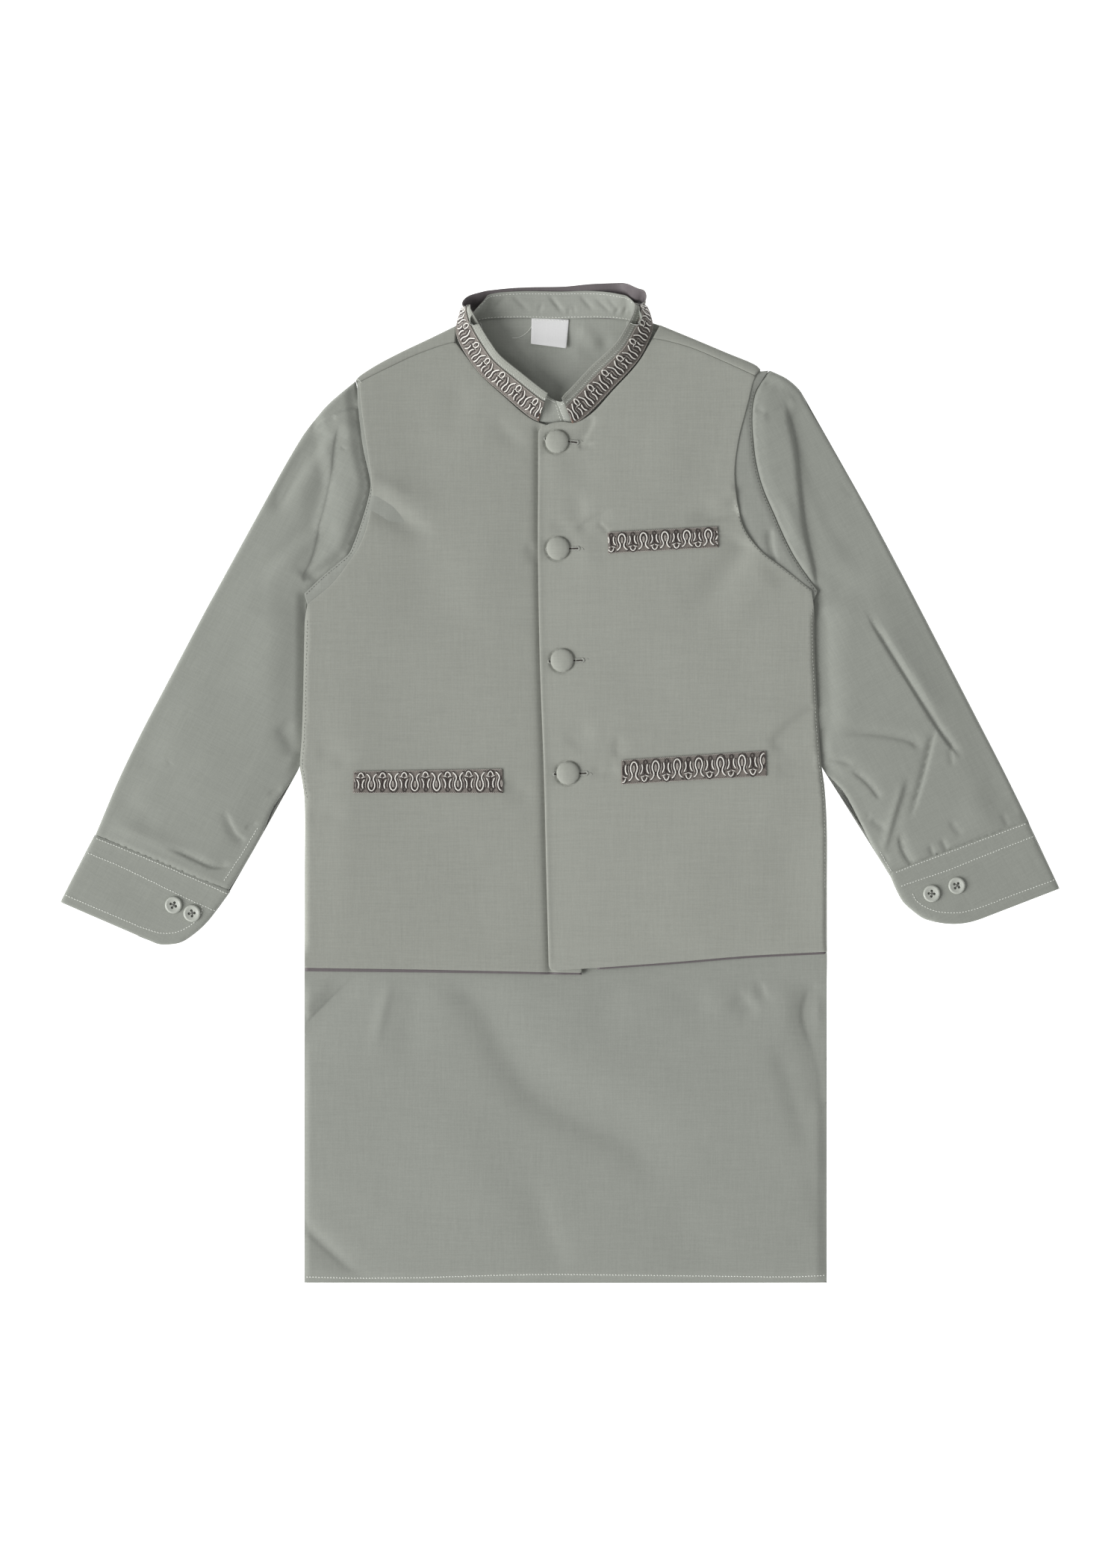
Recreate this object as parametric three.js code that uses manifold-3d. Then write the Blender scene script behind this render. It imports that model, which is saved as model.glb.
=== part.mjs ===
// Child's kameez with a matching waistcoat, laid flat on its back, arms out.
// Millimetres. +Z up from the surface it lies on, +Y towards the neck,
// +X towards the wearer's left. The origin is the middle of the garment's
// bounding box, at the surface.
//
// Every cloth piece is a wall of its own. A body panel is a grid of rows that
// run from its left edge to its right edge; a sleeve or cuff is a flattened
// tube between four edge curves; a collar is a band that leans inwards at the
// front, stands at the sides and leans back behind the neck.

import * as THREE from 'three';
import { mergeVertices } from 'three/addons/utils/BufferGeometryUtils.js';
import Module from 'manifold-3d';

const wasm = await Module();
wasm.setup();

// ---------------------------------------------------------------- dimensions

const TOTAL_LENGTH = 655;        // collar to kameez hem
const KAMEEZ_WALL = 1.0;
const WAISTCOAT_WALL = 1.2;
const GAP = 0.3;                 // between neighbouring pieces

// Underside of each body layer, from the surface up.
const Z_WAISTCOAT_BACK = 0;
const Z_KAMEEZ_BACK = Z_WAISTCOAT_BACK + WAISTCOAT_WALL + GAP;
const Z_KAMEEZ_FRONT = Z_KAMEEZ_BACK + KAMEEZ_WALL + GAP;
const Z_WAISTCOAT_FRONT = Z_KAMEEZ_FRONT + KAMEEZ_WALL + 0.6;

const WAISTCOAT_HEM_Y = -121;    // where the kameez comes out below it
const SETTLE_LENGTH = 20;        // over which the kameez comes down to the surface
const LIFT = 1.2;                // loose air between the layers, mid panel

const PLACKET = { left: -13, right: 12, top: 232.5, bottom: 75 };
const PLACKET_STEP = KAMEEZ_WALL + 0.4;
const OVERLAP_STEP = WAISTCOAT_WALL + 0.5;
const NECK_SLIT = 0.8;

const COLLAR_RIBBON = { from: 2.2, to: 16.2 };
const WAISTCOAT_COLLAR = { from: 1.5, to: 22 };
const COLLAR_GAP = 0.6;
const KAMEEZ_COLLAR_FRONT_WIDTH = 22;
const KAMEEZ_COLLAR_BACK_WIDTH = 18.5;

const COVERED_BUTTON = { radius: 7.5, height: 4.2 };
const CUFF_BUTTON = { radius: 5.6, height: 2.2, holeRadius: 0.9, holeSpread: 1.7 };
const RIBBON_WALL = 1.0;
const SLEEVE_HEIGHT = 3.6;
const SLEEVE_HEAD_RISE = 3.2;    // bunching along the armhole seam
const CUFF_HEIGHT = 4.0;
const SLEEVE_STATIONS = [0, 0.12, 0.3, 0.5, 0.7, 0.88, 1];
const SLEEVE_ROWS = [            // from the shoulder down: height on each edge
  { top: 255, inner: 255 }, { top: 243, inner: 243 }, { top: 224, inner: 224 },
  { top: 200, inner: 200 }, { top: 182, inner: 182 }, { top: 165, inner: 165 },
  { top: 151.2, inner: 151.2 }, { top: 137, inner: 137 }, { top: 125.7, inner: 125.7 },
  { top: 100, inner: 100 }, { top: 70, inner: 66 }, { top: 40, inner: 36 },
  { top: 14, inner: 10 }, { top: 2, inner: -9 }, { top: -10, inner: -26 },
  { top: -22, inner: -48 }, { top: -34.1, inner: -69.8 },
];

// Edges, as plan positions. "Right" is the wearer's right.
const WAISTCOAT_EDGE_RIGHT = [   // shoulder seam, armhole, side seam
  { x: -71.3, y: 289.3 }, { x: -92.9, y: 281.8 }, { x: -108.7, y: 274.2 },
  { x: -131.3, y: 263.4 }, { x: -129.6, y: 244.8 }, { x: -126.2, y: 219.8 },
  { x: -123.2, y: 191.0 }, { x: -126.7, y: 168.8 }, { x: -131.6, y: 155.6 },
  { x: -138.6, y: 144.8 }, { x: -149.2, y: 131.1 }, { x: -165.4, y: 117.6 },
  { x: -167.1, y: 107.6 }, { x: -168.3, y: 58.6 }, { x: -170.0, y: 11.5 },
  { x: -167.5, y: -12.5 }, { x: -167.1, y: -121.3 },
];
const WAISTCOAT_EDGE_LEFT = [
  { x: 65.9, y: 291.3 }, { x: 86.0, y: 285.9 }, { x: 107.1, y: 277.1 },
  { x: 128.6, y: 267.3 }, { x: 124.2, y: 252.1 }, { x: 118.3, y: 229.1 },
  { x: 114.9, y: 204.0 }, { x: 116.9, y: 183.0 }, { x: 120.3, y: 167.8 },
  { x: 132.1, y: 152.6 }, { x: 148.0, y: 140.4 }, { x: 164.4, y: 126.7 },
  { x: 166.8, y: 114.9 }, { x: 167.3, y: 88.0 }, { x: 169.5, y: 43.9 },
  { x: 171.7, y: 13.0 }, { x: 175.2, y: -26.7 }, { x: 175.2, y: -121.0 },
];
const FRONT_RIGHT_INNER = [      // neckline, then the front edge
  { x: -68.4, y: 289.3 }, { x: -61.6, y: 279.3 }, { x: -52.0, y: 267.1 },
  { x: -37.8, y: 253.8 }, { x: -21.8, y: 240.0 }, { x: -13.5, y: 235.6 },
  { x: 8.1, y: 231.5 }, { x: 7.6, y: 153.6 }, { x: 8.6, y: 81.1 },
  { x: 11.3, y: 6.6 }, { x: 14.7, y: -124.1 },
];
const FRONT_LEFT_INNER = [
  { x: 62.0, y: 291.3 }, { x: 52.0, y: 275.6 }, { x: 35.8, y: 257.4 },
  { x: 21.4, y: 241.8 }, { x: 9.0, y: 233.0 }, { x: -12.3, y: 232.4 },
  { x: -13.5, y: 230.5 }, { x: -14.2, y: 153.6 }, { x: -13.0, y: 81.1 },
  { x: -10.3, y: 6.6 }, { x: -7.1, y: -122.3 },
];
const BACK_TOP_RIGHT = [         // shoulder fold line of the waistcoat back
  { x: -67.4, y: 300.6 }, { x: -85.5, y: 291.8 }, { x: -104.1, y: 283.0 },
  { x: -120.8, y: 274.2 }, { x: -133.3, y: 264.6 },
];
const BACK_TOP_LEFT = [
  { x: 61.5, y: 298.7 }, { x: 87.5, y: 291.8 }, { x: 108.5, y: 283.0 },
  { x: 129.1, y: 274.2 }, { x: 132.1, y: 271.2 },
];
const KAMEEZ_EDGE_RIGHT = [      // shoulder, armhole, side down to the hem
  { x: -54.0, y: 302.4 }, { x: -62.5, y: 298.7 }, { x: -84.5, y: 287.4 }, { x: -102.7, y: 279.1 },
  { x: -119.3, y: 270.7 }, { x: -131.6, y: 262.4 }, { x: -130.1, y: 244.8 },
  { x: -126.7, y: 219.8 }, { x: -123.2, y: 191.8 }, { x: -128.1, y: 174.7 },
  { x: -133.0, y: 160.5 }, { x: -137.4, y: 150.7 }, { x: -142.3, y: 145.6 },
  { x: -153.8, y: 135.9 }, { x: -162.4, y: 126.0 }, { x: -163.0, y: 112.0 },
  { x: -163.9, y: 58.6 }, { x: -165.9, y: 11.5 }, { x: -163.9, y: -9.1 },
  { x: -163.0, y: -123.5 }, { x: -167.1, y: -134.0 }, { x: -167.6, y: -220.7 },
  { x: -167.6, y: -327.6 },
];
const KAMEEZ_EDGE_LEFT = [
  { x: 50.0, y: 302.4 }, { x: 57.1, y: 298.7 }, { x: 86.0, y: 286.6 }, { x: 107.1, y: 278.6 },
  { x: 127.6, y: 270.5 }, { x: 134.5, y: 267.8 }, { x: 128.0, y: 257.2 },
  { x: 125.4, y: 247.7 }, { x: 125.4, y: 229.6 }, { x: 127.6, y: 210.5 },
  { x: 132.0, y: 193.8 }, { x: 138.9, y: 177.6 }, { x: 149.7, y: 154.1 },
  { x: 160.9, y: 136.2 }, { x: 164.4, y: 126.4 }, { x: 163.4, y: 116.0 },
  { x: 163.0, y: 88.0 }, { x: 165.2, y: 43.9 }, { x: 167.6, y: 13.0 },
  { x: 171.0, y: -26.7 }, { x: 171.0, y: -113.0 }, { x: 174.9, y: -126.0 },
  { x: 175.2, y: -220.7 }, { x: 175.2, y: -327.6 },
];

// Sleeves: the folded top edge, the sleeve head along the armhole, and the
// underarm seam from there to the cuff.
const SLEEVE_RIGHT = {
  tip: 261.5, endTop: 0, endInner: 0,
  top: [
    { x: -133.8, y: 263.4 }, { x: -153.1, y: 247.7 }, { x: -167.3, y: 230.1 },
    { x: -183.0, y: 203.6 }, { x: -211.9, y: 150.7 }, { x: -240.3, y: 97.8 },
    { x: -271.7, y: 39.0 }, { x: -299.6, y: -19.8 }, { x: -304.5, y: -34.1 },
  ],
  under: [
    { x: -167.4, y: 125.7 }, { x: -168.9, y: 95.3 }, { x: -169.6, y: 58.6 },
    { x: -171.6, y: 11.0 }, { x: -187.9, y: -16.4 }, { x: -195.3, y: -34.1 },
    { x: -205.6, y: -51.7 }, { x: -216.8, y: -69.8 },
  ],
  head: [
    { x: -133.8, y: 263.4 }, { x: -132.2, y: 244.8 }, { x: -128.7, y: 219.8 },
    { x: -125.3, y: 191.8 }, { x: -130.2, y: 174.7 }, { x: -135.1, y: 160.5 },
    { x: -139.5, y: 151.2 }, { x: -156.1, y: 137.0 }, { x: -167.4, y: 125.7 },
  ],
};
const SLEEVE_LEFT = {
  tip: 266.5, endTop: 9.4, endInner: 10.8,   // how far above the other cuff seam its own lies
  top: [
    { x: 137.4, y: 270.7 }, { x: 153.6, y: 262.9 }, { x: 161.9, y: 249.2 },
    { x: 183.8, y: 211.9 }, { x: 203.1, y: 178.8 }, { x: 220.7, y: 144.3 },
    { x: 245.2, y: 97.8 }, { x: 275.6, y: 39.0 }, { x: 307.5, y: -24.7 },
  ],
  under: [
    { x: 170.6, y: 126.2 }, { x: 169.3, y: 107.6 }, { x: 169.2, y: 88.0 },
    { x: 171.4, y: 43.9 }, { x: 174.6, y: 11.0 }, { x: 193.8, y: -14.9 },
    { x: 204.6, y: -38.5 }, { x: 216.8, y: -59.0 },
  ],
  head: [
    { x: 137.4, y: 270.7 }, { x: 129.6, y: 257.0 }, { x: 127.1, y: 247.7 },
    { x: 127.1, y: 229.6 }, { x: 129.3, y: 210.5 }, { x: 133.7, y: 193.8 },
    { x: 140.6, y: 177.6 }, { x: 151.4, y: 154.1 }, { x: 162.6, y: 136.4 },
    { x: 170.6, y: 126.2 },
  ],
};
// Cuffs: the four edges of the flattened band.
const CUFF_RIGHT = {
  top: [{ x: -305.0, y: -35.0 }, { x: -310.7, y: -44.8 }, { x: -327.9, y: -77.7 }],
  under: [{ x: -217.3, y: -71.3 }, { x: -225.4, y: -83.3 }, { x: -233.0, y: -92.9 }],
  head: [{ x: -305.0, y: -35.0 }, { x: -217.3, y: -71.3 }],
  end: [
    { x: -327.9, y: -77.7 }, { x: -268.5, y: -103.1 }, { x: -257.2, y: -105.6 },
    { x: -245.0, y: -102.4 }, { x: -233.0, y: -92.9 },
  ],
};
const CUFF_LEFT = {
  top: [{ x: 308.0, y: -25.7 }, { x: 313.8, y: -39.4 }, { x: 327.9, y: -68.8 }],
  under: [{ x: 217.3, y: -60.5 }, { x: 225.2, y: -77.7 }, { x: 231.5, y: -83.1 }],
  head: [{ x: 308.0, y: -25.7 }, { x: 217.3, y: -60.5 }],
  end: [
    { x: 327.9, y: -68.8 }, { x: 271.2, y: -90.4 }, { x: 256.0, y: -92.0 },
    { x: 242.0, y: -89.8 }, { x: 231.5, y: -83.1 },
  ],
};

// Neck seam of the standing collars, round from the wearer's right front end
// behind the neck to the left. lean is 0 where the band lies flat towards the
// middle of the neck, 90 where it stands, near 180 where it lies outwards.
// inX, inY give the way the band lies in plan where it isn't square to the seam.
const COLLAR = [
  { x: -13.5, y: 237.9, z: 4.3, lean: 28, inX: 0.31, inY: 0.95 }, { x: -20.8, y: 242.3, z: 4.3, lean: 30 },
  { x: -36.5, y: 256.0, z: 4.3, lean: 35 }, { x: -50.7, y: 268.8, z: 4.3, lean: 38 },
  { x: -60.0, y: 280.5, z: 4.3, lean: 46 }, { x: -64.0, y: 290.8, z: 4.3, lean: 68 },
  { x: -62.2, y: 298.0, z: 4.5, lean: 94 }, { x: -55.6, y: 302.6, z: 4.8, lean: 126 },
  { x: -43.9, y: 304.5, z: 5.0, lean: 148 }, { x: -24.3, y: 305.0, z: 5.2, lean: 160 },
  { x: -0.2, y: 304.5, z: 5.0, lean: 164 }, { x: 19.8, y: 305.0, z: 5.2, lean: 162 },
  { x: 37.5, y: 304.5, z: 5.0, lean: 148 }, { x: 48.3, y: 302.6, z: 4.8, lean: 128 },
  { x: 54.3, y: 298.0, z: 4.5, lean: 98 }, { x: 56.6, y: 290.8, z: 4.3, lean: 68 },
  { x: 50.2, y: 277.6, z: 4.3, lean: 38 }, { x: 34.1, y: 259.2, z: 4.3, lean: 24 },
  { x: 20.1, y: 244.3, z: 4.3, lean: 24 }, { x: 8.6, y: 235.0, z: 4.3, lean: 28, inX: -0.39, inY: 0.92 },
];
const KAMEEZ_COLLAR_START = [
  { x: 2.6, y: 235.8, z: 4.3, lean: 8, inX: -0.3, inY: 0.95 },
  { x: -6.0, y: 236.0, z: 4.3, lean: 14, inX: 0, inY: 1 },
];
const KAMEEZ_COLLAR_END = [{ x: 5.4, y: 235.0, z: 4.3, lean: 14, inX: -0.33, inY: 0.94 }];
const NECK_MIDDLE = { x: -3.5, y: 274 };

// Largest folds: a soft ridge (height > 0) or trough along a line.
const FOLDS = [
  { x1: -64, y1: -130, x2: -12, y2: -201, half: 13, height: -1.0 },
  { x1: -12, y1: -201, x2: 77, y2: -266, half: 15, height: -0.9 },
  { x1: -110, y1: -127, x2: -121, y2: -178, half: 9, height: 0.8 },
  { x1: 126, y1: -116, x2: 136, y2: -145, half: 11, height: -0.9 },
  { x1: -167, y1: -292, x2: -125, y2: -323, half: 9, height: -0.8 },
  { x1: -103, y1: 158, x2: -54, y2: 73, half: 24, height: -0.6 },
  { x1: 92, y1: 190, x2: 20, y2: 110, half: 24, height: -0.5 },
  { x1: 132, y1: 20, x2: 150, y2: 44, half: 24, height: 0.4 },
];
const SLEEVE_FOLDS = [
  { x1: -146, y1: 232, x2: -189, y2: 175, half: 8, height: -1.2 },
  { x1: -217, y1: -24, x2: -205, y2: -38, half: 7, height: -0.9 },
  { x1: -256, y1: -43, x2: -217, y2: -55, half: 6, height: -0.9 },
  { x1: -184, y1: 35, x2: -172, y2: 19, half: 9, height: -0.9 },
  { x1: 203, y1: 110, x2: 262, y2: 20, half: 7, height: -1.2 },
  { x1: 246, y1: 34, x2: 229, y2: -24, half: 7, height: -1.0 },
  { x1: 194, y1: 32, x2: 236, y2: 22, half: 9, height: -0.8 },
  { x1: 150, y1: 249, x2: 162, y2: 171, half: 7, height: -0.8 },
];

const POCKETS = {                // ribbon welts: corners from the upper left, clockwise
  chest: [{ x: 31.3, y: 164.5 }, { x: 103.6, y: 168.3 }, { x: 104.3, y: 154.9 }, { x: 31.8, y: 150.8 }],
  lower_left: [{ x: 40.3, y: 15.2 }, { x: 135.2, y: 21.4 }, { x: 135.7, y: 5.1 }, { x: 40.3, y: -0.5 }],
  lower_right: [{ x: -135.0, y: 7.8 }, { x: -37.5, y: 9.6 }, { x: -37.0, y: -6.1 }, { x: -135.5, y: -6.1 }],
};
const LABEL = [{ x: -18.4, y: 303.4 }, { x: 6.1, y: 303.2 }, { x: 4.4, y: 285.4 }, { x: -18.9, y: 288.4 }];
const COVERED_BUTTONS = [
  { x: -1.8, y: 224.0 }, { x: -1.2, y: 154.1 }, { x: 1.6, y: 80.8 }, { x: 5.4, y: 6.9 },
];
const CUFF_BUTTONS = {
  right: [{ x: -253.2, y: -79.6 }, { x: -241.1, y: -85.0 }],
  left: [{ x: 243.9, y: -72.1 }, { x: 260.4, y: -66.9 }],
};

const CLOTH = { color: 0x999b93, roughness: 0.7, metalness: 0 };
const RIBBON = { color: 0x7a716b, roughness: 0.55, metalness: 0.1 };
const TAPE = { color: 0xe6e6e4, roughness: 0.8, metalness: 0 };
const PLASTIC = { color: 0xb9bdb4, roughness: 0.35, metalness: 0 };

// ------------------------------------------------------------------- helpers

const lerp = (a, b, t) => a + (b - a) * t;
const clamp01 = (t) => Math.min(1, Math.max(0, t));
const smooth = (t) => { const k = clamp01(t); return k * k * (3 - 2 * k); };

function xAt(edge, y) {
  if (y >= edge[0].y) return edge[0].x;
  for (let i = 1; i < edge.length; i++) {
    if (y >= edge[i].y) {
      const t = (edge[i - 1].y - y) / (edge[i - 1].y - edge[i].y);
      return lerp(edge[i - 1].x, edge[i].x, t);
    }
  }
  return edge[edge.length - 1].x;
}

function alongSegment(x, y, f) {
  const dx = f.x2 - f.x1, dy = f.y2 - f.y1;
  const t = ((x - f.x1) * dx + (y - f.y1) * dy) / (dx * dx + dy * dy);
  const k = clamp01(t);
  return Math.hypot(x - f.x1 - k * dx, y - f.y1 - k * dy);
}

function folds(table, x, y) {
  let sum = 0;
  for (const f of table) {
    const d = alongSegment(x, y, f) / f.half;
    sum += f.height * Math.exp(-d * d);
  }
  return Math.max(-1.1, sum);
}

function toGeometry(points, triangles) {
  let volume = 0;
  for (const [a, b, c] of triangles) {
    const [p, q, r] = [points[a], points[b], points[c]];
    volume += p[0] * (q[1] * r[2] - q[2] * r[1]) - p[1] * (q[0] * r[2] - q[2] * r[0])
      + p[2] * (q[0] * r[1] - q[1] * r[0]);
  }
  const index = [];
  for (const [a, b, c] of triangles) index.push(a, volume < 0 ? c : b, volume < 0 ? b : c);
  const geometry = new THREE.BufferGeometry();
  geometry.setAttribute('position', new THREE.Float32BufferAttribute(points.flat(), 3));
  geometry.setIndex(index);
  geometry.computeVertexNormals();
  return geometry;
}

// Closed wall from two grids of the same size, one over the other.
function wallBetween(upper, lower) {
  const rows = upper.length, cols = upper[0].length, n = rows * cols;
  const points = [...upper.flat(), ...lower.flat()];
  const at = (i, j) => i * cols + j;
  const triangles = [];
  for (let i = 0; i + 1 < rows; i++) {
    for (let j = 0; j + 1 < cols; j++) {
      const [a, b, c, d] = [at(i, j), at(i, j + 1), at(i + 1, j + 1), at(i + 1, j)];
      if ((i + j) % 2) triangles.push([a, b, d], [b, c, d], [n + a, n + d, n + b], [n + b, n + d, n + c]);
      else triangles.push([a, b, c], [a, c, d], [n + a, n + c, n + b], [n + a, n + d, n + c]);
    }
  }
  const rim = [];
  for (let j = 0; j < cols; j++) rim.push(at(0, j));
  for (let i = 1; i < rows; i++) rim.push(at(i, cols - 1));
  for (let j = cols - 2; j >= 0; j--) rim.push(at(rows - 1, j));
  for (let i = rows - 2; i > 0; i--) rim.push(at(i, 0));
  for (let k = 0; k < rim.length; k++) {
    const a = rim[k], b = rim[(k + 1) % rim.length];
    triangles.push([a, n + a, b], [b, n + a, n + b]);
  }
  return toGeometry(points, triangles);
}

// A body panel. Rows give the height on the left and on the right edge;
// columns(L, R) gives the stations between them.
function panel({ left, right, rows, columns, bottom, wall }) {
  const upper = [], lower = [];
  for (const [leftY, rightY] of rows) {
    const L = xAt(left, leftY), R = xAt(right, rightY);
    const xs = columns(L, R, (leftY + rightY) / 2);
    const step = Math.min(0.7, (R - L) / (1.5 * xs.length));
    const end = xs[xs.length - 1];
    for (let j = 1; j < xs.length; j++) xs[j] = Math.max(xs[j], xs[j - 1] + step);
    xs[xs.length - 1] = end;
    for (let j = xs.length - 2; j > 0; j--) xs[j] = Math.min(xs[j], xs[j + 1] - step);
    const up = [], low = [];
    for (const x of xs) {
      const y = lerp(leftY, rightY, (x - L) / (R - L));
      const z = bottom(x, y);
      up.push([x, y, z + wall]);
      low.push([x, y, z]);
    }
    upper.push(up);
    lower.push(low);
  }
  return wallBetween(upper, lower);
}

const curveOf = (rows) => new THREE.CatmullRomCurve3(
  rows.map((r) => new THREE.Vector3(r.x, r.y, 0)), false, 'centripetal');

// Point in the patch between four edge curves; s runs from head to end,
// u from the top edge to the under edge.
function patch(shape) {
  const curves = {};
  for (const side of ['top', 'under', 'head', 'end']) curves[side] = curveOf(shape[side]);
  return (s, u) => {
    const T = curves.top.getPointAt(s), B = curves.under.getPointAt(s);
    const A = curves.head.getPointAt(u), C = curves.end.getPointAt(u);
    const t0 = curves.top.getPointAt(0), t1 = curves.top.getPointAt(1);
    const b0 = curves.under.getPointAt(0), b1 = curves.under.getPointAt(1);
    const mix = (k) => (1 - u) * T[k] + u * B[k] + (1 - s) * A[k] + s * C[k]
      - ((1 - s) * (1 - u) * t0[k] + (1 - s) * u * b0[k] + s * (1 - u) * t1[k] + s * u * b1[k]);
    return [mix('x'), mix('y')];
  };
}

// Flattened tube, open at both ends: outer skin, inner skin and two end rings.
function flatTube({ shape, lengthSteps, stations, height, wall }) {
  const place = patch(shape);
  const rings = [];
  for (const s of lengthSteps) {
    const outer = [], inner = [];
    const last = stations.length - 1;
    for (let j = 0; j <= last; j++) {
      const [x, y] = place(s, stations[j]);
      const edge = j === 0 || j === last;
      outer.push([x, y, edge ? 1.5 : height(s, stations[j], x, y)]);
    }
    for (let j = last - 1; j > 0; j--) {
      const [x, y] = place(s, stations[j]);
      outer.push([x, y, 0]);
    }
    for (let j = 1; j < last; j++) {
      const [x, y] = place(s, stations[j]);
      const edge = j === 1 || j === last - 1;
      inner.push([x, y, edge ? 1.5 : height(s, stations[j], x, y) - wall]);
    }
    for (let j = last - 2; j > 1; j--) {
      const [x, y] = place(s, stations[j]);
      inner.push([x, y, wall]);
    }
    rings.push({ outer, inner });
  }
  const nOut = rings[0].outer.length, nIn = rings[0].inner.length;
  const points = [...rings.flatMap((r) => r.outer), ...rings.flatMap((r) => r.inner)];
  const offset = rings.length * nOut;
  const triangles = [];
  for (let i = 0; i + 1 < rings.length; i++) {
    for (let j = 0; j < nOut; j++) {
      const k = (j + 1) % nOut, a = i * nOut + j, b = i * nOut + k;
      triangles.push([a, b, a + nOut], [b, b + nOut, a + nOut]);
    }
    for (let j = 0; j < nIn; j++) {
      const k = (j + 1) % nIn, a = offset + i * nIn + j, b = offset + i * nIn + k;
      triangles.push([a, a + nIn, b], [b, a + nIn, b + nIn]);
    }
  }
  // End rings: the outer ring has two more stations at each edge than the inner.
  const last = stations.length - 1;
  const pair = [];               // inner index that belongs to each outer index
  for (let j = 0; j < nOut; j++) {
    if (j <= last) pair.push(Math.min(Math.max(j - 1, 0), last - 2));
    else {
      const station = 2 * last - j;
      if (station <= 1) pair.push(0);
      else if (station >= last - 1) pair.push(last - 2);
      else pair.push(last - 2 + (last - 1 - station));
    }
  }
  for (const end of [0, rings.length - 1]) {
    for (let j = 0; j < nOut; j++) {
      const k = (j + 1) % nOut;
      const a = end * nOut + j, b = end * nOut + k;
      const c = offset + end * nIn + pair[j], d = offset + end * nIn + pair[k];
      const fan = end === 0 ? [[a, c, b], [b, c, d]] : [[a, b, c], [b, d, c]];
      for (const t of fan) if (new Set(t).size === 3) triangles.push(t);
    }
  }
  return toGeometry(points, triangles);
}

// Standing band: a wall along the neck seam, between two heights up the band
// and two distances out from its inner face. Bands on the same rows share
// their sections, so they stay parallel.
function band({ rows, perRow, first, last, stations, inner, outer }) {
  const path = new THREE.CatmullRomCurve3(rows.map((r) => new THREE.Vector3(r.x, r.y, r.z)), false, 'centripetal');
  const lean = new THREE.CatmullRomCurve3(rows.map((r, i) => new THREE.Vector3(i, r.lean, 0)), false, 'centripetal');
  const inward = new THREE.CatmullRomCurve3(rows.map((r, i) => {
    if (r.inX !== undefined) return new THREE.Vector3(r.inX, r.inY, 0).normalize();
    const dir = path.getTangent(i / (rows.length - 1));
    const side = new THREE.Vector3(-dir.y, dir.x, 0).normalize();
    return side.x * (NECK_MIDDLE.x - r.x) + side.y * (NECK_MIDDLE.y - r.y) < 0 ? side.negate() : side;
  }), false, 'centripetal');
  const count = (rows.length - 1) * perRow;
  const upper = [], lower = [];
  for (let i = first * perRow; i <= count - last * perRow; i++) {
    const t = i / count;
    const p = path.getPoint(t);
    const angle = lean.getPoint(t).y * Math.PI / 180;
    const side = inward.getPoint(t).setZ(0).normalize();
    const up = side.clone().multiplyScalar(Math.cos(angle)).setZ(Math.sin(angle));
    const out = side.clone().multiplyScalar(-Math.sin(angle)).setZ(Math.cos(angle));
    const at = (v, o) => {
      const q = p.clone().addScaledVector(up, v).addScaledVector(out, o);
      return [q.x, q.y, q.z];
    };
    const heights = stations(Math.cos(angle));
    upper.push(heights.map((v) => at(v, outer)));
    lower.push(heights.map((v) => at(v, inner)));
  }
  return wallBetween(upper, lower);
}

function toSolid(geometry) {
  const bare = geometry.clone();
  for (const name of Object.keys(bare.attributes)) if (name !== 'position') bare.deleteAttribute(name);
  const merged = mergeVertices(bare, 1e-4);
  return new wasm.Manifold(new wasm.Mesh({
    numProp: 3,
    vertProperties: new Float32Array(merged.attributes.position.array),
    triVerts: new Uint32Array(merged.index.array),
  }));
}

function fromSolid(solid) {
  const mesh = solid.getMesh();
  const geometry = new THREE.BufferGeometry();
  geometry.setAttribute('position', new THREE.BufferAttribute(new Float32Array(mesh.vertProperties), 3));
  geometry.setIndex(new THREE.BufferAttribute(new Uint32Array(mesh.triVerts), 1));
  geometry.computeVertexNormals();
  return geometry;
}

function prism(outline, bottom, top) {
  const shape = new THREE.Shape(outline.map((p) => new THREE.Vector2(p.x, p.y)));
  const geometry = new THREE.ExtrudeGeometry(shape, { depth: top - bottom, bevelEnabled: false, steps: 1 });
  geometry.translate(0, 0, bottom);
  return geometry;
}

// ------------------------------------------------------------ layer surfaces

const sideFade = (x) => smooth((166 - Math.abs(x)) / 30);
const neckFade = (y) => smooth((226 - y) / 45);
const hemFade = (y) => smooth((y + 327) / 25);
const loft = (x, y) => sideFade(x) * neckFade(y) * hemFade(y) * (LIFT + folds(FOLDS, x, y));
const settled = (y) => smooth((WAISTCOAT_HEM_Y - 2.5 - y) / SETTLE_LENGTH);

const kameezBackZ = (x, y) => Z_KAMEEZ_BACK * (1 - settled(y));
const kameezFrontZ = (x, y) => kameezBackZ(x, y) + KAMEEZ_WALL + GAP + loft(x, y);
const placketZ = (x, y) => kameezFrontZ(x, y) + KAMEEZ_WALL + GAP;

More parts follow.
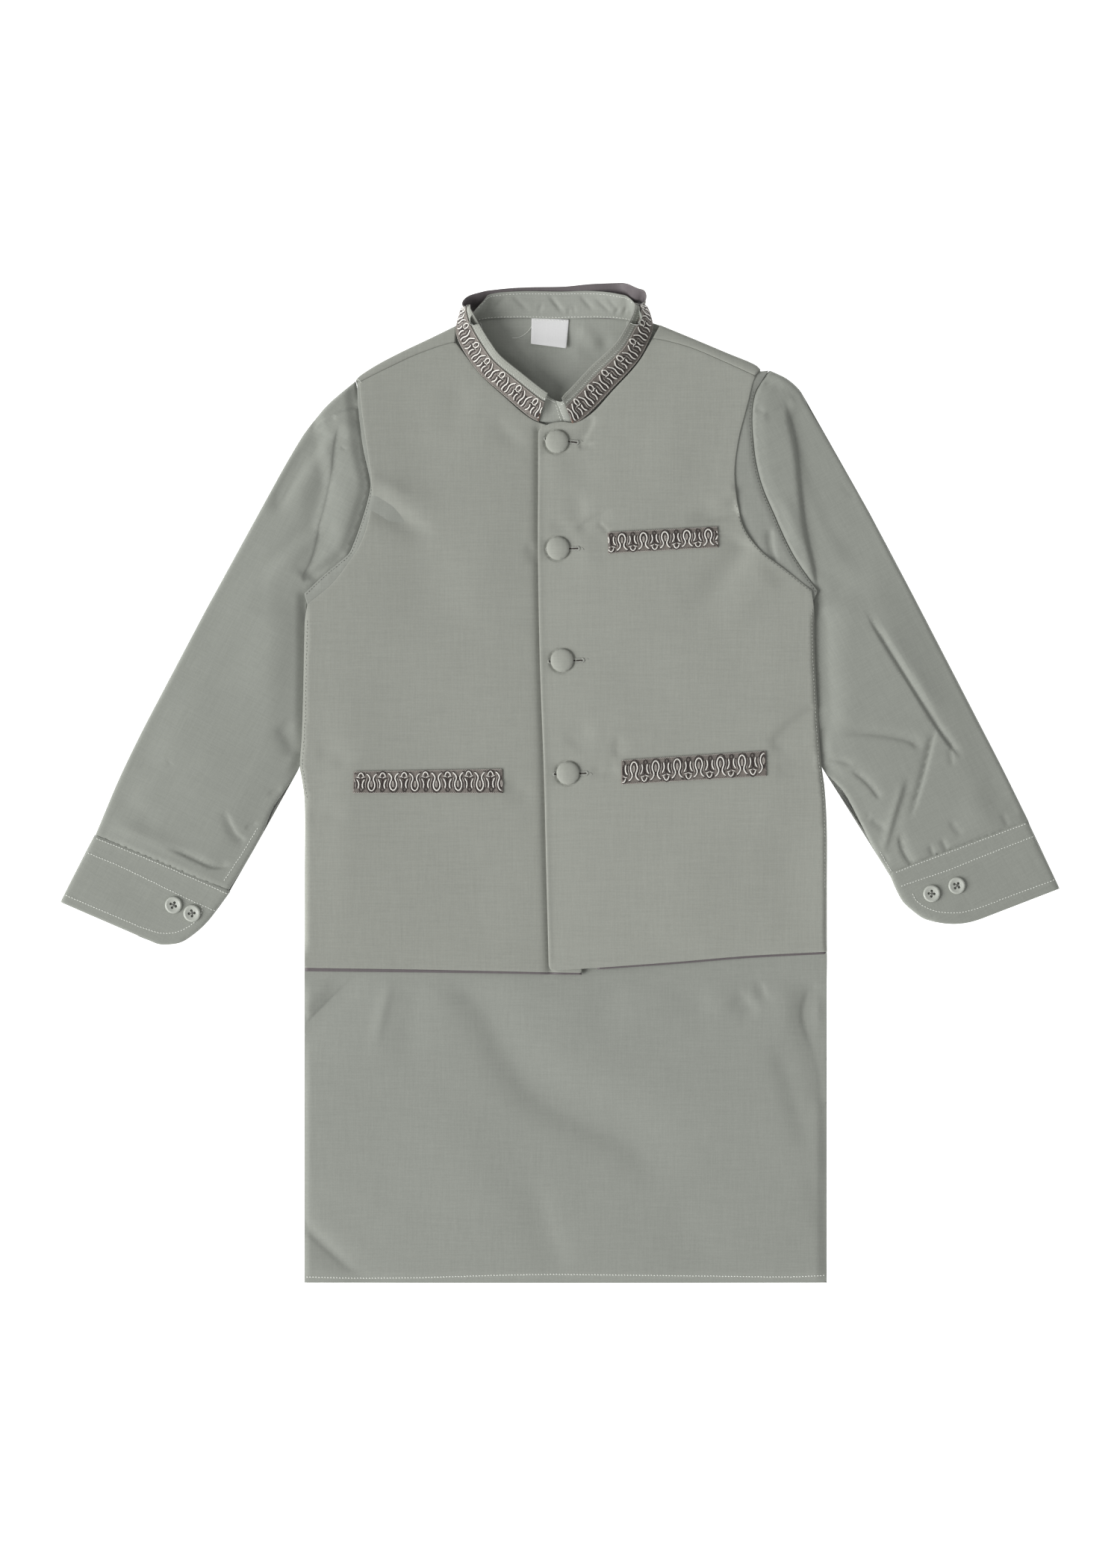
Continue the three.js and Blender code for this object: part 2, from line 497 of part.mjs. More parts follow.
// The waistcoat front comes down to meet its back at the side seam.
function sideSeamDrop(x, y) {
  const edge = x < 0 ? x - xAt(WAISTCOAT_EDGE_RIGHT, y) : xAt(WAISTCOAT_EDGE_LEFT, y) - x;
  const below = smooth((118 - y) / 18);
  return below * (Z_WAISTCOAT_FRONT - Z_KAMEEZ_BACK) * (1 - smooth(edge / 3.2));
}
const waistcoatZ = (x, y) => Z_WAISTCOAT_FRONT + loft(x, Math.max(y, WAISTCOAT_HEM_Y)) - sideSeamDrop(x, y);
const frontRightZ = (x, y) => waistcoatZ(x, y) + PLACKET_STEP * smooth((x + 33) / 14);
const frontLeftZ = (x, y) => waistcoatZ(x, y)
  + (PLACKET_STEP + OVERLAP_STEP) * (1 - smooth((x - 17) / 14));

// ---------------------------------------------------------------- body panels

// Rows and stations that the body's layers share, so that they lie parallel.
const level = (list) => list.map((y) => [y, y]);
const shoulder = [298.7, 287.5, 279, 270.6, 262.4];
const torso = [248, 230, 212, 194, 176, 160, 148, 141, 134, 126, 116, 100, 75, 45, 11.5, -9, -40, -75];
const skirt = [-110, -119, -123.5, -130, -142, -158, -178, -200, -224, -250, -276, -302, -327.6];
const STATIONS = [-144, -116, -88, -60, -33, -19, 0, 17, 31, 60, 88, 116, 144];

const frontRight = panel({
  left: WAISTCOAT_EDGE_RIGHT, right: FRONT_RIGHT_INNER, wall: WAISTCOAT_WALL, bottom: frontRightZ,
  rows: [...level([289.0, 281, 272, 263.4, 250, 240, 235.6, 231.5, ...torso.filter((y) => y < 225)]), [-121.3, -124.1]],
  columns: (L, R) => [L, L + 1.4, L + 3.2, ...STATIONS.filter((x) => x < 1), R],
});
const frontLeft = panel({
  left: FRONT_LEFT_INNER, right: WAISTCOAT_EDGE_LEFT, wall: WAISTCOAT_WALL, bottom: frontLeftZ,
  rows: [...level([291.0, 284, 275.6, 267.3, 252, 241.8, 233.0, 232.4, 230.5, ...torso.filter((y) => y < 225 && y > -110)]),
    [-122.3, -110.3]],
  columns: (L, R) => [L, ...STATIONS.filter((x) => x > 1), R - 3.2, R - 1.4, R],
});

function withTop(edge, top) { return [...top, ...edge.filter((r) => r.y < top[top.length - 1].y - 2)]; }
const backPanel = panel({
  left: withTop(WAISTCOAT_EDGE_RIGHT, BACK_TOP_RIGHT), right: withTop(WAISTCOAT_EDGE_LEFT, BACK_TOP_LEFT),
  wall: WAISTCOAT_WALL, bottom: () => Z_WAISTCOAT_BACK,
  rows: [[300.6, 298.7], [292, 291.8], [283, 283], [274.2, 274.2], [264.6, 271.2], [248, 252], [230, 235],
    ...level([212, 194, 176, 160, 148, 141, 134, 126, 116, 106, 58, 11.5, -20, -60]), [-118.3, -107.5]],
  columns: (L, R) => [0, 0.5, 1].map((k) => lerp(L, R, k)),
});

// The back turns over the shoulder and ends at the shoulder seam on the front.
function shoulderTurn(rows) {
  const upper = rows.map((r) => {
    const dx = r.seamX - r.x, dy = r.seamY - r.y, d = Math.hypot(dx, dy);
    const at = (k, z) => [r.x + dx / d * k, r.y + dy / d * k, z];
    const top = Z_WAISTCOAT_FRONT + WAISTCOAT_WALL, w = WAISTCOAT_WALL;
    return [at(d, 0), at(0.8, 0), at(0, 0.8), at(0, top - 0.8), at(0.8, top), at(d, top),
      at(d, top - w), at(1.3, top - w), at(w, top - w - 0.2), at(w, w + 0.2), at(1.3, w), at(d, w)];
  });
  const n = upper[0].length, points = upper.flat(), triangles = [];
  for (let i = 0; i + 1 < upper.length; i++) {
    for (let j = 0; j < n; j++) {
      const a = i * n + j, b = i * n + (j + 1) % n;
      triangles.push([a, b, a + n], [b, b + n, a + n]);
    }
  }
  for (const end of [0, upper.length - 1]) {
    for (let j = 0; j < n / 2 - 1; j++) {
      const o = end * n, a = o + j, b = o + j + 1, c = o + n - 2 - j, d = o + n - 1 - j;
      const quad = end === 0 ? [[a, c, b], [a, d, c]] : [[a, b, c], [a, c, d]];
      triangles.push(...quad);
    }
  }
  return toGeometry(points, triangles);
}
const turnRight = shoulderTurn([
  { x: -72.5, y: 298.1, seamX: -74.0, seamY: 289.6 }, { x: -85.5, y: 291.8, seamX: -88.5, seamY: 284.4 },
  { x: -104.1, y: 283.0, seamX: -106.4, seamY: 276.3 }, { x: -120.8, y: 274.2, seamX: -122.6, seamY: 268.6 },
  { x: -129.0, y: 267.9, seamX: -130.0, seamY: 265.0 },
]);
const turnLeft = shoulderTurn([
  { x: 68.5, y: 296.8, seamX: 67.4, seamY: 291.6 }, { x: 87.5, y: 291.8, seamX: 85.8, seamY: 286.6 },
  { x: 108.5, y: 283.0, seamX: 106.6, seamY: 278.0 }, { x: 126.5, y: 275.3, seamX: 124.8, seamY: 269.8 },
]);
const waistcoatBack = fromSolid(toSolid(backPanel).add(toSolid(turnRight)).add(toSolid(turnLeft)));

const kameezRows = [...shoulder, ...torso, ...skirt];
// The kameez stays clear of the sleeve seam along the armhole.
const armhole = (y) => 1.2 * smooth((268 - y) / 8) * smooth((y - 96) / 14);
const kameezStations = (L, R, y) => [L + armhole(y), ...STATIONS, R - armhole(y)];
const kameezFrontPanel = panel({
  left: KAMEEZ_EDGE_RIGHT, right: KAMEEZ_EDGE_LEFT, wall: KAMEEZ_WALL, bottom: kameezFrontZ,
  rows: level(kameezRows), columns: kameezStations,
});
const kameezBack = panel({
  left: KAMEEZ_EDGE_RIGHT, right: KAMEEZ_EDGE_LEFT, wall: KAMEEZ_WALL, bottom: kameezBackZ,
  rows: level([302.4, ...shoulder, ...torso, -110, -119, -123.5, -130, -142, -240, -327.6]),
  columns: (L, R, y) => [0, 0.25, 0.5, 0.75, 1].map((k) => lerp(L + armhole(y), R - armhole(y), k)),
});

// Neck hole and front slit of the kameez front.
const inset = 2.5;
const neckHole = COLLAR.map((r) => {
  const dx = NECK_MIDDLE.x - r.x, dy = NECK_MIDDLE.y - r.y, d = Math.hypot(dx, dy);
  return { x: r.x + dx / d * inset, y: r.y + dy / d * inset };
});
const slitX = 3.8;
neckHole.push({ x: slitX + NECK_SLIT / 2, y: 236 }, { x: slitX + NECK_SLIT / 2, y: PLACKET.bottom + 6 },
  { x: slitX - NECK_SLIT / 2, y: PLACKET.bottom + 6 }, { x: slitX - NECK_SLIT / 2, y: 236 });
for (const p of neckHole) if (p.y > 290) p.y = 320;
const kameezFront = fromSolid(toSolid(kameezFrontPanel).subtract(toSolid(prism(neckHole, -5, 40))));

const placket = panel({
  left: [{ x: PLACKET.left, y: PLACKET.top }, { x: PLACKET.left, y: PLACKET.bottom }],
  right: [{ x: PLACKET.right, y: PLACKET.top }, { x: PLACKET.right, y: PLACKET.bottom }],
  wall: KAMEEZ_WALL, bottom: placketZ,
  rows: level([PLACKET.top, 230, 212, 194, 176, 160, 148, 141, 134, 126, 116, 100, PLACKET.bottom]),
  columns: (L, R) => [L, 0, R],
});

// ------------------------------------------------------------ sleeves, cuffs

function fromLine(rows, x, y) {
  let best = Infinity;
  for (let i = 1; i < rows.length; i++) {
    const [p, q] = [rows[i - 1], rows[i]];
    best = Math.min(best, alongSegment(x, y, { x1: p.x, y1: p.y, x2: q.x, y2: q.y }));
  }
  return best;
}

// A flattened tube between its folded top edge and its underarm seam, open
// along the armhole and at the cuff: an outer body less the space inside.
function sleeve(shape, sign) {
  const inner = [...shape.head, ...shape.under.slice(1)];
  const joint = shape.head[shape.head.length - 1].y;
  const height = (x, y) => {
    const d = fromLine(shape.head, x, y);
    const edge = Math.min(fromLine(shape.top, x, y), fromLine(shape.under, x, y));
    return SLEEVE_HEIGHT + SLEEVE_HEAD_RISE * smooth(d / 7) * (1 - smooth((d - 15) / 12))
      + smooth(edge / 22) * smooth((d - 20) / 20) * (1.2 + folds(SLEEVE_FOLDS, x, y));
  };
  const skin = (cavity) => {
    const edgeTop = (y) => xAt(shape.top, y) + (cavity ? -sign * 1.6 : 0);
    const edgeIn = (y) => xAt(inner, y) + (cavity ? sign * (y > joint ? -3 : 1.6) : 0);
    const upper = [], lower = [];
    const rows = SLEEVE_ROWS.map((r) => (r.inner < 20
      ? [r.top + shape.endTop, r.inner + shape.endInner] : [r.top, r.inner]));
    rows.unshift([shape.tip, shape.tip]);
    if (cavity) rows.push([rows[rows.length - 1][0] - 3, rows[rows.length - 1][1] - 3]);
    for (const [topY, inY] of rows) {
      const a = [edgeTop(topY), topY], b = [edgeIn(inY), inY];
      const up = [], low = [];
      for (const u of SLEEVE_STATIONS) {
        const x = lerp(a[0], b[0], u), y = lerp(a[1], b[1], u);
        up.push([x, y, height(x, y) - (cavity ? KAMEEZ_WALL : 0)]);
        low.push([x, y, cavity ? KAMEEZ_WALL : 0]);
      }
      upper.push(up);
      lower.push(low);
    }
    return toSolid(wallBetween(upper, lower));
  };
  return fromSolid(skin(false).subtract(skin(true)));
}
const cuff = (shape) => flatTube({
  shape, lengthSteps: [0, 0.34, 0.67, 1], stations: [0, 0.04, 0.13, 0.3, 0.5, 0.7, 0.84, 0.95, 1],
  height: () => CUFF_HEIGHT, wall: 1.2,
});

// -------------------------------------------------------------------- collars

const neckSeam = [...KAMEEZ_COLLAR_START, ...COLLAR, ...KAMEEZ_COLLAR_END];
const MID_BAND = 9.5;
const kameezCollar = band({
  rows: neckSeam, perRow: 2, first: 0, last: 0, inner: 0, outer: KAMEEZ_WALL,
  stations: (cos) => [0, MID_BAND, COLLAR_RIBBON.to, lerp(KAMEEZ_COLLAR_BACK_WIDTH, KAMEEZ_COLLAR_FRONT_WIDTH, clamp01(0.5 + cos * 0.7))],
});
const outOne = KAMEEZ_WALL + COLLAR_GAP, outTwo = outOne + WAISTCOAT_WALL + COLLAR_GAP;
const waistcoatCollar = band({
  rows: neckSeam, perRow: 2, first: KAMEEZ_COLLAR_START.length, last: KAMEEZ_COLLAR_END.length,
  inner: outOne, outer: outOne + WAISTCOAT_WALL,
  stations: () => [WAISTCOAT_COLLAR.from, MID_BAND, COLLAR_RIBBON.to, WAISTCOAT_COLLAR.to],
});
const collarRibbon = band({
  rows: neckSeam, perRow: 2, first: KAMEEZ_COLLAR_START.length, last: KAMEEZ_COLLAR_END.length,
  inner: outTwo, outer: outTwo + RIBBON_WALL,
  stations: () => [COLLAR_RIBBON.from, MID_BAND, COLLAR_RIBBON.to],
});

// -------------------------------------------------------- trims and fastenings

function patchOn(corners, surface, wall, columns = 9, rows = 3) {
  const [a, b, c, d] = corners;
  const upper = [], lower = [];
  for (let i = 0; i < rows; i++) {
    const up = [], low = [];
    for (let j = 0; j < columns; j++) {
      const u = j / (columns - 1), v = i / (rows - 1);
      const x = lerp(lerp(a.x, b.x, u), lerp(d.x, c.x, u), v);
      const y = lerp(lerp(a.y, b.y, u), lerp(d.y, c.y, u), v);
      const z = surface(x, y);
      up.push([x, y, z + wall]);
      low.push([x, y, z]);
    }
    upper.push(up);
    lower.push(low);
  }
  return wallBetween(upper, lower);
}
const onFront = (surface) => (x, y) => surface(x, y) + WAISTCOAT_WALL + GAP + 0.2;

function coveredButton() {
  const { radius, height } = COVERED_BUTTON;
  const profile = [new THREE.Vector2(0, 0), new THREE.Vector2(radius * 0.8, 0), new THREE.Vector2(radius, height * 0.28),
    new THREE.Vector2(radius * 0.96, height * 0.55), new THREE.Vector2(radius * 0.72, height * 0.85), new THREE.Vector2(0, height)];
  return new THREE.LatheGeometry(profile, 28).rotateX(Math.PI / 2);
}
function cuffButton() {
  const shape = new THREE.Shape();
  shape.absarc(0, 0, CUFF_BUTTON.radius, 0, Math.PI * 2);
  for (const [sx, sy] of [[1, 1], [1, -1], [-1, 1], [-1, -1]]) {
    const hole = new THREE.Path();
    hole.absarc(sx * CUFF_BUTTON.holeSpread, sy * CUFF_BUTTON.holeSpread, CUFF_BUTTON.holeRadius, 0, Math.PI * 2, true);
    shape.holes.push(hole);
  }
  return new THREE.ExtrudeGeometry(shape, { depth: CUFF_BUTTON.height, bevelEnabled: false, curveSegments: 7 });
}

// ------------------------------------------------------------------- assembly

const group = new THREE.Group();
function add(name, geometry, look, position) {
  const mesh = new THREE.Mesh(geometry, new THREE.MeshStandardMaterial(look));
  mesh.name = name;
  if (position) mesh.position.set(position.x, position.y, position.z);
  group.add(mesh);
}

add('waistcoat_back', waistcoatBack, CLOTH);
add('waistcoat_front_right', frontRight, CLOTH);
add('waistcoat_front_left', frontLeft, CLOTH);
add('waistcoat_collar', waistcoatCollar, CLOTH);
add('collar_ribbon', collarRibbon, RIBBON);
add('pocket_ribbon_chest', patchOn(POCKETS.chest, onFront(frontLeftZ), RIBBON_WALL), RIBBON);
add('pocket_ribbon_lower_left', patchOn(POCKETS.lower_left, onFront(frontLeftZ), RIBBON_WALL), RIBBON);
add('pocket_ribbon_lower_right', patchOn(POCKETS.lower_right, onFront(frontRightZ), RIBBON_WALL), RIBBON);
add('kameez_back', kameezBack, CLOTH);
add('kameez_front', kameezFront, CLOTH);
add('kameez_placket', placket, CLOTH);
add('kameez_collar', kameezCollar, CLOTH);
add('kameez_sleeve_right', sleeve(SLEEVE_RIGHT, -1), CLOTH);
add('kameez_sleeve_left', sleeve(SLEEVE_LEFT, 1), CLOTH);
add('kameez_cuff_right', cuff(CUFF_RIGHT), CLOTH);
add('kameez_cuff_left', cuff(CUFF_LEFT), CLOTH);
add('neck_label', patchOn(LABEL, (x, y) => kameezBackZ(x, y) + KAMEEZ_WALL + GAP, 1.0, 3, 3), TAPE);

COVERED_BUTTONS.forEach((b, i) => {
  const z = frontLeftZ(b.x, b.y) + WAISTCOAT_WALL + GAP + 0.15;
  add(`covered_button_${i + 1}`, coveredButton(), CLOTH, { x: b.x, y: b.y, z });
});
for (const side of ['right', 'left']) {
  CUFF_BUTTONS[side].forEach((b, i) => {
    add(`cuff_button_${side}_${i + 1}`, cuffButton(), PLASTIC, { x: b.x, y: b.y, z: CUFF_HEIGHT + GAP });
  });
}

export default group;
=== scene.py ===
# Child's kameez with a matching waistcoat, laid flat on its back.
# Lengths are in millimetres until a mesh is made; MM turns them into metres.
# A place read off the photograph is given as a pixel of its 1500 x 2100 frame,
# and px() turns it into the plan of the garment. Heights come from the layers.

import math

import bpy
import numpy as np
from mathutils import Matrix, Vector
from mathutils.geometry import delaunay_2d_cdt


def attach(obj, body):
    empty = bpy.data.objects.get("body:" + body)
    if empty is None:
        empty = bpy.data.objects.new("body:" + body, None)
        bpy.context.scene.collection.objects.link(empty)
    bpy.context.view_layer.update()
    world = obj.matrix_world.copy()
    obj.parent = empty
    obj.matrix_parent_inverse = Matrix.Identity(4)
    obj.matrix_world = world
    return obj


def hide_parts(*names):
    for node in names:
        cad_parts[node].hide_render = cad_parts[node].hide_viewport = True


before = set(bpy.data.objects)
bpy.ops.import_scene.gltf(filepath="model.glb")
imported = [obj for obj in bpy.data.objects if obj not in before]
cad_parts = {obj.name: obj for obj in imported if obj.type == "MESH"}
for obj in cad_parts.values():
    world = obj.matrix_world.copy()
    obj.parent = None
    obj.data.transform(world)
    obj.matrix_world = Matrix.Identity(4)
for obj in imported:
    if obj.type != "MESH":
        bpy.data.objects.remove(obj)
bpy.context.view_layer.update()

MM = 0.001
PIXEL = 0.49
PHOTO = (1500, 2100)
CENTRE = (749.5, 1049.5)
BODY = "root"

# --------------------------------------------------------------------- sizes

KAMEEZ_WALL = 1.0
WAISTCOAT_WALL = 1.2
Z_WAISTCOAT_BACK = 0.0
Z_KAMEEZ_BACK = 1.5
Z_KAMEEZ_FRONT = 2.8
Z_WAISTCOAT_FRONT = 4.4
WAISTCOAT_HEM_Y = -121.0
LIFT = 1.2
PLACKET_STEP = 1.4
OVERLAP_STEP = 1.4
COVERED_BUTTON_RADIUS = 7.5
CUFF_BUTTON_RADIUS = 5.6


def px(rows):
    a = np.asarray(rows, float).reshape(-1, 2)
    return np.stack([(a[:, 0] - CENTRE[0]) * PIXEL, (CENTRE[1] - a[:, 1]) * PIXEL], 1)


def smooth(t):
    k = np.clip(t, 0, 1)
    return k * k * (3 - 2 * k)


# -------------------------------------------------------------------- curves

def catmull(points, step):
    """Smooth curve through the points, resampled at equal steps, ends kept."""
    p = np.asarray(points, float)
    if len(p) < 3:
        fine = np.linspace(0, 1, 40)[:, None] * (p[-1] - p[0]) + p[0]
    else:
        ext = np.vstack([2 * p[0] - p[1], p, 2 * p[-1] - p[-2]])
        parts = []
        for i in range(1, len(ext) - 2):
            a, b, c, d = ext[i - 1], ext[i], ext[i + 1], ext[i + 2]
            t1 = max(np.linalg.norm(b - a), 1e-6) ** 0.5
            t2 = t1 + max(np.linalg.norm(c - b), 1e-6) ** 0.5
            t3 = t2 + max(np.linalg.norm(d - c), 1e-6) ** 0.5
            t = np.linspace(t1, t2, 14)[:, None]
            a1 = (t1 - t) / t1 * a + t / t1 * b
            a2 = (t2 - t) / (t2 - t1) * b + (t - t1) / (t2 - t1) * c
            a3 = (t3 - t) / (t3 - t2) * c + (t - t2) / (t3 - t2) * d
            b1 = (t2 - t) / t2 * a1 + t / t2 * a2
            b2 = (t3 - t) / (t3 - t1) * a2 + (t - t1) / (t3 - t1) * a3
            q = (t2 - t) / (t2 - t1) * b1 + (t - t1) / (t2 - t1) * b2
            parts.append(q if i == len(ext) - 3 else q[:-1])
        fine = np.vstack(parts)
    return resample(fine, step)


def resample(p, step):
    seg = np.linalg.norm(np.diff(p, axis=0), axis=1)
    s = np.concatenate([[0], np.cumsum(seg)])
    n = max(1, int(round(s[-1] / step)))
    at = np.linspace(0, s[-1], n + 1)
    return np.stack([np.interp(at, s, p[:, k]) for k in range(p.shape[1])], 1)


def length_of(p):
    return float(np.linalg.norm(np.diff(p, axis=0), axis=1).sum())


def nearest(line, x, y):
    """Distance to an open polyline, which side (+ left of its direction), and how far along (0..1)."""
    n, m = len(x), len(line) - 1
    a, b = line[:-1], line[1:]
    ab = b - a
    ll = np.maximum((ab ** 2).sum(1), 1e-12)
    s0 = np.concatenate([[0], np.cumsum(np.sqrt(ll))])
    dist, side, along = np.empty(n), np.empty(n), np.empty(n)
    chunk = max(1, int(3e6 // max(m, 1)))
    for i in range(0, n, chunk):
        qx, qy = x[i:i + chunk, None], y[i:i + chunk, None]
        dx, dy = qx - a[:, 0], qy - a[:, 1]
        k = np.clip((dx * ab[:, 0] + dy * ab[:, 1]) / ll, 0, 1)
        ex, ey = dx - k * ab[:, 0], dy - k * ab[:, 1]
        d2 = ex * ex + ey * ey
        j = d2.argmin(1)
        r = np.arange(len(j))
        dist[i:i + chunk] = np.sqrt(d2[r, j])
        side[i:i + chunk] = np.sign(ab[j, 0] * dy[r, j] - ab[j, 1] * dx[r, j])
        along[i:i + chunk] = (s0[j] + k[r, j] * np.sqrt(ll[j])) / s0[-1]
    return dist, side, along


def inside(loop, x, y):
    a, b = loop, np.roll(loop, -1, axis=0)
    out = np.zeros(len(x), bool)
    chunk = max(1, int(3e6 // len(loop)))
    for i in range(0, len(x), chunk):
        qx, qy = x[i:i + chunk, None], y[i:i + chunk, None]
        cross = (a[:, 1] > qy) != (b[:, 1] > qy)
        dy = np.where(b[:, 1] == a[:, 1], 1e-12, b[:, 1] - a[:, 1])
        xi = a[:, 0] + (qy - a[:, 1]) / dy * (b[:, 0] - a[:, 0])
        out[i:i + chunk] = (cross & (qx < xi)).sum(1) % 2 == 1
    return out


# -------------------------------------------------------------------- creases

class Creases:
    """Soft troughs (height < 0) and ridges along given lines. A row is
    (points, height, half width to the left of its direction, half width to
    the right, fade in, fade out), the fades as shares of its length."""

    def __init__(self, rows, gain=1.0):
        self.rows = []
        for points, h, wl, wr, f0, f1 in rows:
            line = catmull(px(points), 1.5)
            self.rows.append((line, h * gain, wl, wr, f0, f1))

    def __call__(self, x, y):
        x, y = np.asarray(x, float), np.asarray(y, float)
        shape = np.broadcast(x, y).shape
        xf, yf = np.broadcast_to(x, shape).ravel(), np.broadcast_to(y, shape).ravel()
        z = np.zeros(len(xf))
        for line, h, wl, wr, f0, f1 in self.rows:
            w = 2.6 * max(wl, wr)
            lo, hi = line.min(0) - w, line.max(0) + w
            sel = np.nonzero((xf > lo[0]) & (xf < hi[0]) & (yf > lo[1]) & (yf < hi[1]))[0]
            if not len(sel):
                continue
            d, side, t = nearest(line, xf[sel], yf[sel])
            wide = np.where(side > 0, wl, wr)
            k = np.exp(-(d / wide) ** 2)
            if f0 > 0:
                k *= smooth(t / f0)
            if f1 > 0:
                k *= smooth((1 - t) / f1)
            z[sel] += h * k
        return z.reshape(shape)

    def fine_points(self, sharper_than=3.0):
        """Extra mesh points beside the sharp ones."""
        out = []
        for line, h, wl, wr, f0, f1 in self.rows:
            w = min(wl, wr)
            if w > sharper_than:
                continue
            c = resample(line, 1.1)
            t = np.gradient(c, axis=0)
            t /= np.maximum(np.linalg.norm(t, axis=1), 1e-9)[:, None]
            nrm = np.stack([-t[:, 1], t[:, 0]], 1)
            for k in (-1.6, -0.8, 0, 0.8, 1.6):
                out.append(c + nrm * k * (wl if k > 0 else wr if k < 0 else 1) * (1 if w < 1.6 else 0.7))
        return np.vstack(out) if out else np.zeros((0, 2))


# --------------------------------------------------------------------- meshes

class Bag:
    """Collects parts of one mesh."""

    def __init__(self):
        self.v, self.f, self.m, self.n = [], [], [], 0

    def add(self, verts, faces, mat=0):
        verts = np.asarray(verts, float)
        self.v.append(verts)
        off = self.n
        for f in faces:
            f = np.asarray(f)
            if f.size == 0:
                continue
            self.f.extend((f + off).tolist())
            self.m.extend([mat] * len(f) if np.isscalar(mat) else list(mat))
        self.n += len(verts)

    def make(self, name, materials, shade=True):
        me = bpy.data.meshes.new(name)
        me.from_pydata((np.vstack(self.v) * MM).tolist(), [], self.f)
        for m in materials:
            me.materials.append(m)
        me.polygons.foreach_set("material_index", self.m)
        me.polygons.foreach_set("use_smooth", [shade] * len(me.polygons))
        me.validate()
        me.update()
        ob = bpy.data.objects.new(name, me)
        bpy.context.scene.collection.objects.link(ob)
        return ob


def lattice(lo, hi, step):
    rows = np.arange(lo[1], hi[1], step * 0.866)
    out = []
    for i, y in enumerate(rows):
        xs = np.arange(lo[0] + (step / 2 if i % 2 else 0), hi[0], step)
        out.append(np.stack([xs, np.full(len(xs), y)], 1))
    return np.vstack(out)


def thin(points, keep_from, radius):
    """Drops points closer than radius to an earlier one; the first keep_from stay."""
    cell = {}
    out = []
    for i, (x, y) in enumerate(points.tolist()):
        a, b = int(x // radius), int(y // radius)
        ok = True
        if i >= keep_from:
            for u in (a - 1, a, a + 1):
                for v in (b - 1, b, b + 1):
                    for q in cell.get((u, v), ()):
                        if (q[0] - x) ** 2 + (q[1] - y) ** 2 < radius * radius:
                            ok = False
                            break
                    if not ok:
                        break
                if not ok:
                    break
        if ok:
            cell.setdefault((a, b), []).append((x, y))
            out.append(i)
    return points[out]


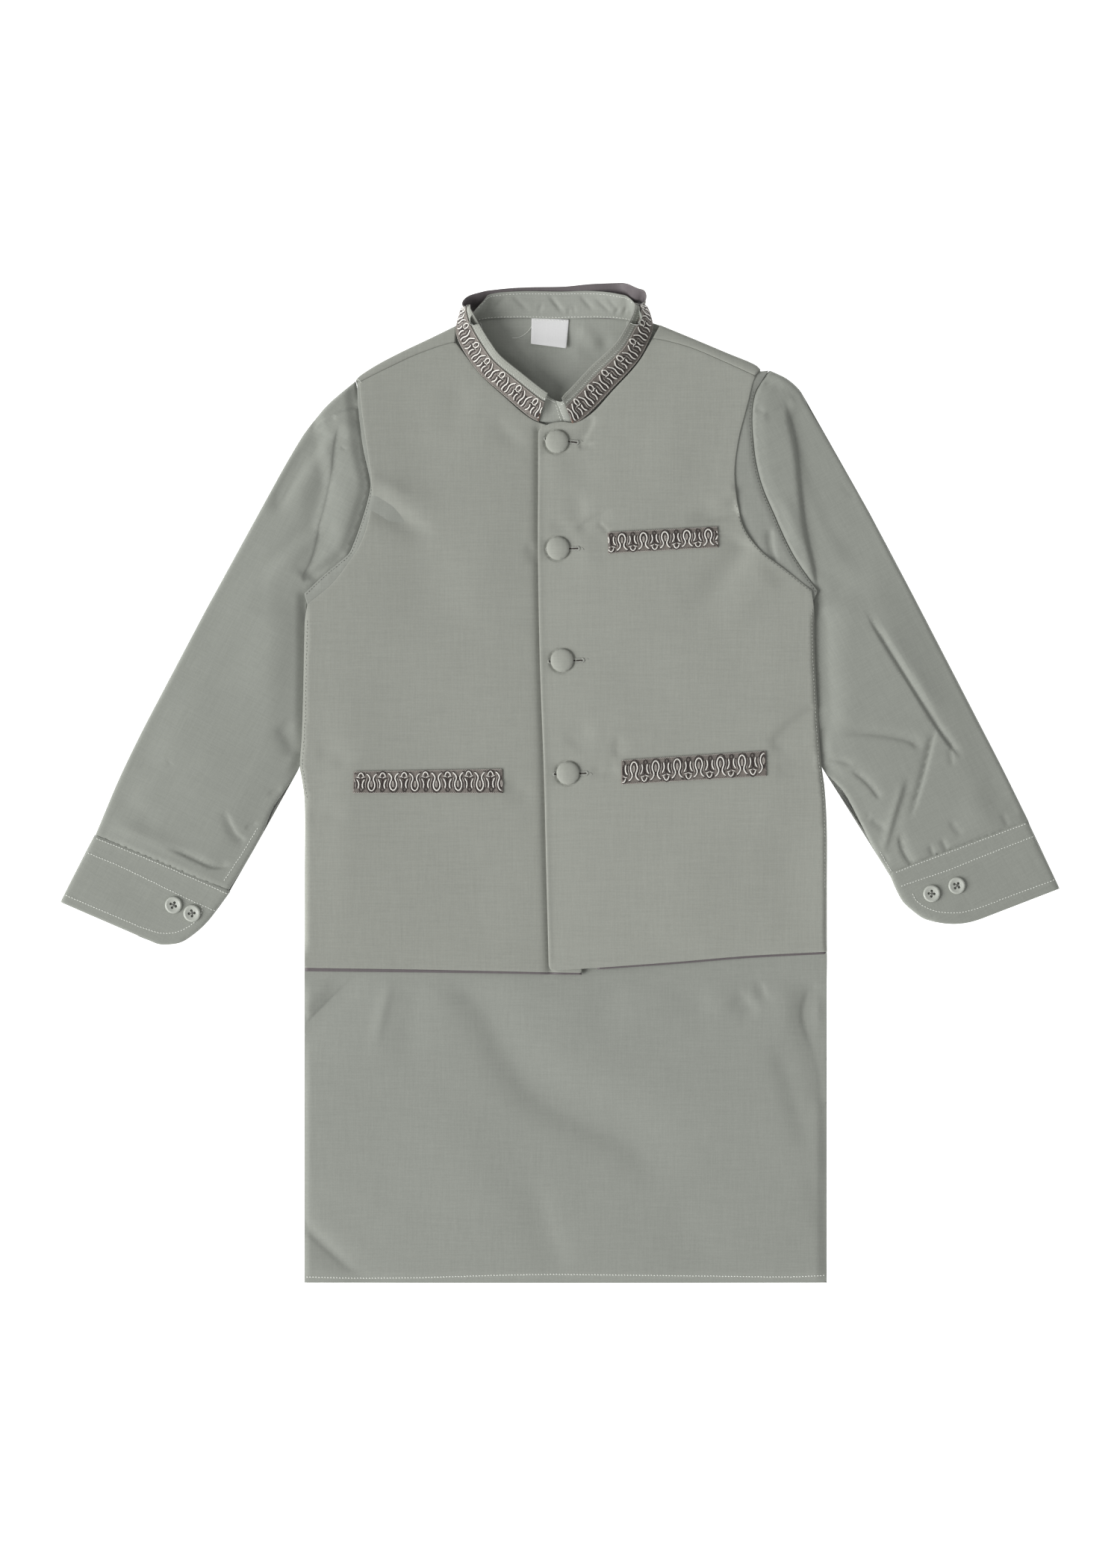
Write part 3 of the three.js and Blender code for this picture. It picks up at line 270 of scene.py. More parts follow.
def triangulate(segments, step, rings, grid, regions=(), extra=None, holes=()):
    """Plan mesh of an outline given as smooth segments that meet at corners.
    Returns points, triangles, boundary order flag and the segment of each
    boundary point."""
    loops, seg_of = [], []
    loop, which = [], []
    for k, seg in enumerate(segments):
        c = catmull(seg, step)
        loop.append(c[:-1])
        which += [k] * (len(c) - 1)
    loop = np.vstack(loop)
    which = np.array(which)
    area = 0.5 * np.sum(loop[:, 0] * np.roll(loop[:, 1], -1) - np.roll(loop[:, 0], -1) * loop[:, 1])
    if area < 0:
        loop = loop[::-1]
        which = which[::-1]
    all_loops = [loop] + [np.asarray(h, float) for h in holes]
    bound = np.vstack(all_loops)
    edges, start = [], 0
    for lp in all_loops:
        n = len(lp)
        edges += [(start + i, start + (i + 1) % n) for i in range(n)]
        start += n
    nb = len(bound)

    ring_pts = []
    for lp, sign in zip(all_loops, [1] + [-1] * len(holes)):
        a = 0.5 * np.sum(lp[:, 0] * np.roll(lp[:, 1], -1) - np.roll(lp[:, 0], -1) * lp[:, 1])
        t = np.roll(lp, -1, axis=0) - np.roll(lp, 1, axis=0)
        t /= np.maximum(np.linalg.norm(t, axis=1), 1e-9)[:, None]
        inward = np.stack([-t[:, 1], t[:, 0]], 1) * (1 if a > 0 else -1) * sign
        for r in rings:
            ring_pts.append((lp + inward * r, r))
    lo, hi = loop.min(0), loop.max(0)
    cand = [p for p, _ in ring_pts]
    need = [np.full(len(p), r * 0.86) for p, r in ring_pts]
    last = max(rings) if len(rings) else 0
    if extra is not None and len(extra):
        cand.append(extra)
        need.append(np.full(len(extra), last + 0.5))
    fine_boxes = []
    for blo, bhi, spacing in regions:
        blo, bhi = np.asarray(blo, float), np.asarray(bhi, float)
        fine_boxes.append((blo, bhi))
        pts = lattice(np.maximum(blo, lo), np.minimum(bhi, hi), spacing)
        cand.append(pts)
        need.append(np.full(len(pts), last + 0.5 * spacing))
    pts = lattice(lo, hi, grid)
    for blo, bhi in fine_boxes:
        out = (pts[:, 0] < blo[0]) | (pts[:, 0] > bhi[0]) | (pts[:, 1] < blo[1]) | (pts[:, 1] > bhi[1])
        pts = pts[out]
    cand.append(pts)
    need.append(np.full(len(pts), last + 0.45 * grid))
    cand, need = np.vstack(cand), np.concatenate(need)
    ok = inside(loop, cand[:, 0], cand[:, 1])
    for h in holes:
        ok &= ~inside(np.asarray(h, float), cand[:, 0], cand[:, 1])
    cand, need = cand[ok], need[ok]
    dist = np.full(len(cand), 1e9)
    for lp in all_loops:
        closed = np.vstack([lp, lp[:1]])
        d, _, _ = nearest(closed, cand[:, 0], cand[:, 1])
        dist = np.minimum(dist, d)
    cand = cand[dist > need]
    ring_count = sum(len(p) for p, _ in ring_pts)
    if extra is not None and len(extra):
        keep = min(len(cand), ring_count)
        cand = thin(cand, keep, 0.55)
    every = np.vstack([bound, cand])
    res = delaunay_2d_cdt([Vector(p) for p in every.tolist()], edges, [], 4 if holes else 1, 1e-7, True)
    verts = np.array([tuple(v) for v in res[0]])
    tris = np.array([f for f in res[2] if len(f) == 3], int)
    src = np.array([o[0] if len(o) else -1 for o in res[3]])
    on_edge = (src >= 0) & (src < nb)
    seg = np.full(len(verts), -1)
    m = on_edge & (src < len(which))
    seg[m] = which[src[m]]
    used = np.zeros(len(verts), bool)
    used[tris.ravel()] = True
    remap = np.cumsum(used) - 1
    verts, on_edge, seg, src = verts[used], on_edge[used], seg[used], src[used]
    tris = remap[tris]
    p, q, r = verts[tris[:, 0]], verts[tris[:, 1]], verts[tris[:, 2]]
    cw = (q[:, 0] - p[:, 0]) * (r[:, 1] - p[:, 1]) - (q[:, 1] - p[:, 1]) * (r[:, 0] - p[:, 0]) < 0
    tris[cw] = tris[cw][:, ::-1]
    dist = np.full(len(verts), 1e9)
    for lp in all_loops:
        closed = np.vstack([lp, lp[:1]])
        d, _, _ = nearest(closed, verts[:, 0], verts[:, 1])
        dist = np.minimum(dist, d)
    dist[on_edge] = 0
    return verts, tris, on_edge, seg, dist, src


def panel(bag, segments, top, wall, step=1.6, grid=1.9, regions=(), extra=None, holes=(), mat=0, rings=(0.1, 0.32)):
    """A closed thin panel: top(x, y) is its upper surface, its edge is round."""
    rings = tuple(rings) + (wall / 2,)
    v, t, edge, seg, dist, _ = triangulate(segments, step, rings, grid, regions, extra, holes)
    r = wall / 2
    f = np.sqrt(np.maximum(0, 1 - (1 - np.clip(dist / r, 0, 1)) ** 2))
    z = top(v[:, 0], v[:, 1])
    mid = z - r
    up = np.column_stack([v, mid + r * f])
    low = np.column_stack([v, mid - r * f])
    up[edge, 2] = mid[edge]
    n = len(v)
    low_index = np.full(n, -1)
    low_index[~edge] = n + np.arange((~edge).sum())
    low_index[edge] = np.nonzero(edge)[0]
    t = t[~(edge[t].all(1))]
    bag.add(np.vstack([up, low[~edge]]), [t, low_index[t][:, ::-1]], mat)


def tube(bag, points, radius, sides=6, mat=0, close=False, flat=1.0, up=None):
    """Round thread along points; radius may vary. Ends taper shut."""
    p = np.asarray(points, float)
    n = len(p)
    r = np.broadcast_to(np.asarray(radius, float), (n,)).copy()
    if close:
        t = np.roll(p, -1, axis=0) - np.roll(p, 1, axis=0)
    else:
        t = np.gradient(p, axis=0)
    t /= np.maximum(np.linalg.norm(t, axis=1), 1e-9)[:, None]
    if up is None:
        up = np.array([0.0, 0.0, 1.0])
    ups = np.broadcast_to(np.asarray(up, float), (n, 3))
    side = np.cross(t, ups)
    bad = np.linalg.norm(side, axis=1) < 1e-3
    side[bad] = np.cross(t[bad], [1.0, 0.1, 0.0])
    side /= np.linalg.norm(side, axis=1)[:, None]
    nrm = np.cross(side, t)
    a = np.arange(sides) / sides * 2 * np.pi
    ring = side[:, None, :] * np.cos(a)[None, :, None] + nrm[:, None, :] * np.sin(a)[None, :, None] * flat
    v = p[:, None, :] + ring * r[:, None, None]
    v = v.reshape(-1, 3)
    i = np.arange(n if close else n - 1)[:, None]
    j = np.arange(sides)[None, :]
    k = (j + 1) % sides
    i2 = (i + 1) % n
    quads = np.stack([i * sides + j, i * sides + k, i2 * sides + k, i2 * sides + j], -1).reshape(-1, 4)
    faces = [quads[:, ::-1]]
    if not close:
        v = np.vstack([v, p[0] - t[0] * r[0] * 0.5, p[-1] + t[-1] * r[-1] * 0.5])
        c0, c1 = n * sides, n * sides + 1
        j = np.arange(sides)
        k = (j + 1) % sides
        faces.append(np.stack([np.full(sides, c0), k, j], 1)[:, ::-1])
        base = (n - 1) * sides
        faces.append(np.stack([np.full(sides, c1), base + j, base + k], 1)[:, ::-1])
    bag.add(v, faces, mat)


def stitches(bag, c, t, nrm, length=1.5, radius=0.24, mat=0, sides=5):
    """One small raised thread at each centre c, along t, on a surface with normal nrm."""
    c, t, nrm = (np.asarray(q, float) for q in (c, t, nrm))
    t = t / np.maximum(np.linalg.norm(t, axis=1), 1e-9)[:, None]
    side = np.cross(t, nrm)
    side /= np.maximum(np.linalg.norm(side, axis=1), 1e-9)[:, None]
    nrm = np.cross(side, t)
    rings = [(-0.5, 0.35, -0.35), (-0.28, 1.0, 0.35), (0.28, 1.0, 0.35), (0.5, 0.35, -0.35)]
    a = np.arange(sides) / sides * 2 * np.pi + 0.3
    parts = []
    for along, size, lift in rings:
        centre = c + t * along * length + nrm * lift * radius
        for ang in a:
            parts.append(centre + side * math.cos(ang) * size * radius + nrm * math.sin(ang) * size * radius)
    v = np.stack(parts, 1)
    k, per = len(c), len(rings) * sides
    f = []
    for i in range(len(rings) - 1):
        for j in range(sides):
            j2 = (j + 1) % sides
            f.append((i * sides + j, i * sides + j2, (i + 1) * sides + j2, (i + 1) * sides + j))
    quads = (np.arange(k)[:, None, None] * per + np.array(f)[None]).reshape(-1, 4)[:, ::-1]
    tri = []
    for j in range(1, sides - 1):
        tri.append((0, j, j + 1))
        base = (len(rings) - 1) * sides
        tri.append((base, base + j + 1, base + j))
    tris = (np.arange(k)[:, None, None] * per + np.array(tri)[None]).reshape(-1, 3)[:, ::-1]
    bag.add(v.reshape(-1, 3), [quads, tris], mat)


def stitch_row(bag, path, surface, pitch=2.0, length=1.45, radius=0.24, mat=0, lift=0.0, wobble=0.06, seed=1):
    """A row of stitches along a plan path on surface(x, y)."""
    c = resample(np.asarray(path, float), pitch)
    mid = (c[:-1] + c[1:]) / 2
    t = c[1:] - c[:-1]
    rng = np.random.default_rng(seed)
    side = np.stack([-t[:, 1], t[:, 0]], 1) / np.maximum(np.linalg.norm(t, axis=1), 1e-9)[:, None]
    mid = mid + side * rng.normal(0, wobble, len(mid))[:, None]
    a, b = mid - t * 0.3, mid + t * 0.3
    za, zb, zm = surface(a[:, 0], a[:, 1]), surface(b[:, 0], b[:, 1]), surface(mid[:, 0], mid[:, 1])
    p = np.column_stack([mid, zm + lift])
    d = np.column_stack([b - a, zb - za])
    s3 = np.column_stack([side, np.zeros(len(side))])
    nrm = np.cross(d, -s3)
    nrm[nrm[:, 2] < 0] *= -1
    nrm /= np.linalg.norm(nrm, axis=1)[:, None]
    stitches(bag, p, d, nrm, length, radius, mat)


# ------------------------------------------------------------------- edges, px

def column(rows, key):
    return np.array([r[key] for r in rows], float)


def x_at(edge, y):
    e = edge[np.argsort(edge[:, 1])]
    return np.interp(y, e[:, 1], e[:, 0])


SHOULDER_RIGHT = [(610, 458.5), (599, 461), (560, 474.5), (520, 493), (481.5, 512)]
ARMHOLE_RIGHT = [(481.5, 512), (482.5, 530), (486.5, 566), (492, 604), (497.4, 645), (498, 669), (491.5, 705),
                 (481, 732), (466.6, 754), (445, 782), (412, 809.6)]
SIDE_RIGHT = [(412, 809.6), (408.5, 830), (407.5, 855), (406, 930), (404, 990), (401.7, 1026), (404.7, 1046),
              (407.7, 1070), (408, 1180), (408, 1296)]
HEM_RIGHT = [(408, 1296), (571, 1298.4), (729, 1301.7), (779.4, 1302.7)]
INNER_RIGHT = [(779.4, 1302.7), (772.6, 1036), (767, 884), (765, 736), (766, 577)]
NECK_RIGHT = [(766, 577), (722, 568.7), (705, 559.7), (672.4, 531.5), (643.4, 504), (624, 479.5), (610, 458.5)]

SHOULDER_LEFT = [(874, 454), (888, 456), (925, 466), (968, 484), (1012, 504)]
ARMHOLE_LEFT = [(1012, 504), (1008, 514), (1002.5, 537), (996.5, 560), (990.5, 583), (985, 617), (984, 640),
                (988, 676), (996, 707), (1019, 738), (1051.5, 763), (1087, 791)]
SIDE_LEFT = [(1087, 791), (1090, 815), (1091, 870), (1095.5, 960), (1100, 1023), (1104.4, 1056), (1107.2, 1104),
             (1107.4, 1190), (1107.4, 1274.5)]
HEM_LEFT = [(1107.4, 1274.5), (1001.8, 1280), (906, 1288), (781.8, 1297), (742, 1299.4)]
CORNER_LOW = [(742, 1299.4), (738, 1298.6), (735.6, 1295.5), (734.8, 1290)]
FRONT_EDGE = [(734.8, 1290), (731.5, 1160), (728.5, 1036), (723, 884), (720.6, 736), (720.8, 660), (721, 584)]
CORNER_TOP = [(721, 584), (721.6, 577.5), (725.5, 573.2)]
NECK_LEFT = [(725.5, 573.2), (737, 569.5), (752, 567), (772, 568), (793, 556), (822.6, 524), (855.6, 487), (874, 454)]

EDGE_RIGHT = px(ARMHOLE_RIGHT + SIDE_RIGHT[1:])
EDGE_LEFT = px(ARMHOLE_LEFT + SIDE_LEFT[1:])

SEAM_RIGHT = [(476.5, 513), (480, 550), (486.5, 601), (496, 650), (492, 672), (486, 693), (476, 722), (467, 742),
              (457, 751), (433, 771), (408, 795)]
SEAM_LEFT = [(1031, 497), (1020, 511), (1012, 524.5), (1007.5, 544), (1006.8, 562), (1007.5, 581), (1012, 620), (1021, 654),
             (1035, 687), (1057, 735), (1080, 771.5), (1095, 792)]


# -------------------------------------------------------------- layer surfaces

def side_fade(x):
    return smooth((166 - np.abs(x)) / 30)


def neck_fade(y):
    return smooth((226 - y) / 45)


def loft(x, y):
    return side_fade(x) * neck_fade(y) * LIFT


def settled(y):
    return smooth((WAISTCOAT_HEM_Y - 2.5 - y) / 20)


def side_seam_drop(x, y):
    edge = np.where(x < 0, x - x_at(EDGE_RIGHT, y), x_at(EDGE_LEFT, y) - x)
    below = smooth((118 - y) / 18) * smooth((y + 116) / 16)
    return below * (Z_WAISTCOAT_FRONT - Z_KAMEEZ_BACK) * (1 - smooth((edge + 0.3) / 2.2))


WAISTCOAT_RIGHT_CREASES = Creases([
    ([(488, 668), (505, 674), (545, 700), (590, 724)], -1.5, 6, 8, .1, .5),
    ([(492, 640), (520, 652), (560, 672)], 0.6, 5, 6, .1, .5),
    ([(530, 700), (575, 770), (610, 850), (640, 930)], -0.9, 20, 26, .4, .5),
    ([(700, 640), (640, 760), (560, 980)], 0.7, 26, 26, .4, .4),
    ([(420, 1010), (450, 1012), (470, 1030)], -0.45, 8, 5, .3, .3),
    ([(405, 1094), (430, 1090), (470, 1092)], -0.45, 6, 5, .2, .4),
    ([(676, 1050), (700, 1062), (716, 1080)], -0.5, 6, 8, .3, .5),
    ([(655, 556), (690, 590), (712, 600)], -0.6, 5, 7, .4, .5),
    ([(625, 505), (612, 540), (600, 600)], -0.5, 9, 9, .3, .6),
    ([(452, 890), (470, 1000), (460, 1160), (470, 1280)], 0.5, 20, 18, .3, .4),
    ([(600, 1100), (640, 1180), (650, 1290)], -0.45, 24, 24, .4, .3),
    ([(722, 575), (722, 660), (722, 736), (725, 884), (730, 1036), (733, 1160), (738, 1310)], -1.15, 3, 3.0, .0, .0),
    ([(704, 726), (712, 738), (716, 760)], -0.5, 3, 4, .3, .4),
    ([(500, 640), (540, 660), (600, 690)], 0.5, 9, 9, .3, .5),
    ([(560, 500), (560, 580), (590, 680)], -0.45, 18, 20, .4, .4),
], 1.5)
WAISTCOAT_LEFT_CREASES = Creases([
    # round the top button and its buttonhole
    ([(795, 556), (790, 572), (783, 585), (772, 597)], -0.6, 1.8, 3.8, .2, .3),
    ([(774, 598), (784, 597), (797, 594)], -0.6, 1.2, 2.2, .2, .5),
    ([(727, 590), (745, 620), (790, 640)], 0.5, 9, 12, .4, .5),
    ([(740, 622), (780, 632), (820, 628)], -0.45, 9, 11, .4, .5),
    # beside the chest pocket's left end
    ([(770, 712), (781, 705), (794, 696), (812, 689), (824, 688)], -0.65, 1.9, 4.2, .25, .35),
    ([(800, 699), (808, 706), (815, 714)], -0.35, 1.2, 2.0, .3, .1),
    ([(768, 650), (776, 690), (770, 720)], -0.5, 5, 7, .4, .4),
    ([(735, 702), (752, 706), (766, 716)], -0.35, 4, 5, .4, .4),
    # from the armhole towards the chest
    ([(990, 684), (972, 690), (945, 694), (915, 700)], -1.2, 3, 6, .05, .5),
    ([(988, 655), (970, 668), (940, 676)], 0.5, 4, 5, .1, .5),
    ([(1000, 720), (985, 752), (945, 790), (900, 812)], -1.3, 8, 10, .1, .6),
    ([(1040, 765), (1000, 800), (960, 850)], 0.8, 10, 12, .2, .6),
    ([(975, 570), (940, 640), (860, 690)], -0.5, 16, 20, .4, .5),
    ([(880, 520), (900, 600), (870, 670)], 0.6, 22, 22, .4, .4),
    # side and lower pocket
    ([(1096, 945), (1078, 958), (1056, 975), (1028, 1004)], -0.8, 14, 3.5, .1, .2),
    ([(1099, 985), (1075, 1000), (1040, 1012)], 0.25, 5, 5, .2, .3),
    ([(1100, 1020), (1070, 1026), (1034, 1034)], -0.5, 5, 7, .2, .3),
    ([(834, 985), (826, 1000), (829, 1014)], -0.4, 5, 3, .4, .1),
    ([(790, 1030), (812, 1034), (828, 1030)], -0.4, 4, 4, .3, .2),
    ([(760, 880), (850, 900), (930, 960)], -0.45, 20, 22, .5, .5),
    ([(1040, 1080), (1052, 1160), (1046, 1268)], -0.5, 18, 16, .3, .3),
    ([(900, 1100), (920, 1190), (900, 1285)], 0.5, 26, 26, .4, .3),
    ([(724, 590), (722.6, 660), (722.6, 736), (725.2, 884), (731, 1036), (737, 1294)], 0.2, 1.3, 1.3, .02, .02),
    # soft hollows round the buttons
    ([(738, 574), (733, 592), (740, 608)], -0.45, 3, 4, .3, .3),
    ([(736, 716), (733, 735), (740, 752)], -0.45, 3, 4, .3, .3),
    ([(742, 866), (739, 885), (746, 902)], -0.4, 3, 4, .3, .3),
    ([(750, 1016), (746, 1036), (753, 1054)], -0.4, 3, 4, .3, .3),
    ([(770, 705), (785, 735), (800, 770)], 0.4, 8, 8, .4, .4),
    ([(760, 1000), (775, 985), (800, 975)], -0.5, 6, 8, .3, .5),
], 1.5)


def waistcoat_base(x, y):
    return (Z_WAISTCOAT_FRONT + WAISTCOAT_WALL + loft(x, np.maximum(y, WAISTCOAT_HEM_Y)) * 0.5
            - side_seam_drop(x, y))


def front_right_top(x, y):
    z = waistcoat_base(x, y) + PLACKET_STEP * smooth((x + 100) / 84)
    return z + WAISTCOAT_RIGHT_CREASES(x, y) * smooth((x + 172) / 10)


BUTTON_PLACES = px([(745.8, 592.3), (747.2, 735), (752.7, 884.7), (760.6, 1035.5)])


def button_ring(x, y):
    z = np.zeros(np.shape(x))
    for c in BUTTON_PLACES:
        r = np.hypot(x - c[0], y - c[1])
        z = z - 0.75 * np.exp(-((r - 7.7) / 0.8) ** 2) * (r < 11)
    return z


def button_ring_points():
    out = []
    for c in BUTTON_PLACES:
        for r in (6.6, 7.2, 7.7, 8.2, 8.8, 9.6):
            a = np.arange(64) / 64 * 2 * np.pi + r
            out.append(np.stack([c[0] + r * np.cos(a), c[1] + r * np.sin(a)], 1))
    return np.vstack(out)


def front_left_top(x, y):
    z = waistcoat_base(x, y) + button_ring(x, y) + (PLACKET_STEP + OVERLAP_STEP) * (1 - smooth((x - 10) / 130))
    return z + WAISTCOAT_LEFT_CREASES(x, y) * smooth((178 - x) / 8)


KAMEEZ_CREASES = Creases([
    # turned-over corner under the waistcoat's hem, wearer's right
    ([(520, 1262), (486, 1293), (470, 1312), (440, 1342), (404, 1378), (330, 1452)], -1.1, 6.0, 0.9, .02, .02),
    ([(520, 1262), (486, 1293), (470, 1312), (440, 1342), (404, 1378), (330, 1452)], -1.3, 26.0, 8.0, .02, .02),
    ([(440, 1296), (425, 1330), (404, 1356)], 0.6, 6, 6, .1, .1),
    ([(528, 1300), (515, 1345), (500, 1420)], 0.55, 3.6, 4.5, .1, .5),
    ([(560, 1300), (548, 1380), (552, 1450)], -0.45, 12, 9, .3, .5),
    # the long soft trough across the skirt
    ([(600, 1292), (650, 1350), (684, 1412), (724, 1462), (792, 1500), (842, 1524), (912, 1600)], -1.5, 26, 13, .12, .3),
    ([(640, 1300), (720, 1400), (800, 1440), (960, 1500)], 0.55, 22, 20, .2, .4),
    ([(520, 1480), (620, 1560), (700, 1690)], 0.6, 26, 30, .4, .4),
    ([(700, 1560), (730, 1640), (756, 1716)], -0.5, 9, 12, .4, .2),
    ([(880, 1600), (930, 1660), (950, 1716)], -0.4, 18, 18, .4, .3),
    # lower corner, wearer's right
    ([(340, 1580), (405, 1640), (440, 1672), (470, 1698), (500, 1712)], -0.7, 4, 2.4, .1, .4),
    ([(340, 1580), (405, 1640), (440, 1672), (480, 1700), (540, 1740)], -0.9, 24, 9, .1, .4),
    ([(405, 1600), (450, 1650), (520, 1690)], 0.35, 10, 9, .3, .4),
    # wearer's left: gathers under the hem and the fold at the side
    ([(1003, 1283), (1016, 1312), (1030, 1350)], -0.8, 2.2, 4.5, .1, .5),
    ([(985, 1322), (1000, 1345), (1018, 1362)], -0.7, 4, 9, .4, .4),
    ([(946, 1318), (962, 1336), (990, 1350)], 0.2, 9, 9, .4, .4),
    ([(1040, 1290), (1052, 1340), (1050, 1390)], 0.35, 9, 8, .2, .4),
    ([(1100, 1308), (1082, 1336), (1078, 1362), (1092, 1404), (1104, 1452), (1110, 1490)], -0.9, 8.0, 2.6, .12, .15),
    ([(1100, 1308), (1082, 1336), (1078, 1362), (1092, 1404), (1104, 1452), (1110, 1490)], -1.0, 16, 9.0, .12, .15),
    ([(1036, 1385), (1052, 1424), (1074, 1500), (1090, 1560)], -0.8, 24, 8, .25, .4),
    ([(1088, 1560), (1100, 1620), (1108, 1660)], -0.4, 8, 8, .3, .3),
    ([(830, 1290), (812, 1350), (806, 1420)], -0.4, 12, 14, .3, .5),
    ([(890, 1300), (930, 1340), (960, 1390)], -0.4, 10, 12, .3, .5),
    # wearer's left strip beside the armhole
    ([(1031, 706), (1032, 726), (1037.5, 753)], -0.9, 1.7, 2.6, .25, .1),
    ([(1010, 560), (1014, 600), (1020, 640)], 0.25, 3, 3, .3, .3),
    # wearer's right, below the armhole
    ([(463, 742), (447, 756), (426, 769), (405, 778)], -0.6, 1.6, 2.2, .15, .1),
], 1.6)


def kameez_back_top(x, y):
    z = Z_KAMEEZ_BACK * (1 - settled(y)) + KAMEEZ_WALL
    neck = smooth((y - 290) / 13) * smooth((62 - np.abs(x + 3.5)) / 7)
    return z + 1.45 * neck + NECK_CREASES(x, y)


NECK_CREASES = Creases([
    ([(655, 452), (690, 462), (712, 480), (735, 510)], 0.7, 5, 7, .3, .4),
    ([(770, 470), (800, 468), (822, 452)], -0.5, 5, 6, .4, .3),
    ([(770, 440), (790, 452), (800, 480)], 0.4, 5, 6, .3, .4),
    ([(662, 442), (690, 470), (725, 492)], -0.3, 7, 4, .3, .4),
    ([(700, 498), (740, 480), (790, 478)], -0.3, 6, 5, .3, .4),
    ([(668, 462), (700, 486), (722, 514)], 0.6, 5, 5, .3, .4),
], 2.6)


def kameez_front_top(x, y):
    s = settled(y)
    z = Z_KAMEEZ_BACK * (1 - s) + KAMEEZ_WALL + 0.3 + KAMEEZ_WALL
    end = smooth((y + 327.6) / 8)
    side = np.where(x < 0, 0.45 + 0.55 * smooth((x + 167.6) / 3.0), 0.25 + 0.75 * smooth((175.3 - x) / 7))
    z = z + s * 2.4 * (0.25 + 0.75 * end) * side
    arm = smooth((y - 122) / 10) * smooth((272 - y) / 8)
    edge = np.where(x < 0, x - x_at(px(SEAM_RIGHT), y), x_at(px(SEAM_LEFT), y) - x)
    z = z + arm * 1.1 * smooth(edge / 3.5) * (1 - smooth((edge - 16) / 14))
    visible = np.maximum(s, arm * (1 - smooth((edge - 22) / 12)))
    z = z + KAMEEZ_CREASES(x, y) * visible
    # never down through the back panel
    low = Z_KAMEEZ_BACK * (1 - s) + 2 * KAMEEZ_WALL + 0.12
    d = z - low
    return low + np.where(d > 0.7, d, 0.7 * np.exp(np.minimum(d - 0.7, 0) / 0.7))


# ------------------------------------------------------------------- materials

def new_material(name):
    m = bpy.data.materials.new(name)
    m.use_nodes = True
    nt = m.node_tree
    nt.nodes.clear()
    out = nt.nodes.new("ShaderNodeOutputMaterial")
    bsdf = nt.nodes.new("ShaderNodeBsdfPrincipled")
    nt.links.new(bsdf.outputs["BSDF"], out.inputs["Surface"])
    return m, nt, bsdf


def node(nt, kind, **values):
    n = nt.nodes.new(kind)
    for k, v in values.items():
        if k in n.inputs:
            n.inputs[k].default_value = v
        else:
            setattr(n, k, v)
    return n


def math_node(nt, op, a, b=None):
    n = nt.nodes.new("ShaderNodeMath")
    n.operation = op
    for i, v in enumerate((a, b)):
        if v is None:
            continue
        if isinstance(v, (int, float)):
            n.inputs[i].default_value = v
        else:
            nt.links.new(v, n.inputs[i])
    return n.outputs[0]


def stretched_noise(nt, coord, scale, detail=2.0, roughness=0.5):
    mp = nt.nodes.new("ShaderNodeMapping")
    mp.inputs["Scale"].default_value = scale
    nt.links.new(coord, mp.inputs["Vector"])
    n = nt.nodes.new("ShaderNodeTexNoise")
    n.inputs["Scale"].default_value = 1.0
    n.inputs["Detail"].default_value = detail
    n.inputs["Roughness"].default_value = roughness
    nt.links.new(mp.outputs[0], n.inputs["Vector"])
    return n.outputs["Fac"]


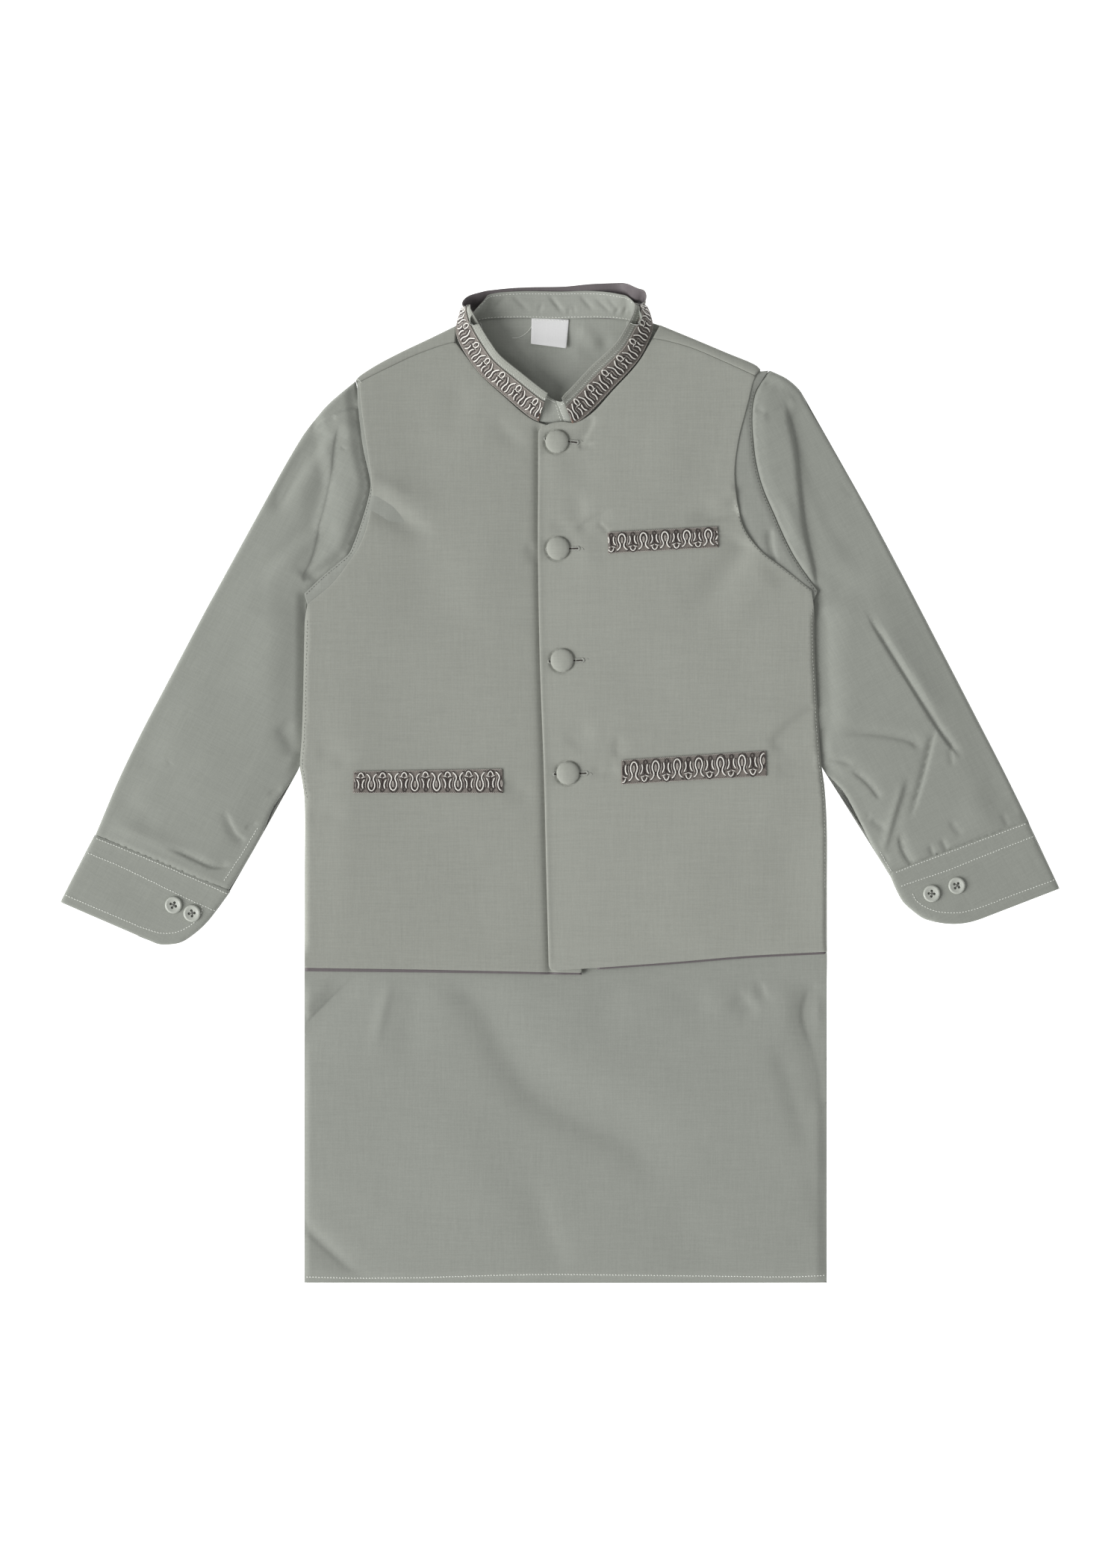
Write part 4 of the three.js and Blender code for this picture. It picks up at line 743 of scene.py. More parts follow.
def cloth_material(name, colour, turn=0.0, slub=0.19, blotch=0.03, rough=0.72, sheen=0.25, weave=0.42, bump=0.16,
                   melange=0.13):
    """Plain weave: warp and weft a third of a millimetre apart, uneven along
    their length, with a faint change of colour from thread to thread."""
    m, nt, bsdf = new_material(name)
    L = nt.links
    tc = nt.nodes.new("ShaderNodeTexCoord")
    turned = nt.nodes.new("ShaderNodeMapping")
    turned.inputs["Rotation"].default_value = (0, 0, turn)
    L.new(tc.outputs["Object"], turned.inputs["Vector"])
    coord = turned.outputs[0]
    warp = stretched_noise(nt, coord, (1400, 55, 55), 2.5, 0.6)
    weft = stretched_noise(nt, coord, (55, 1400, 55), 2.5, 0.6)
    fine = stretched_noise(nt, coord, (900, 900, 900), 1.0, 0.5)
    large = stretched_noise(nt, coord, (16, 11, 16), 3.0, 0.55)
    mix = math_node(nt, "ADD", math_node(nt, "SUBTRACT", warp, 0.5), math_node(nt, "SUBTRACT", weft, 0.5))
    tone = math_node(nt, "MULTIPLY", mix, slub)
    tone = math_node(nt, "ADD", tone, math_node(nt, "MULTIPLY", math_node(nt, "SUBTRACT", fine, 0.5), melange))
    tone = math_node(nt, "ADD", tone, math_node(nt, "MULTIPLY", math_node(nt, "SUBTRACT", large, 0.5), blotch * 2))
    tone = math_node(nt, "ADD", tone, 1.0)
    colour_node = nt.nodes.new("ShaderNodeVectorMath")
    colour_node.operation = "SCALE"
    colour_node.inputs[0].default_value = colour
    L.new(tone, colour_node.inputs["Scale"])
    L.new(colour_node.outputs[0], bsdf.inputs["Base Color"])
    # weave: two crossed waves
    waves = []
    for axis in ("X", "Y"):
        w = nt.nodes.new("ShaderNodeTexWave")
        w.wave_type = "BANDS"
        w.bands_direction = axis
        w.wave_profile = "SIN"
        w.inputs["Scale"].default_value = 1000.0 / weave / 6.2832 * 0.5 * 2
        w.inputs["Distortion"].default_value = 0.6
        w.inputs["Detail"].default_value = 1.0
        w.inputs["Detail Scale"].default_value = 0.4
        L.new(coord, w.inputs["Vector"])
        waves.append(w.outputs["Fac"])
    height = math_node(nt, "MULTIPLY", math_node(nt, "ADD", waves[0], waves[1]), 0.5)
    height = math_node(nt, "ADD", height, math_node(nt, "MULTIPLY", mix, 0.8))
    b = nt.nodes.new("ShaderNodeBump")
    b.inputs["Strength"].default_value = bump
    b.inputs["Distance"].default_value = 0.00012
    L.new(height, b.inputs["Height"])
    L.new(b.outputs[0], bsdf.inputs["Normal"])
    bsdf.inputs["Roughness"].default_value = rough
    bsdf.inputs["Specular IOR Level"].default_value = 0.28
    bsdf.inputs["Sheen Weight"].default_value = sheen
    bsdf.inputs["Sheen Roughness"].default_value = 0.45
    return m


def thread_material(name, colour, twist=900.0, rough=0.5, sheen=0.3, spec=0.4, vary=0.25):
    """Twisted thread: fine slanting ply lines and uneven tone."""
    m, nt, bsdf = new_material(name)
    L = nt.links
    tc = nt.nodes.new("ShaderNodeTexCoord")
    wave = nt.nodes.new("ShaderNodeTexWave")
    wave.bands_direction = "DIAGONAL"
    wave.inputs["Scale"].default_value = twist
    wave.inputs["Distortion"].default_value = 1.5
    L.new(tc.outputs["Object"], wave.inputs["Vector"])
    n = stretched_noise(nt, tc.outputs["Object"], (500, 500, 500), 2.0, 0.5)
    tone = math_node(nt, "ADD", math_node(nt, "MULTIPLY", wave.outputs["Fac"], vary * 0.6),
                     math_node(nt, "MULTIPLY", n, vary))
    tone = math_node(nt, "ADD", tone, 1.0 - vary * 0.8)
    c = nt.nodes.new("ShaderNodeVectorMath")
    c.operation = "SCALE"
    c.inputs[0].default_value = colour
    L.new(tone, c.inputs["Scale"])
    L.new(c.outputs[0], bsdf.inputs["Base Color"])
    b = nt.nodes.new("ShaderNodeBump")
    b.inputs["Strength"].default_value = 0.3
    b.inputs["Distance"].default_value = 0.0001
    L.new(wave.outputs["Fac"], b.inputs["Height"])
    L.new(b.outputs[0], bsdf.inputs["Normal"])
    bsdf.inputs["Roughness"].default_value = rough
    bsdf.inputs["Specular IOR Level"].default_value = spec
    bsdf.inputs["Sheen Weight"].default_value = sheen
    return m


def plastic_material(name, colour):
    m, nt, bsdf = new_material(name)
    L = nt.links
    tc = nt.nodes.new("ShaderNodeTexCoord")
    n = stretched_noise(nt, tc.outputs["Object"], (260, 150, 300), 4.0, 0.6)
    swirl = stretched_noise(nt, tc.outputs["Object"], (900, 700, 900), 2.0, 0.5)
    tone = math_node(nt, "ADD", math_node(nt, "MULTIPLY", n, 0.34), math_node(nt, "MULTIPLY", swirl, 0.10))
    tone = math_node(nt, "ADD", tone, 0.78)
    c = nt.nodes.new("ShaderNodeVectorMath")
    c.operation = "SCALE"
    c.inputs[0].default_value = colour
    L.new(tone, c.inputs["Scale"])
    L.new(c.outputs[0], bsdf.inputs["Base Color"])
    rough = nt.nodes.new("ShaderNodeMapRange")
    rough.inputs["To Min"].default_value = 0.26
    rough.inputs["To Max"].default_value = 0.42
    L.new(n, rough.inputs["Value"])
    L.new(rough.outputs[0], bsdf.inputs["Roughness"])
    b = nt.nodes.new("ShaderNodeBump")
    b.inputs["Strength"].default_value = 0.08
    b.inputs["Distance"].default_value = 0.0001
    L.new(swirl, b.inputs["Height"])
    L.new(b.outputs[0], bsdf.inputs["Normal"])
    bsdf.inputs["Specular IOR Level"].default_value = 0.5
    return m


CLOTH_COLOUR = (0.325, 0.335, 0.298)
MAT_CLOTH = cloth_material("grey_green_cloth", CLOTH_COLOUR)
# lighter copies of the same cloth, each a shade lighter, as painted light: for the left front, the covered buttons, and
# the kameez's back and collar
MAT_LAP_PAINTED_LIGHT = cloth_material("lapped_front_cloth_painted_light", (0.351, 0.362, 0.322))
MAT_DOME_PAINTED_LIGHT = cloth_material("covered_button_cloth_painted_light", (0.377, 0.389, 0.346))
MAT_INNER_PAINTED_LIGHT = cloth_material("kameez_inside_cloth_painted_light", (0.350, 0.364, 0.328))
MAT_KAMEEZ = cloth_material("kameez_cloth", (0.318, 0.331, 0.298))
MAT_SLEEVE_R = cloth_material("sleeve_cloth_right", (0.312, 0.326, 0.292), turn=math.radians(28))
MAT_SLEEVE_L = cloth_material("sleeve_cloth_left", (0.312, 0.326, 0.292), turn=math.radians(-28))
MAT_LINING = cloth_material("dark_lining", (0.150, 0.133, 0.138), slub=0.22, rough=0.5, sheen=0.15, weave=0.3,
                            melange=0.15, bump=0.08)
MAT_RIBBON = cloth_material("ribbon_ground", (0.205, 0.183, 0.165), slub=0.5, rough=0.6, sheen=0.2, weave=0.5,
                            melange=0.7, bump=0.6)
MAT_LABEL = cloth_material("white_label_tape", (0.80, 0.80, 0.80), slub=0.05, rough=0.6, sheen=0.1, weave=0.3,
                           melange=0.05, bump=0.1, blotch=0.01)
MAT_SILVER = thread_material("silver_cord", (0.86, 0.84, 0.78), rough=0.34, spec=0.7, sheen=0.1)
MAT_BROWN = thread_material("brown_cord", (0.034, 0.022, 0.019), rough=0.6)
MAT_TAUPE = thread_material("taupe_cord", (0.46, 0.43, 0.39), rough=0.5)
MAT_ORANGE = thread_material("frayed_end", (0.36, 0.13, 0.07), rough=0.6)
MAT_THREAD = thread_material("pale_thread", (0.86, 0.88, 0.82), rough=0.5)
# painted shade: thread for the armhole seams, darker than the cloth as if it lay in shadow
MAT_THREAD_PAINTED_SHADE = thread_material("seam_thread_painted_shade", (0.15, 0.155, 0.14), rough=0.6)
MAT_THREAD_SOFT = thread_material("grey_thread", (0.43, 0.44, 0.40), rough=0.55)
MAT_BUTTON = plastic_material("pearly_button", (0.50, 0.52, 0.47))
MAT_BUTTON_THREAD = thread_material("button_thread", (0.16, 0.16, 0.15), rough=0.6)


# ---------------------------------------------------------------------- camera

scene = bpy.context.scene
CAMERA_HEIGHT = 5.0
FRAME_HEIGHT = PHOTO[1] * PIXEL * MM
cam_data = bpy.data.cameras.new("camera")
cam = bpy.data.objects.new("camera", cam_data)
scene.collection.objects.link(cam)
cam_data.sensor_fit = "VERTICAL"
cam_data.sensor_height = 36.0
cam_data.sensor_width = 36.0
cam_data.lens = 36.0 * CAMERA_HEIGHT / FRAME_HEIGHT
cam_data.clip_start = 0.1
cam_data.clip_end = 50
cam.location = ((PHOTO[0] / 2 - CENTRE[0]) * PIXEL * MM, (CENTRE[1] - PHOTO[1] / 2) * PIXEL * MM, CAMERA_HEIGHT)
cam.rotation_euler = (0, 0, 0)
scene.camera = cam

# ----------------------------------------------------------------- light, floor

world = bpy.data.worlds.new("studio")
scene.world = world
world.use_nodes = True
world.node_tree.nodes["Background"].inputs[0].default_value = (1, 1, 1, 1)
world.node_tree.nodes["Background"].inputs[1].default_value = 0.40


def area_light(name, place, size, power, colour=(1, 1, 1)):
    data = bpy.data.lights.new(name, "AREA")
    data.shape = "DISK"
    data.size = size
    data.energy = power
    data.color = colour
    ob = bpy.data.objects.new(name, data)
    scene.collection.objects.link(ob)
    ob.location = place
    ob.rotation_euler = (Vector((0, 0, 0)) - Vector(place)).to_track_quat("-Z", "Y").to_euler()
    return ob


area_light("key", (-6.36, -1.91, 4.31), 5.4, 640)

floor_bag = Bag()
floor_bag.add([[-6000, -6000, -0.4], [6000, -6000, -0.4], [6000, 6000, -0.4], [-6000, 6000, -0.4]], [[[0, 1, 2, 3]]])
m, nt, bsdf = new_material("white_floor")
bsdf.inputs["Base Color"].default_value = (0.9, 0.9, 0.9, 1)
bsdf.inputs["Roughness"].default_value = 0.9
bsdf.inputs["Specular IOR Level"].default_value = 0.0
bsdf.inputs["Emission Color"].default_value = (1, 1, 1, 1)
bsdf.inputs["Emission Strength"].default_value = 1.0
floor = floor_bag.make("floor", [m], shade=False)

scene.view_settings.view_transform = "Standard"
scene.view_settings.look = "None"

made = {}


def finish_piece(ob, nodes):
    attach(ob, BODY)
    if nodes:
        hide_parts(*nodes)
    made[ob.name] = ob
    return ob


# ------------------------------------------------------------------ waistcoat

def towards_neck(rows, by):
    p = px(rows)
    d = np.array([-3.5, 274.0]) - p
    d /= np.linalg.norm(d, axis=1)[:, None]
    k = np.ones(len(p))
    k[[0, -1]] = 0
    return p + d * k[:, None] * by


bag = Bag()
panel(bag, [px(s) for s in (SHOULDER_RIGHT, ARMHOLE_RIGHT, SIDE_RIGHT, HEM_RIGHT, INNER_RIGHT)] + [towards_neck(NECK_RIGHT, 1.1)],
      front_right_top, WAISTCOAT_WALL, grid=2.1, extra=WAISTCOAT_RIGHT_CREASES.fine_points())
front_right = bag.make("waistcoat_front_right_cloth", [MAT_CLOTH])
finish_piece(front_right, ["waistcoat_front_right"])

bag = Bag()
panel(bag, [px(s) for s in (SHOULDER_LEFT, ARMHOLE_LEFT, SIDE_LEFT, HEM_LEFT, CORNER_LOW, FRONT_EDGE,
                            CORNER_TOP)] + [towards_neck(NECK_LEFT, 0.8)],
      front_left_top, WAISTCOAT_WALL, grid=2.1,
      extra=np.vstack([WAISTCOAT_LEFT_CREASES.fine_points(), button_ring_points()]))
# painted light: the left front takes a lighter copy of the cloth
front_left = bag.make("waistcoat_front_left_cloth", [MAT_LAP_PAINTED_LIGHT])
finish_piece(front_left, ["waistcoat_front_left"])

# the lining's folded edge, which shows under the hems; under the left front's hem the dark strip also stands in for the
# shadow below the hem, as painted shadow
bag = Bag()
for line, spots, drops, surf in (
        ([(409, 1297.6), (571, 1300.0), (680, 1302.0), (729, 1303.3), (779, 1304.2)], [-168, -60, 14], [1.2, 0.8, 0.4],
         front_right_top),
        ([(1106.5, 1275.8), (1001.8, 1281.4), (906, 1289.4), (800, 1297.2)], [24, 120, 176], [0.35, 0.6, 0.7],
         front_left_top)):
    hem = catmull(px(line), 2.0)
    drop = np.interp(hem[:, 0], spots, drops)
    low = surf(hem[:, 0], hem[:, 1] + 1.4) - WAISTCOAT_WALL
    rows = []
    for dy, dz in ((1.6, 0.15), (0.2, 0.15), (-1.0, 0.0), (-1.25, -0.3), (-1.0, -0.6), (0.2, -0.6), (1.6, -0.6)):
        rows.append(np.column_stack([hem[:, 0], hem[:, 1] + np.where(dy < 0, dy * drop, dy), low + dz]))
    grid_v = np.stack(rows, 1)
    n, k = grid_v.shape[:2]
    i, j = np.meshgrid(np.arange(n - 1), np.arange(k), indexing="ij")
    j2 = (j + 1) % k
    quads = np.stack([i * k + j, i * k + j2, (i + 1) * k + j2, (i + 1) * k + j], -1).reshape(-1, 4)
    caps = [np.arange(k)[::-1][None], (np.arange(k) + (n - 1) * k)[None]]
    bag.add(grid_v.reshape(-1, 3), [quads] + caps)
hem_lining_and_shadow = bag.make("waistcoat_hem_lining_edge_and_painted_shadow", [MAT_LINING])
finish_piece(hem_lining_and_shadow, [])

# back panel, turned over the shoulders to the seams
FOLD_RIGHT = [(618, 433), (612, 436), (575, 454), (537, 472), (503, 490), (480, 505.5), (476.5, 510)]
FOLD_LEFT = [(878, 434), (884, 436), (928, 454), (971, 472), (1013, 490), (1018.5, 495.5), (1019, 499)]
back_outline = [
    [(-58, 303.5), (57, 303.5)], [(57, 303.5)] + px(FOLD_LEFT).tolist(),
    [px(FOLD_LEFT)[-1].tolist()] + px(ARMHOLE_LEFT[1:]).tolist(), px(SIDE_LEFT).tolist(),
    [px(SIDE_LEFT)[-1].tolist(), (60, -112), (-60, -116), px(SIDE_RIGHT)[-1].tolist()],
    px(SIDE_RIGHT)[::-1].tolist(), px(ARMHOLE_RIGHT)[::-1].tolist()[:-1] + [px(FOLD_RIGHT)[-1].tolist()],
    px(FOLD_RIGHT)[::-1].tolist() + [(-58, 303.5)],
]
bag = Bag()
panel(bag, [np.array(s) for s in back_outline], lambda x, y: np.full(len(x), WAISTCOAT_WALL), WAISTCOAT_WALL,
      step=3.0, grid=5.0, rings=(0.15,))


def shoulder_turn(bag, fold, seam, top_fn):
    f = catmull(px(fold), 1.6)
    s = resample(catmull(px(seam), 1.0), length_of(catmull(px(seam), 1.0)) / (len(f) - 1))
    n = min(len(f), len(s))
    f, s = f[:n], s[:n]
    prof = []
    steps_k = [1.0, 0.6, 0.25]
    rows = []
    d = s - f
    reach = np.linalg.norm(d, axis=1)
    d = d / np.maximum(reach, 1e-6)[:, None]
    top = top_fn(s[:, 0], s[:, 1])
    w = 1.0
    R = np.minimum(2.3, reach * 0.45)

    def ring(off, outer):
        out = []
        out.append((reach, np.full(n, off)))
        for a in np.linspace(0, 90, 5):
            c, q = math.cos(math.radians(a)), math.sin(math.radians(a))
            out.append((R - (R - off) * q, R - (R - off) * c))
        for a in np.linspace(0, 90, 5):
            c, q = math.cos(math.radians(a)), math.sin(math.radians(a))
            out.append((R - (R - off) * c, top - R + (R - off) * q))
        out.append((reach * 0.55, top - off + 0.25))
        out.append((reach * 0.86, top - off + 0.22))
        out.append((reach, top - off - 0.12))
        return out if outer else out[::-1]
    prof = ring(0.0, True) + ring(w, False)
    k = len(prof)
    rows = [np.column_stack([f[:, 0] + d[:, 0] * a, f[:, 1] + d[:, 1] * a, b]) for a, b in prof]
    g = np.stack(rows, 1)
    i, j = np.meshgrid(np.arange(n - 1), np.arange(k), indexing="ij")
    j2 = (j + 1) % k
    quads = np.stack([i * k + j, i * k + j2, (i + 1) * k + j2, (i + 1) * k + j], -1).reshape(-1, 4)
    h = k // 2
    caps = []
    for base, flip in ((0, False), ((n - 1) * k, True)):
        for q in range(h - 1):
            a, b2, c, e = base + q, base + q + 1, base + k - 2 - q, base + k - 1 - q
            caps.append([a, e, c, b2] if not flip else [a, b2, c, e])
    v = g.reshape(-1, 3)
    # outward side by a volume test
    p = v[quads]
    vol = np.einsum("ij,ij->i", p[:, 0], np.cross(p[:, 1], p[:, 2])).sum() + \
        np.einsum("ij,ij->i", p[:, 0], np.cross(p[:, 2], p[:, 3])).sum()
    caps = np.array(caps)
    if vol < 0:
        quads, caps = quads[:, ::-1], caps[:, ::-1]
    bag.add(v, [quads, caps])


shoulder_turn(bag, FOLD_RIGHT[1:], [(610, 458.5), (599, 461), (560, 474.5), (520, 493), (483, 511.5)],
              lambda x, y: front_right_top(x, y) + 0.15)
shoulder_turn(bag, FOLD_LEFT[1:-1], [(874, 454), (888, 456), (925, 466), (968, 484), (1011, 503.5)],
              lambda x, y: front_left_top(x, y) + 0.15)
waistcoat_back = bag.make("waistcoat_back_cloth", [MAT_CLOTH])
finish_piece(waistcoat_back, ["waistcoat_back"])

# --------------------------------------------------------------------- kameez

RIGHT_TOP = [(-54.0, 302.4), (-62.5, 298.7), (-84.5, 287.4), (-102.7, 279.1), (-119.3, 270.7), (-132.8, 263.2)]
LEFT_TOP = [(50.0, 302.4), (57.1, 298.7), (86.0, 286.6), (107.1, 278.6), (127.6, 270.5), (137.0, 270.8)]
BODY_RIGHT = [(-167.4, 124.6), (-164.5, 112.0), (-164.5, 58.6), (-166.0, 11.5), (-164.9, -9.1), (-164.3, -100.0),
              (-166.2, -112.0), (-167.3, -119.5), (-167.4, -134.0), (-167.5, -220.7), (-167.5, -327.4)]
BODY_LEFT = [(169.4, 126.2), (165.0, 116.0), (164.0, 88.0), (165.9, 43.9), (168.6, 13.0), (171.6, -26.7),
             (172.0, -90.0), (173.8, -100.0), (175.1, -108.0), (175.2, -134.0), (175.2, -220.7), (175.2, -327.4)]
NECK_HOLE_RIGHT = [(-12.8, 240.4), (-20.0, 244.8), (-34.6, 257.6), (-48.2, 269.2), (-57.5, 280.2), (-61.4, 290.2),
                   (-59.6, 297.0), (-54.0, 302.4)]
NECK_HOLE_LEFT = [(50.0, 302.4), (53.6, 297.0), (54.1, 290.2), (47.8, 277.5), (32.2, 261.0), (18.4, 246.6), (8.2, 237.8)]
SLIT_X, SLIT_BOTTOM = 3.8, 81.0

seam_r, seam_l = px(SEAM_RIGHT), px(SEAM_LEFT)
bag = Bag()
front_outline = [
    np.array(LEFT_TOP), np.vstack([np.array(LEFT_TOP[-1:]), seam_l[1:-1], np.array(BODY_LEFT[:1])]),
    np.array(BODY_LEFT), np.array([BODY_LEFT[-1], (4, -327.6), BODY_RIGHT[-1]]), np.array(BODY_RIGHT[::-1]),
    np.vstack([np.array(BODY_RIGHT[:1]), seam_r[::-1][1:-1], np.array(RIGHT_TOP[-1:])]), np.array(RIGHT_TOP[::-1]),
    np.array(NECK_HOLE_RIGHT[::-1]), np.array([NECK_HOLE_RIGHT[0], (SLIT_X - 0.4, 236.6)]),
    np.array([(SLIT_X - 0.4, 236.6), (SLIT_X - 0.4, SLIT_BOTTOM)]), np.array([(SLIT_X - 0.4, SLIT_BOTTOM), (SLIT_X + 0.4, SLIT_BOTTOM)]),
    np.array([(SLIT_X + 0.4, SLIT_BOTTOM), (SLIT_X + 0.4, 236.6)]), np.array([(SLIT_X + 0.4, 236.6), NECK_HOLE_LEFT[-1]]),
    np.array(NECK_HOLE_LEFT[::-1]),
]
panel(bag, front_outline, kameez_front_top, 0.8, step=1.8, grid=5.0,
      regions=[((-172, -330), (180, -114), 2.1), ((108, 120), (176, 276), 2.1), ((-172, 118), (-112, 200), 2.4)],
      extra=KAMEEZ_CREASES.fine_points())
kameez_front = bag.make("kameez_front_cloth", [MAT_KAMEEZ])
finish_piece(kameez_front, ["kameez_front"])

bag = Bag()
back_k_outline = [
    np.array([(-54.0, 304.4), (-30, 306.2), (-2, 306.6), (27, 306.2), (50.0, 304.4)]), np.array(LEFT_TOP), front_outline[1], front_outline[2],
    front_outline[3], front_outline[4], front_outline[5], np.array(RIGHT_TOP[::-1]),
]
back_k_outline[1] = np.array([(50.0, 304.4)] + LEFT_TOP[1:])
back_k_outline[-1] = np.array(RIGHT_TOP[:0:-1] + [(-54.0, 304.4)])
panel(bag, back_k_outline, kameez_back_top, 0.8, step=2.4, grid=5.5, regions=[((-66, 228), (60, 306), 2.0)], rings=(0.15,))
# painted light: the kameez back takes a lighter copy of the cloth
kameez_back = bag.make("kameez_back_cloth", [MAT_INNER_PAINTED_LIGHT])
finish_piece(kameez_back, ["kameez_back"])

bag = Bag()
panel(bag, [np.array([(-13, 232.5), (12, 232.5)]), np.array([(12, 232.5), (12, 75)]), np.array([(12, 75), (-13, 75)]),
            np.array([(-13, 75), (-13, 232.5)])],
      lambda x, y: kameez_front_top(x, y) + 1.15, 0.8, step=2.0, grid=3.0, rings=(0.15,))
placket = bag.make("kameez_placket_cloth", [MAT_KAMEEZ])
finish_piece(placket, ["kameez_placket"])


# -------------------------------------------------------------------- sleeves

def sleeve_skin(name, shape, top_fn, bottom_fn, open_segments, material, wall, grid, extra, rings):
    """Flattened tube: an upper and an under skin that share their side folds, open at the ends, thickened inwards."""
    v, t, edge, seg, dist, src = triangulate(shape, 1.7, rings, grid, (), extra)
    zt = top_fn(v[:, 0], v[:, 1])
    v2, t2, edge2, seg2, dist2, src2 = triangulate(shape, 1.7, (0.2, 0.8), 4.0)
    zb = bottom_fn(v2[:, 0], v2[:, 1])
    shared = {}
    for i in np.nonzero(edge)[0]:
        shared[int(src[i])] = int(i)
    # a boundary point is open if it and its neighbours lie on an open segment
    n = len(v)
    total = int(max(src[edge].max(), src2[edge2].max())) + 1
    seg_by = np.full(total, -1)
    seg_by[src[edge]] = seg[edge]
    opened = np.isin(seg_by, open_segments) & np.isin(np.roll(seg_by, 1), open_segments) \
        & np.isin(np.roll(seg_by, -1), open_segments)
    index = np.empty(len(v2), int)
    new = []
    for i in range(len(v2)):
        s = int(src2[i])
        if edge2[i] and not opened[s] and s in shared:
            index[i] = shared[s]
        else:
            index[i] = n + len(new)
            new.append(i)
    for i in np.nonzero(edge)[0]:
        if not opened[int(src[i])]:
            zt[i] = FOLD_HEIGHT
    top = np.column_stack([v, zt])
    low = np.column_stack([v2[new], zb[new]])
    bag = Bag()
    bag.add(np.vstack([top, low]), [t, index[t2][:, ::-1]])
    ob = bag.make(name + "_tmp", [material])
    mod = ob.modifiers.new("wall", "SOLIDIFY")
    mod.thickness = wall * MM
    mod.offset = -1
    mod.use_even_offset = False
    mod.use_rim = True
    dg = bpy.context.evaluated_depsgraph_get()
    me = bpy.data.meshes.new_from_object(ob.evaluated_get(dg))
    old = ob.data
    bpy.data.objects.remove(ob)
    bpy.data.meshes.remove(old)
    # no point of the wall below the surface that the garment lies on
    co = np.empty(len(me.vertices) * 3)
    me.vertices.foreach_get("co", co)
    co[2::3] = np.maximum(co[2::3], 0.0)
    me.vertices.foreach_set("co", co)
    me.name = name
    me.materials.clear()
    me.materials.append(material)
    me.polygons.foreach_set("material_index", [0] * len(me.polygons))
    me.polygons.foreach_set("use_smooth", [True] * len(me.polygons))
    ob = bpy.data.objects.new(name, me)
    scene.collection.objects.link(ob)
    return ob


FOLD_HEIGHT = 1.4
TUCK = 2.62
CUFF_TUCK = 2.95

SLEEVE_R = {
    "top": [(476.4, 510.5), (457, 526), (437, 544), (422, 562), (408, 580), (386, 616), (356, 670), (317, 742),
            (274, 820), (227, 910), (195, 970), (160, 1042), (128, 1118)],
    "end": [(128, 1118), (126, 1128), (303, 1202), (307.5, 1191)],
    "under": [(307.5, 1191), (330, 1155), (351, 1118), (366, 1083), (384, 1056), (400, 1030), (405.5, 1010), (408.5, 960),
              (410.5, 870), (410, 800)],
}
SLEEVE_L = {
    "top": [(1031, 496.5), (1054, 507.5), (1072, 524), (1082, 544), (1103, 580), (1124.5, 617), (1144.5, 652), (1165, 688),
            (1193, 742), (1219, 790), (1250, 850), (1281, 910), (1312, 970), (1343, 1030), (1377, 1099)],
    "end": [(1377, 1099), (1380, 1109), (1196, 1180), (1191, 1171)],
    "under": [(1191, 1171), (1176, 1148), (1161, 1120), (1146, 1090), (1129, 1060), (1102, 1030), (1096, 1010), (1091.5, 960),
              (1087.5, 870), (1091, 794)],
}
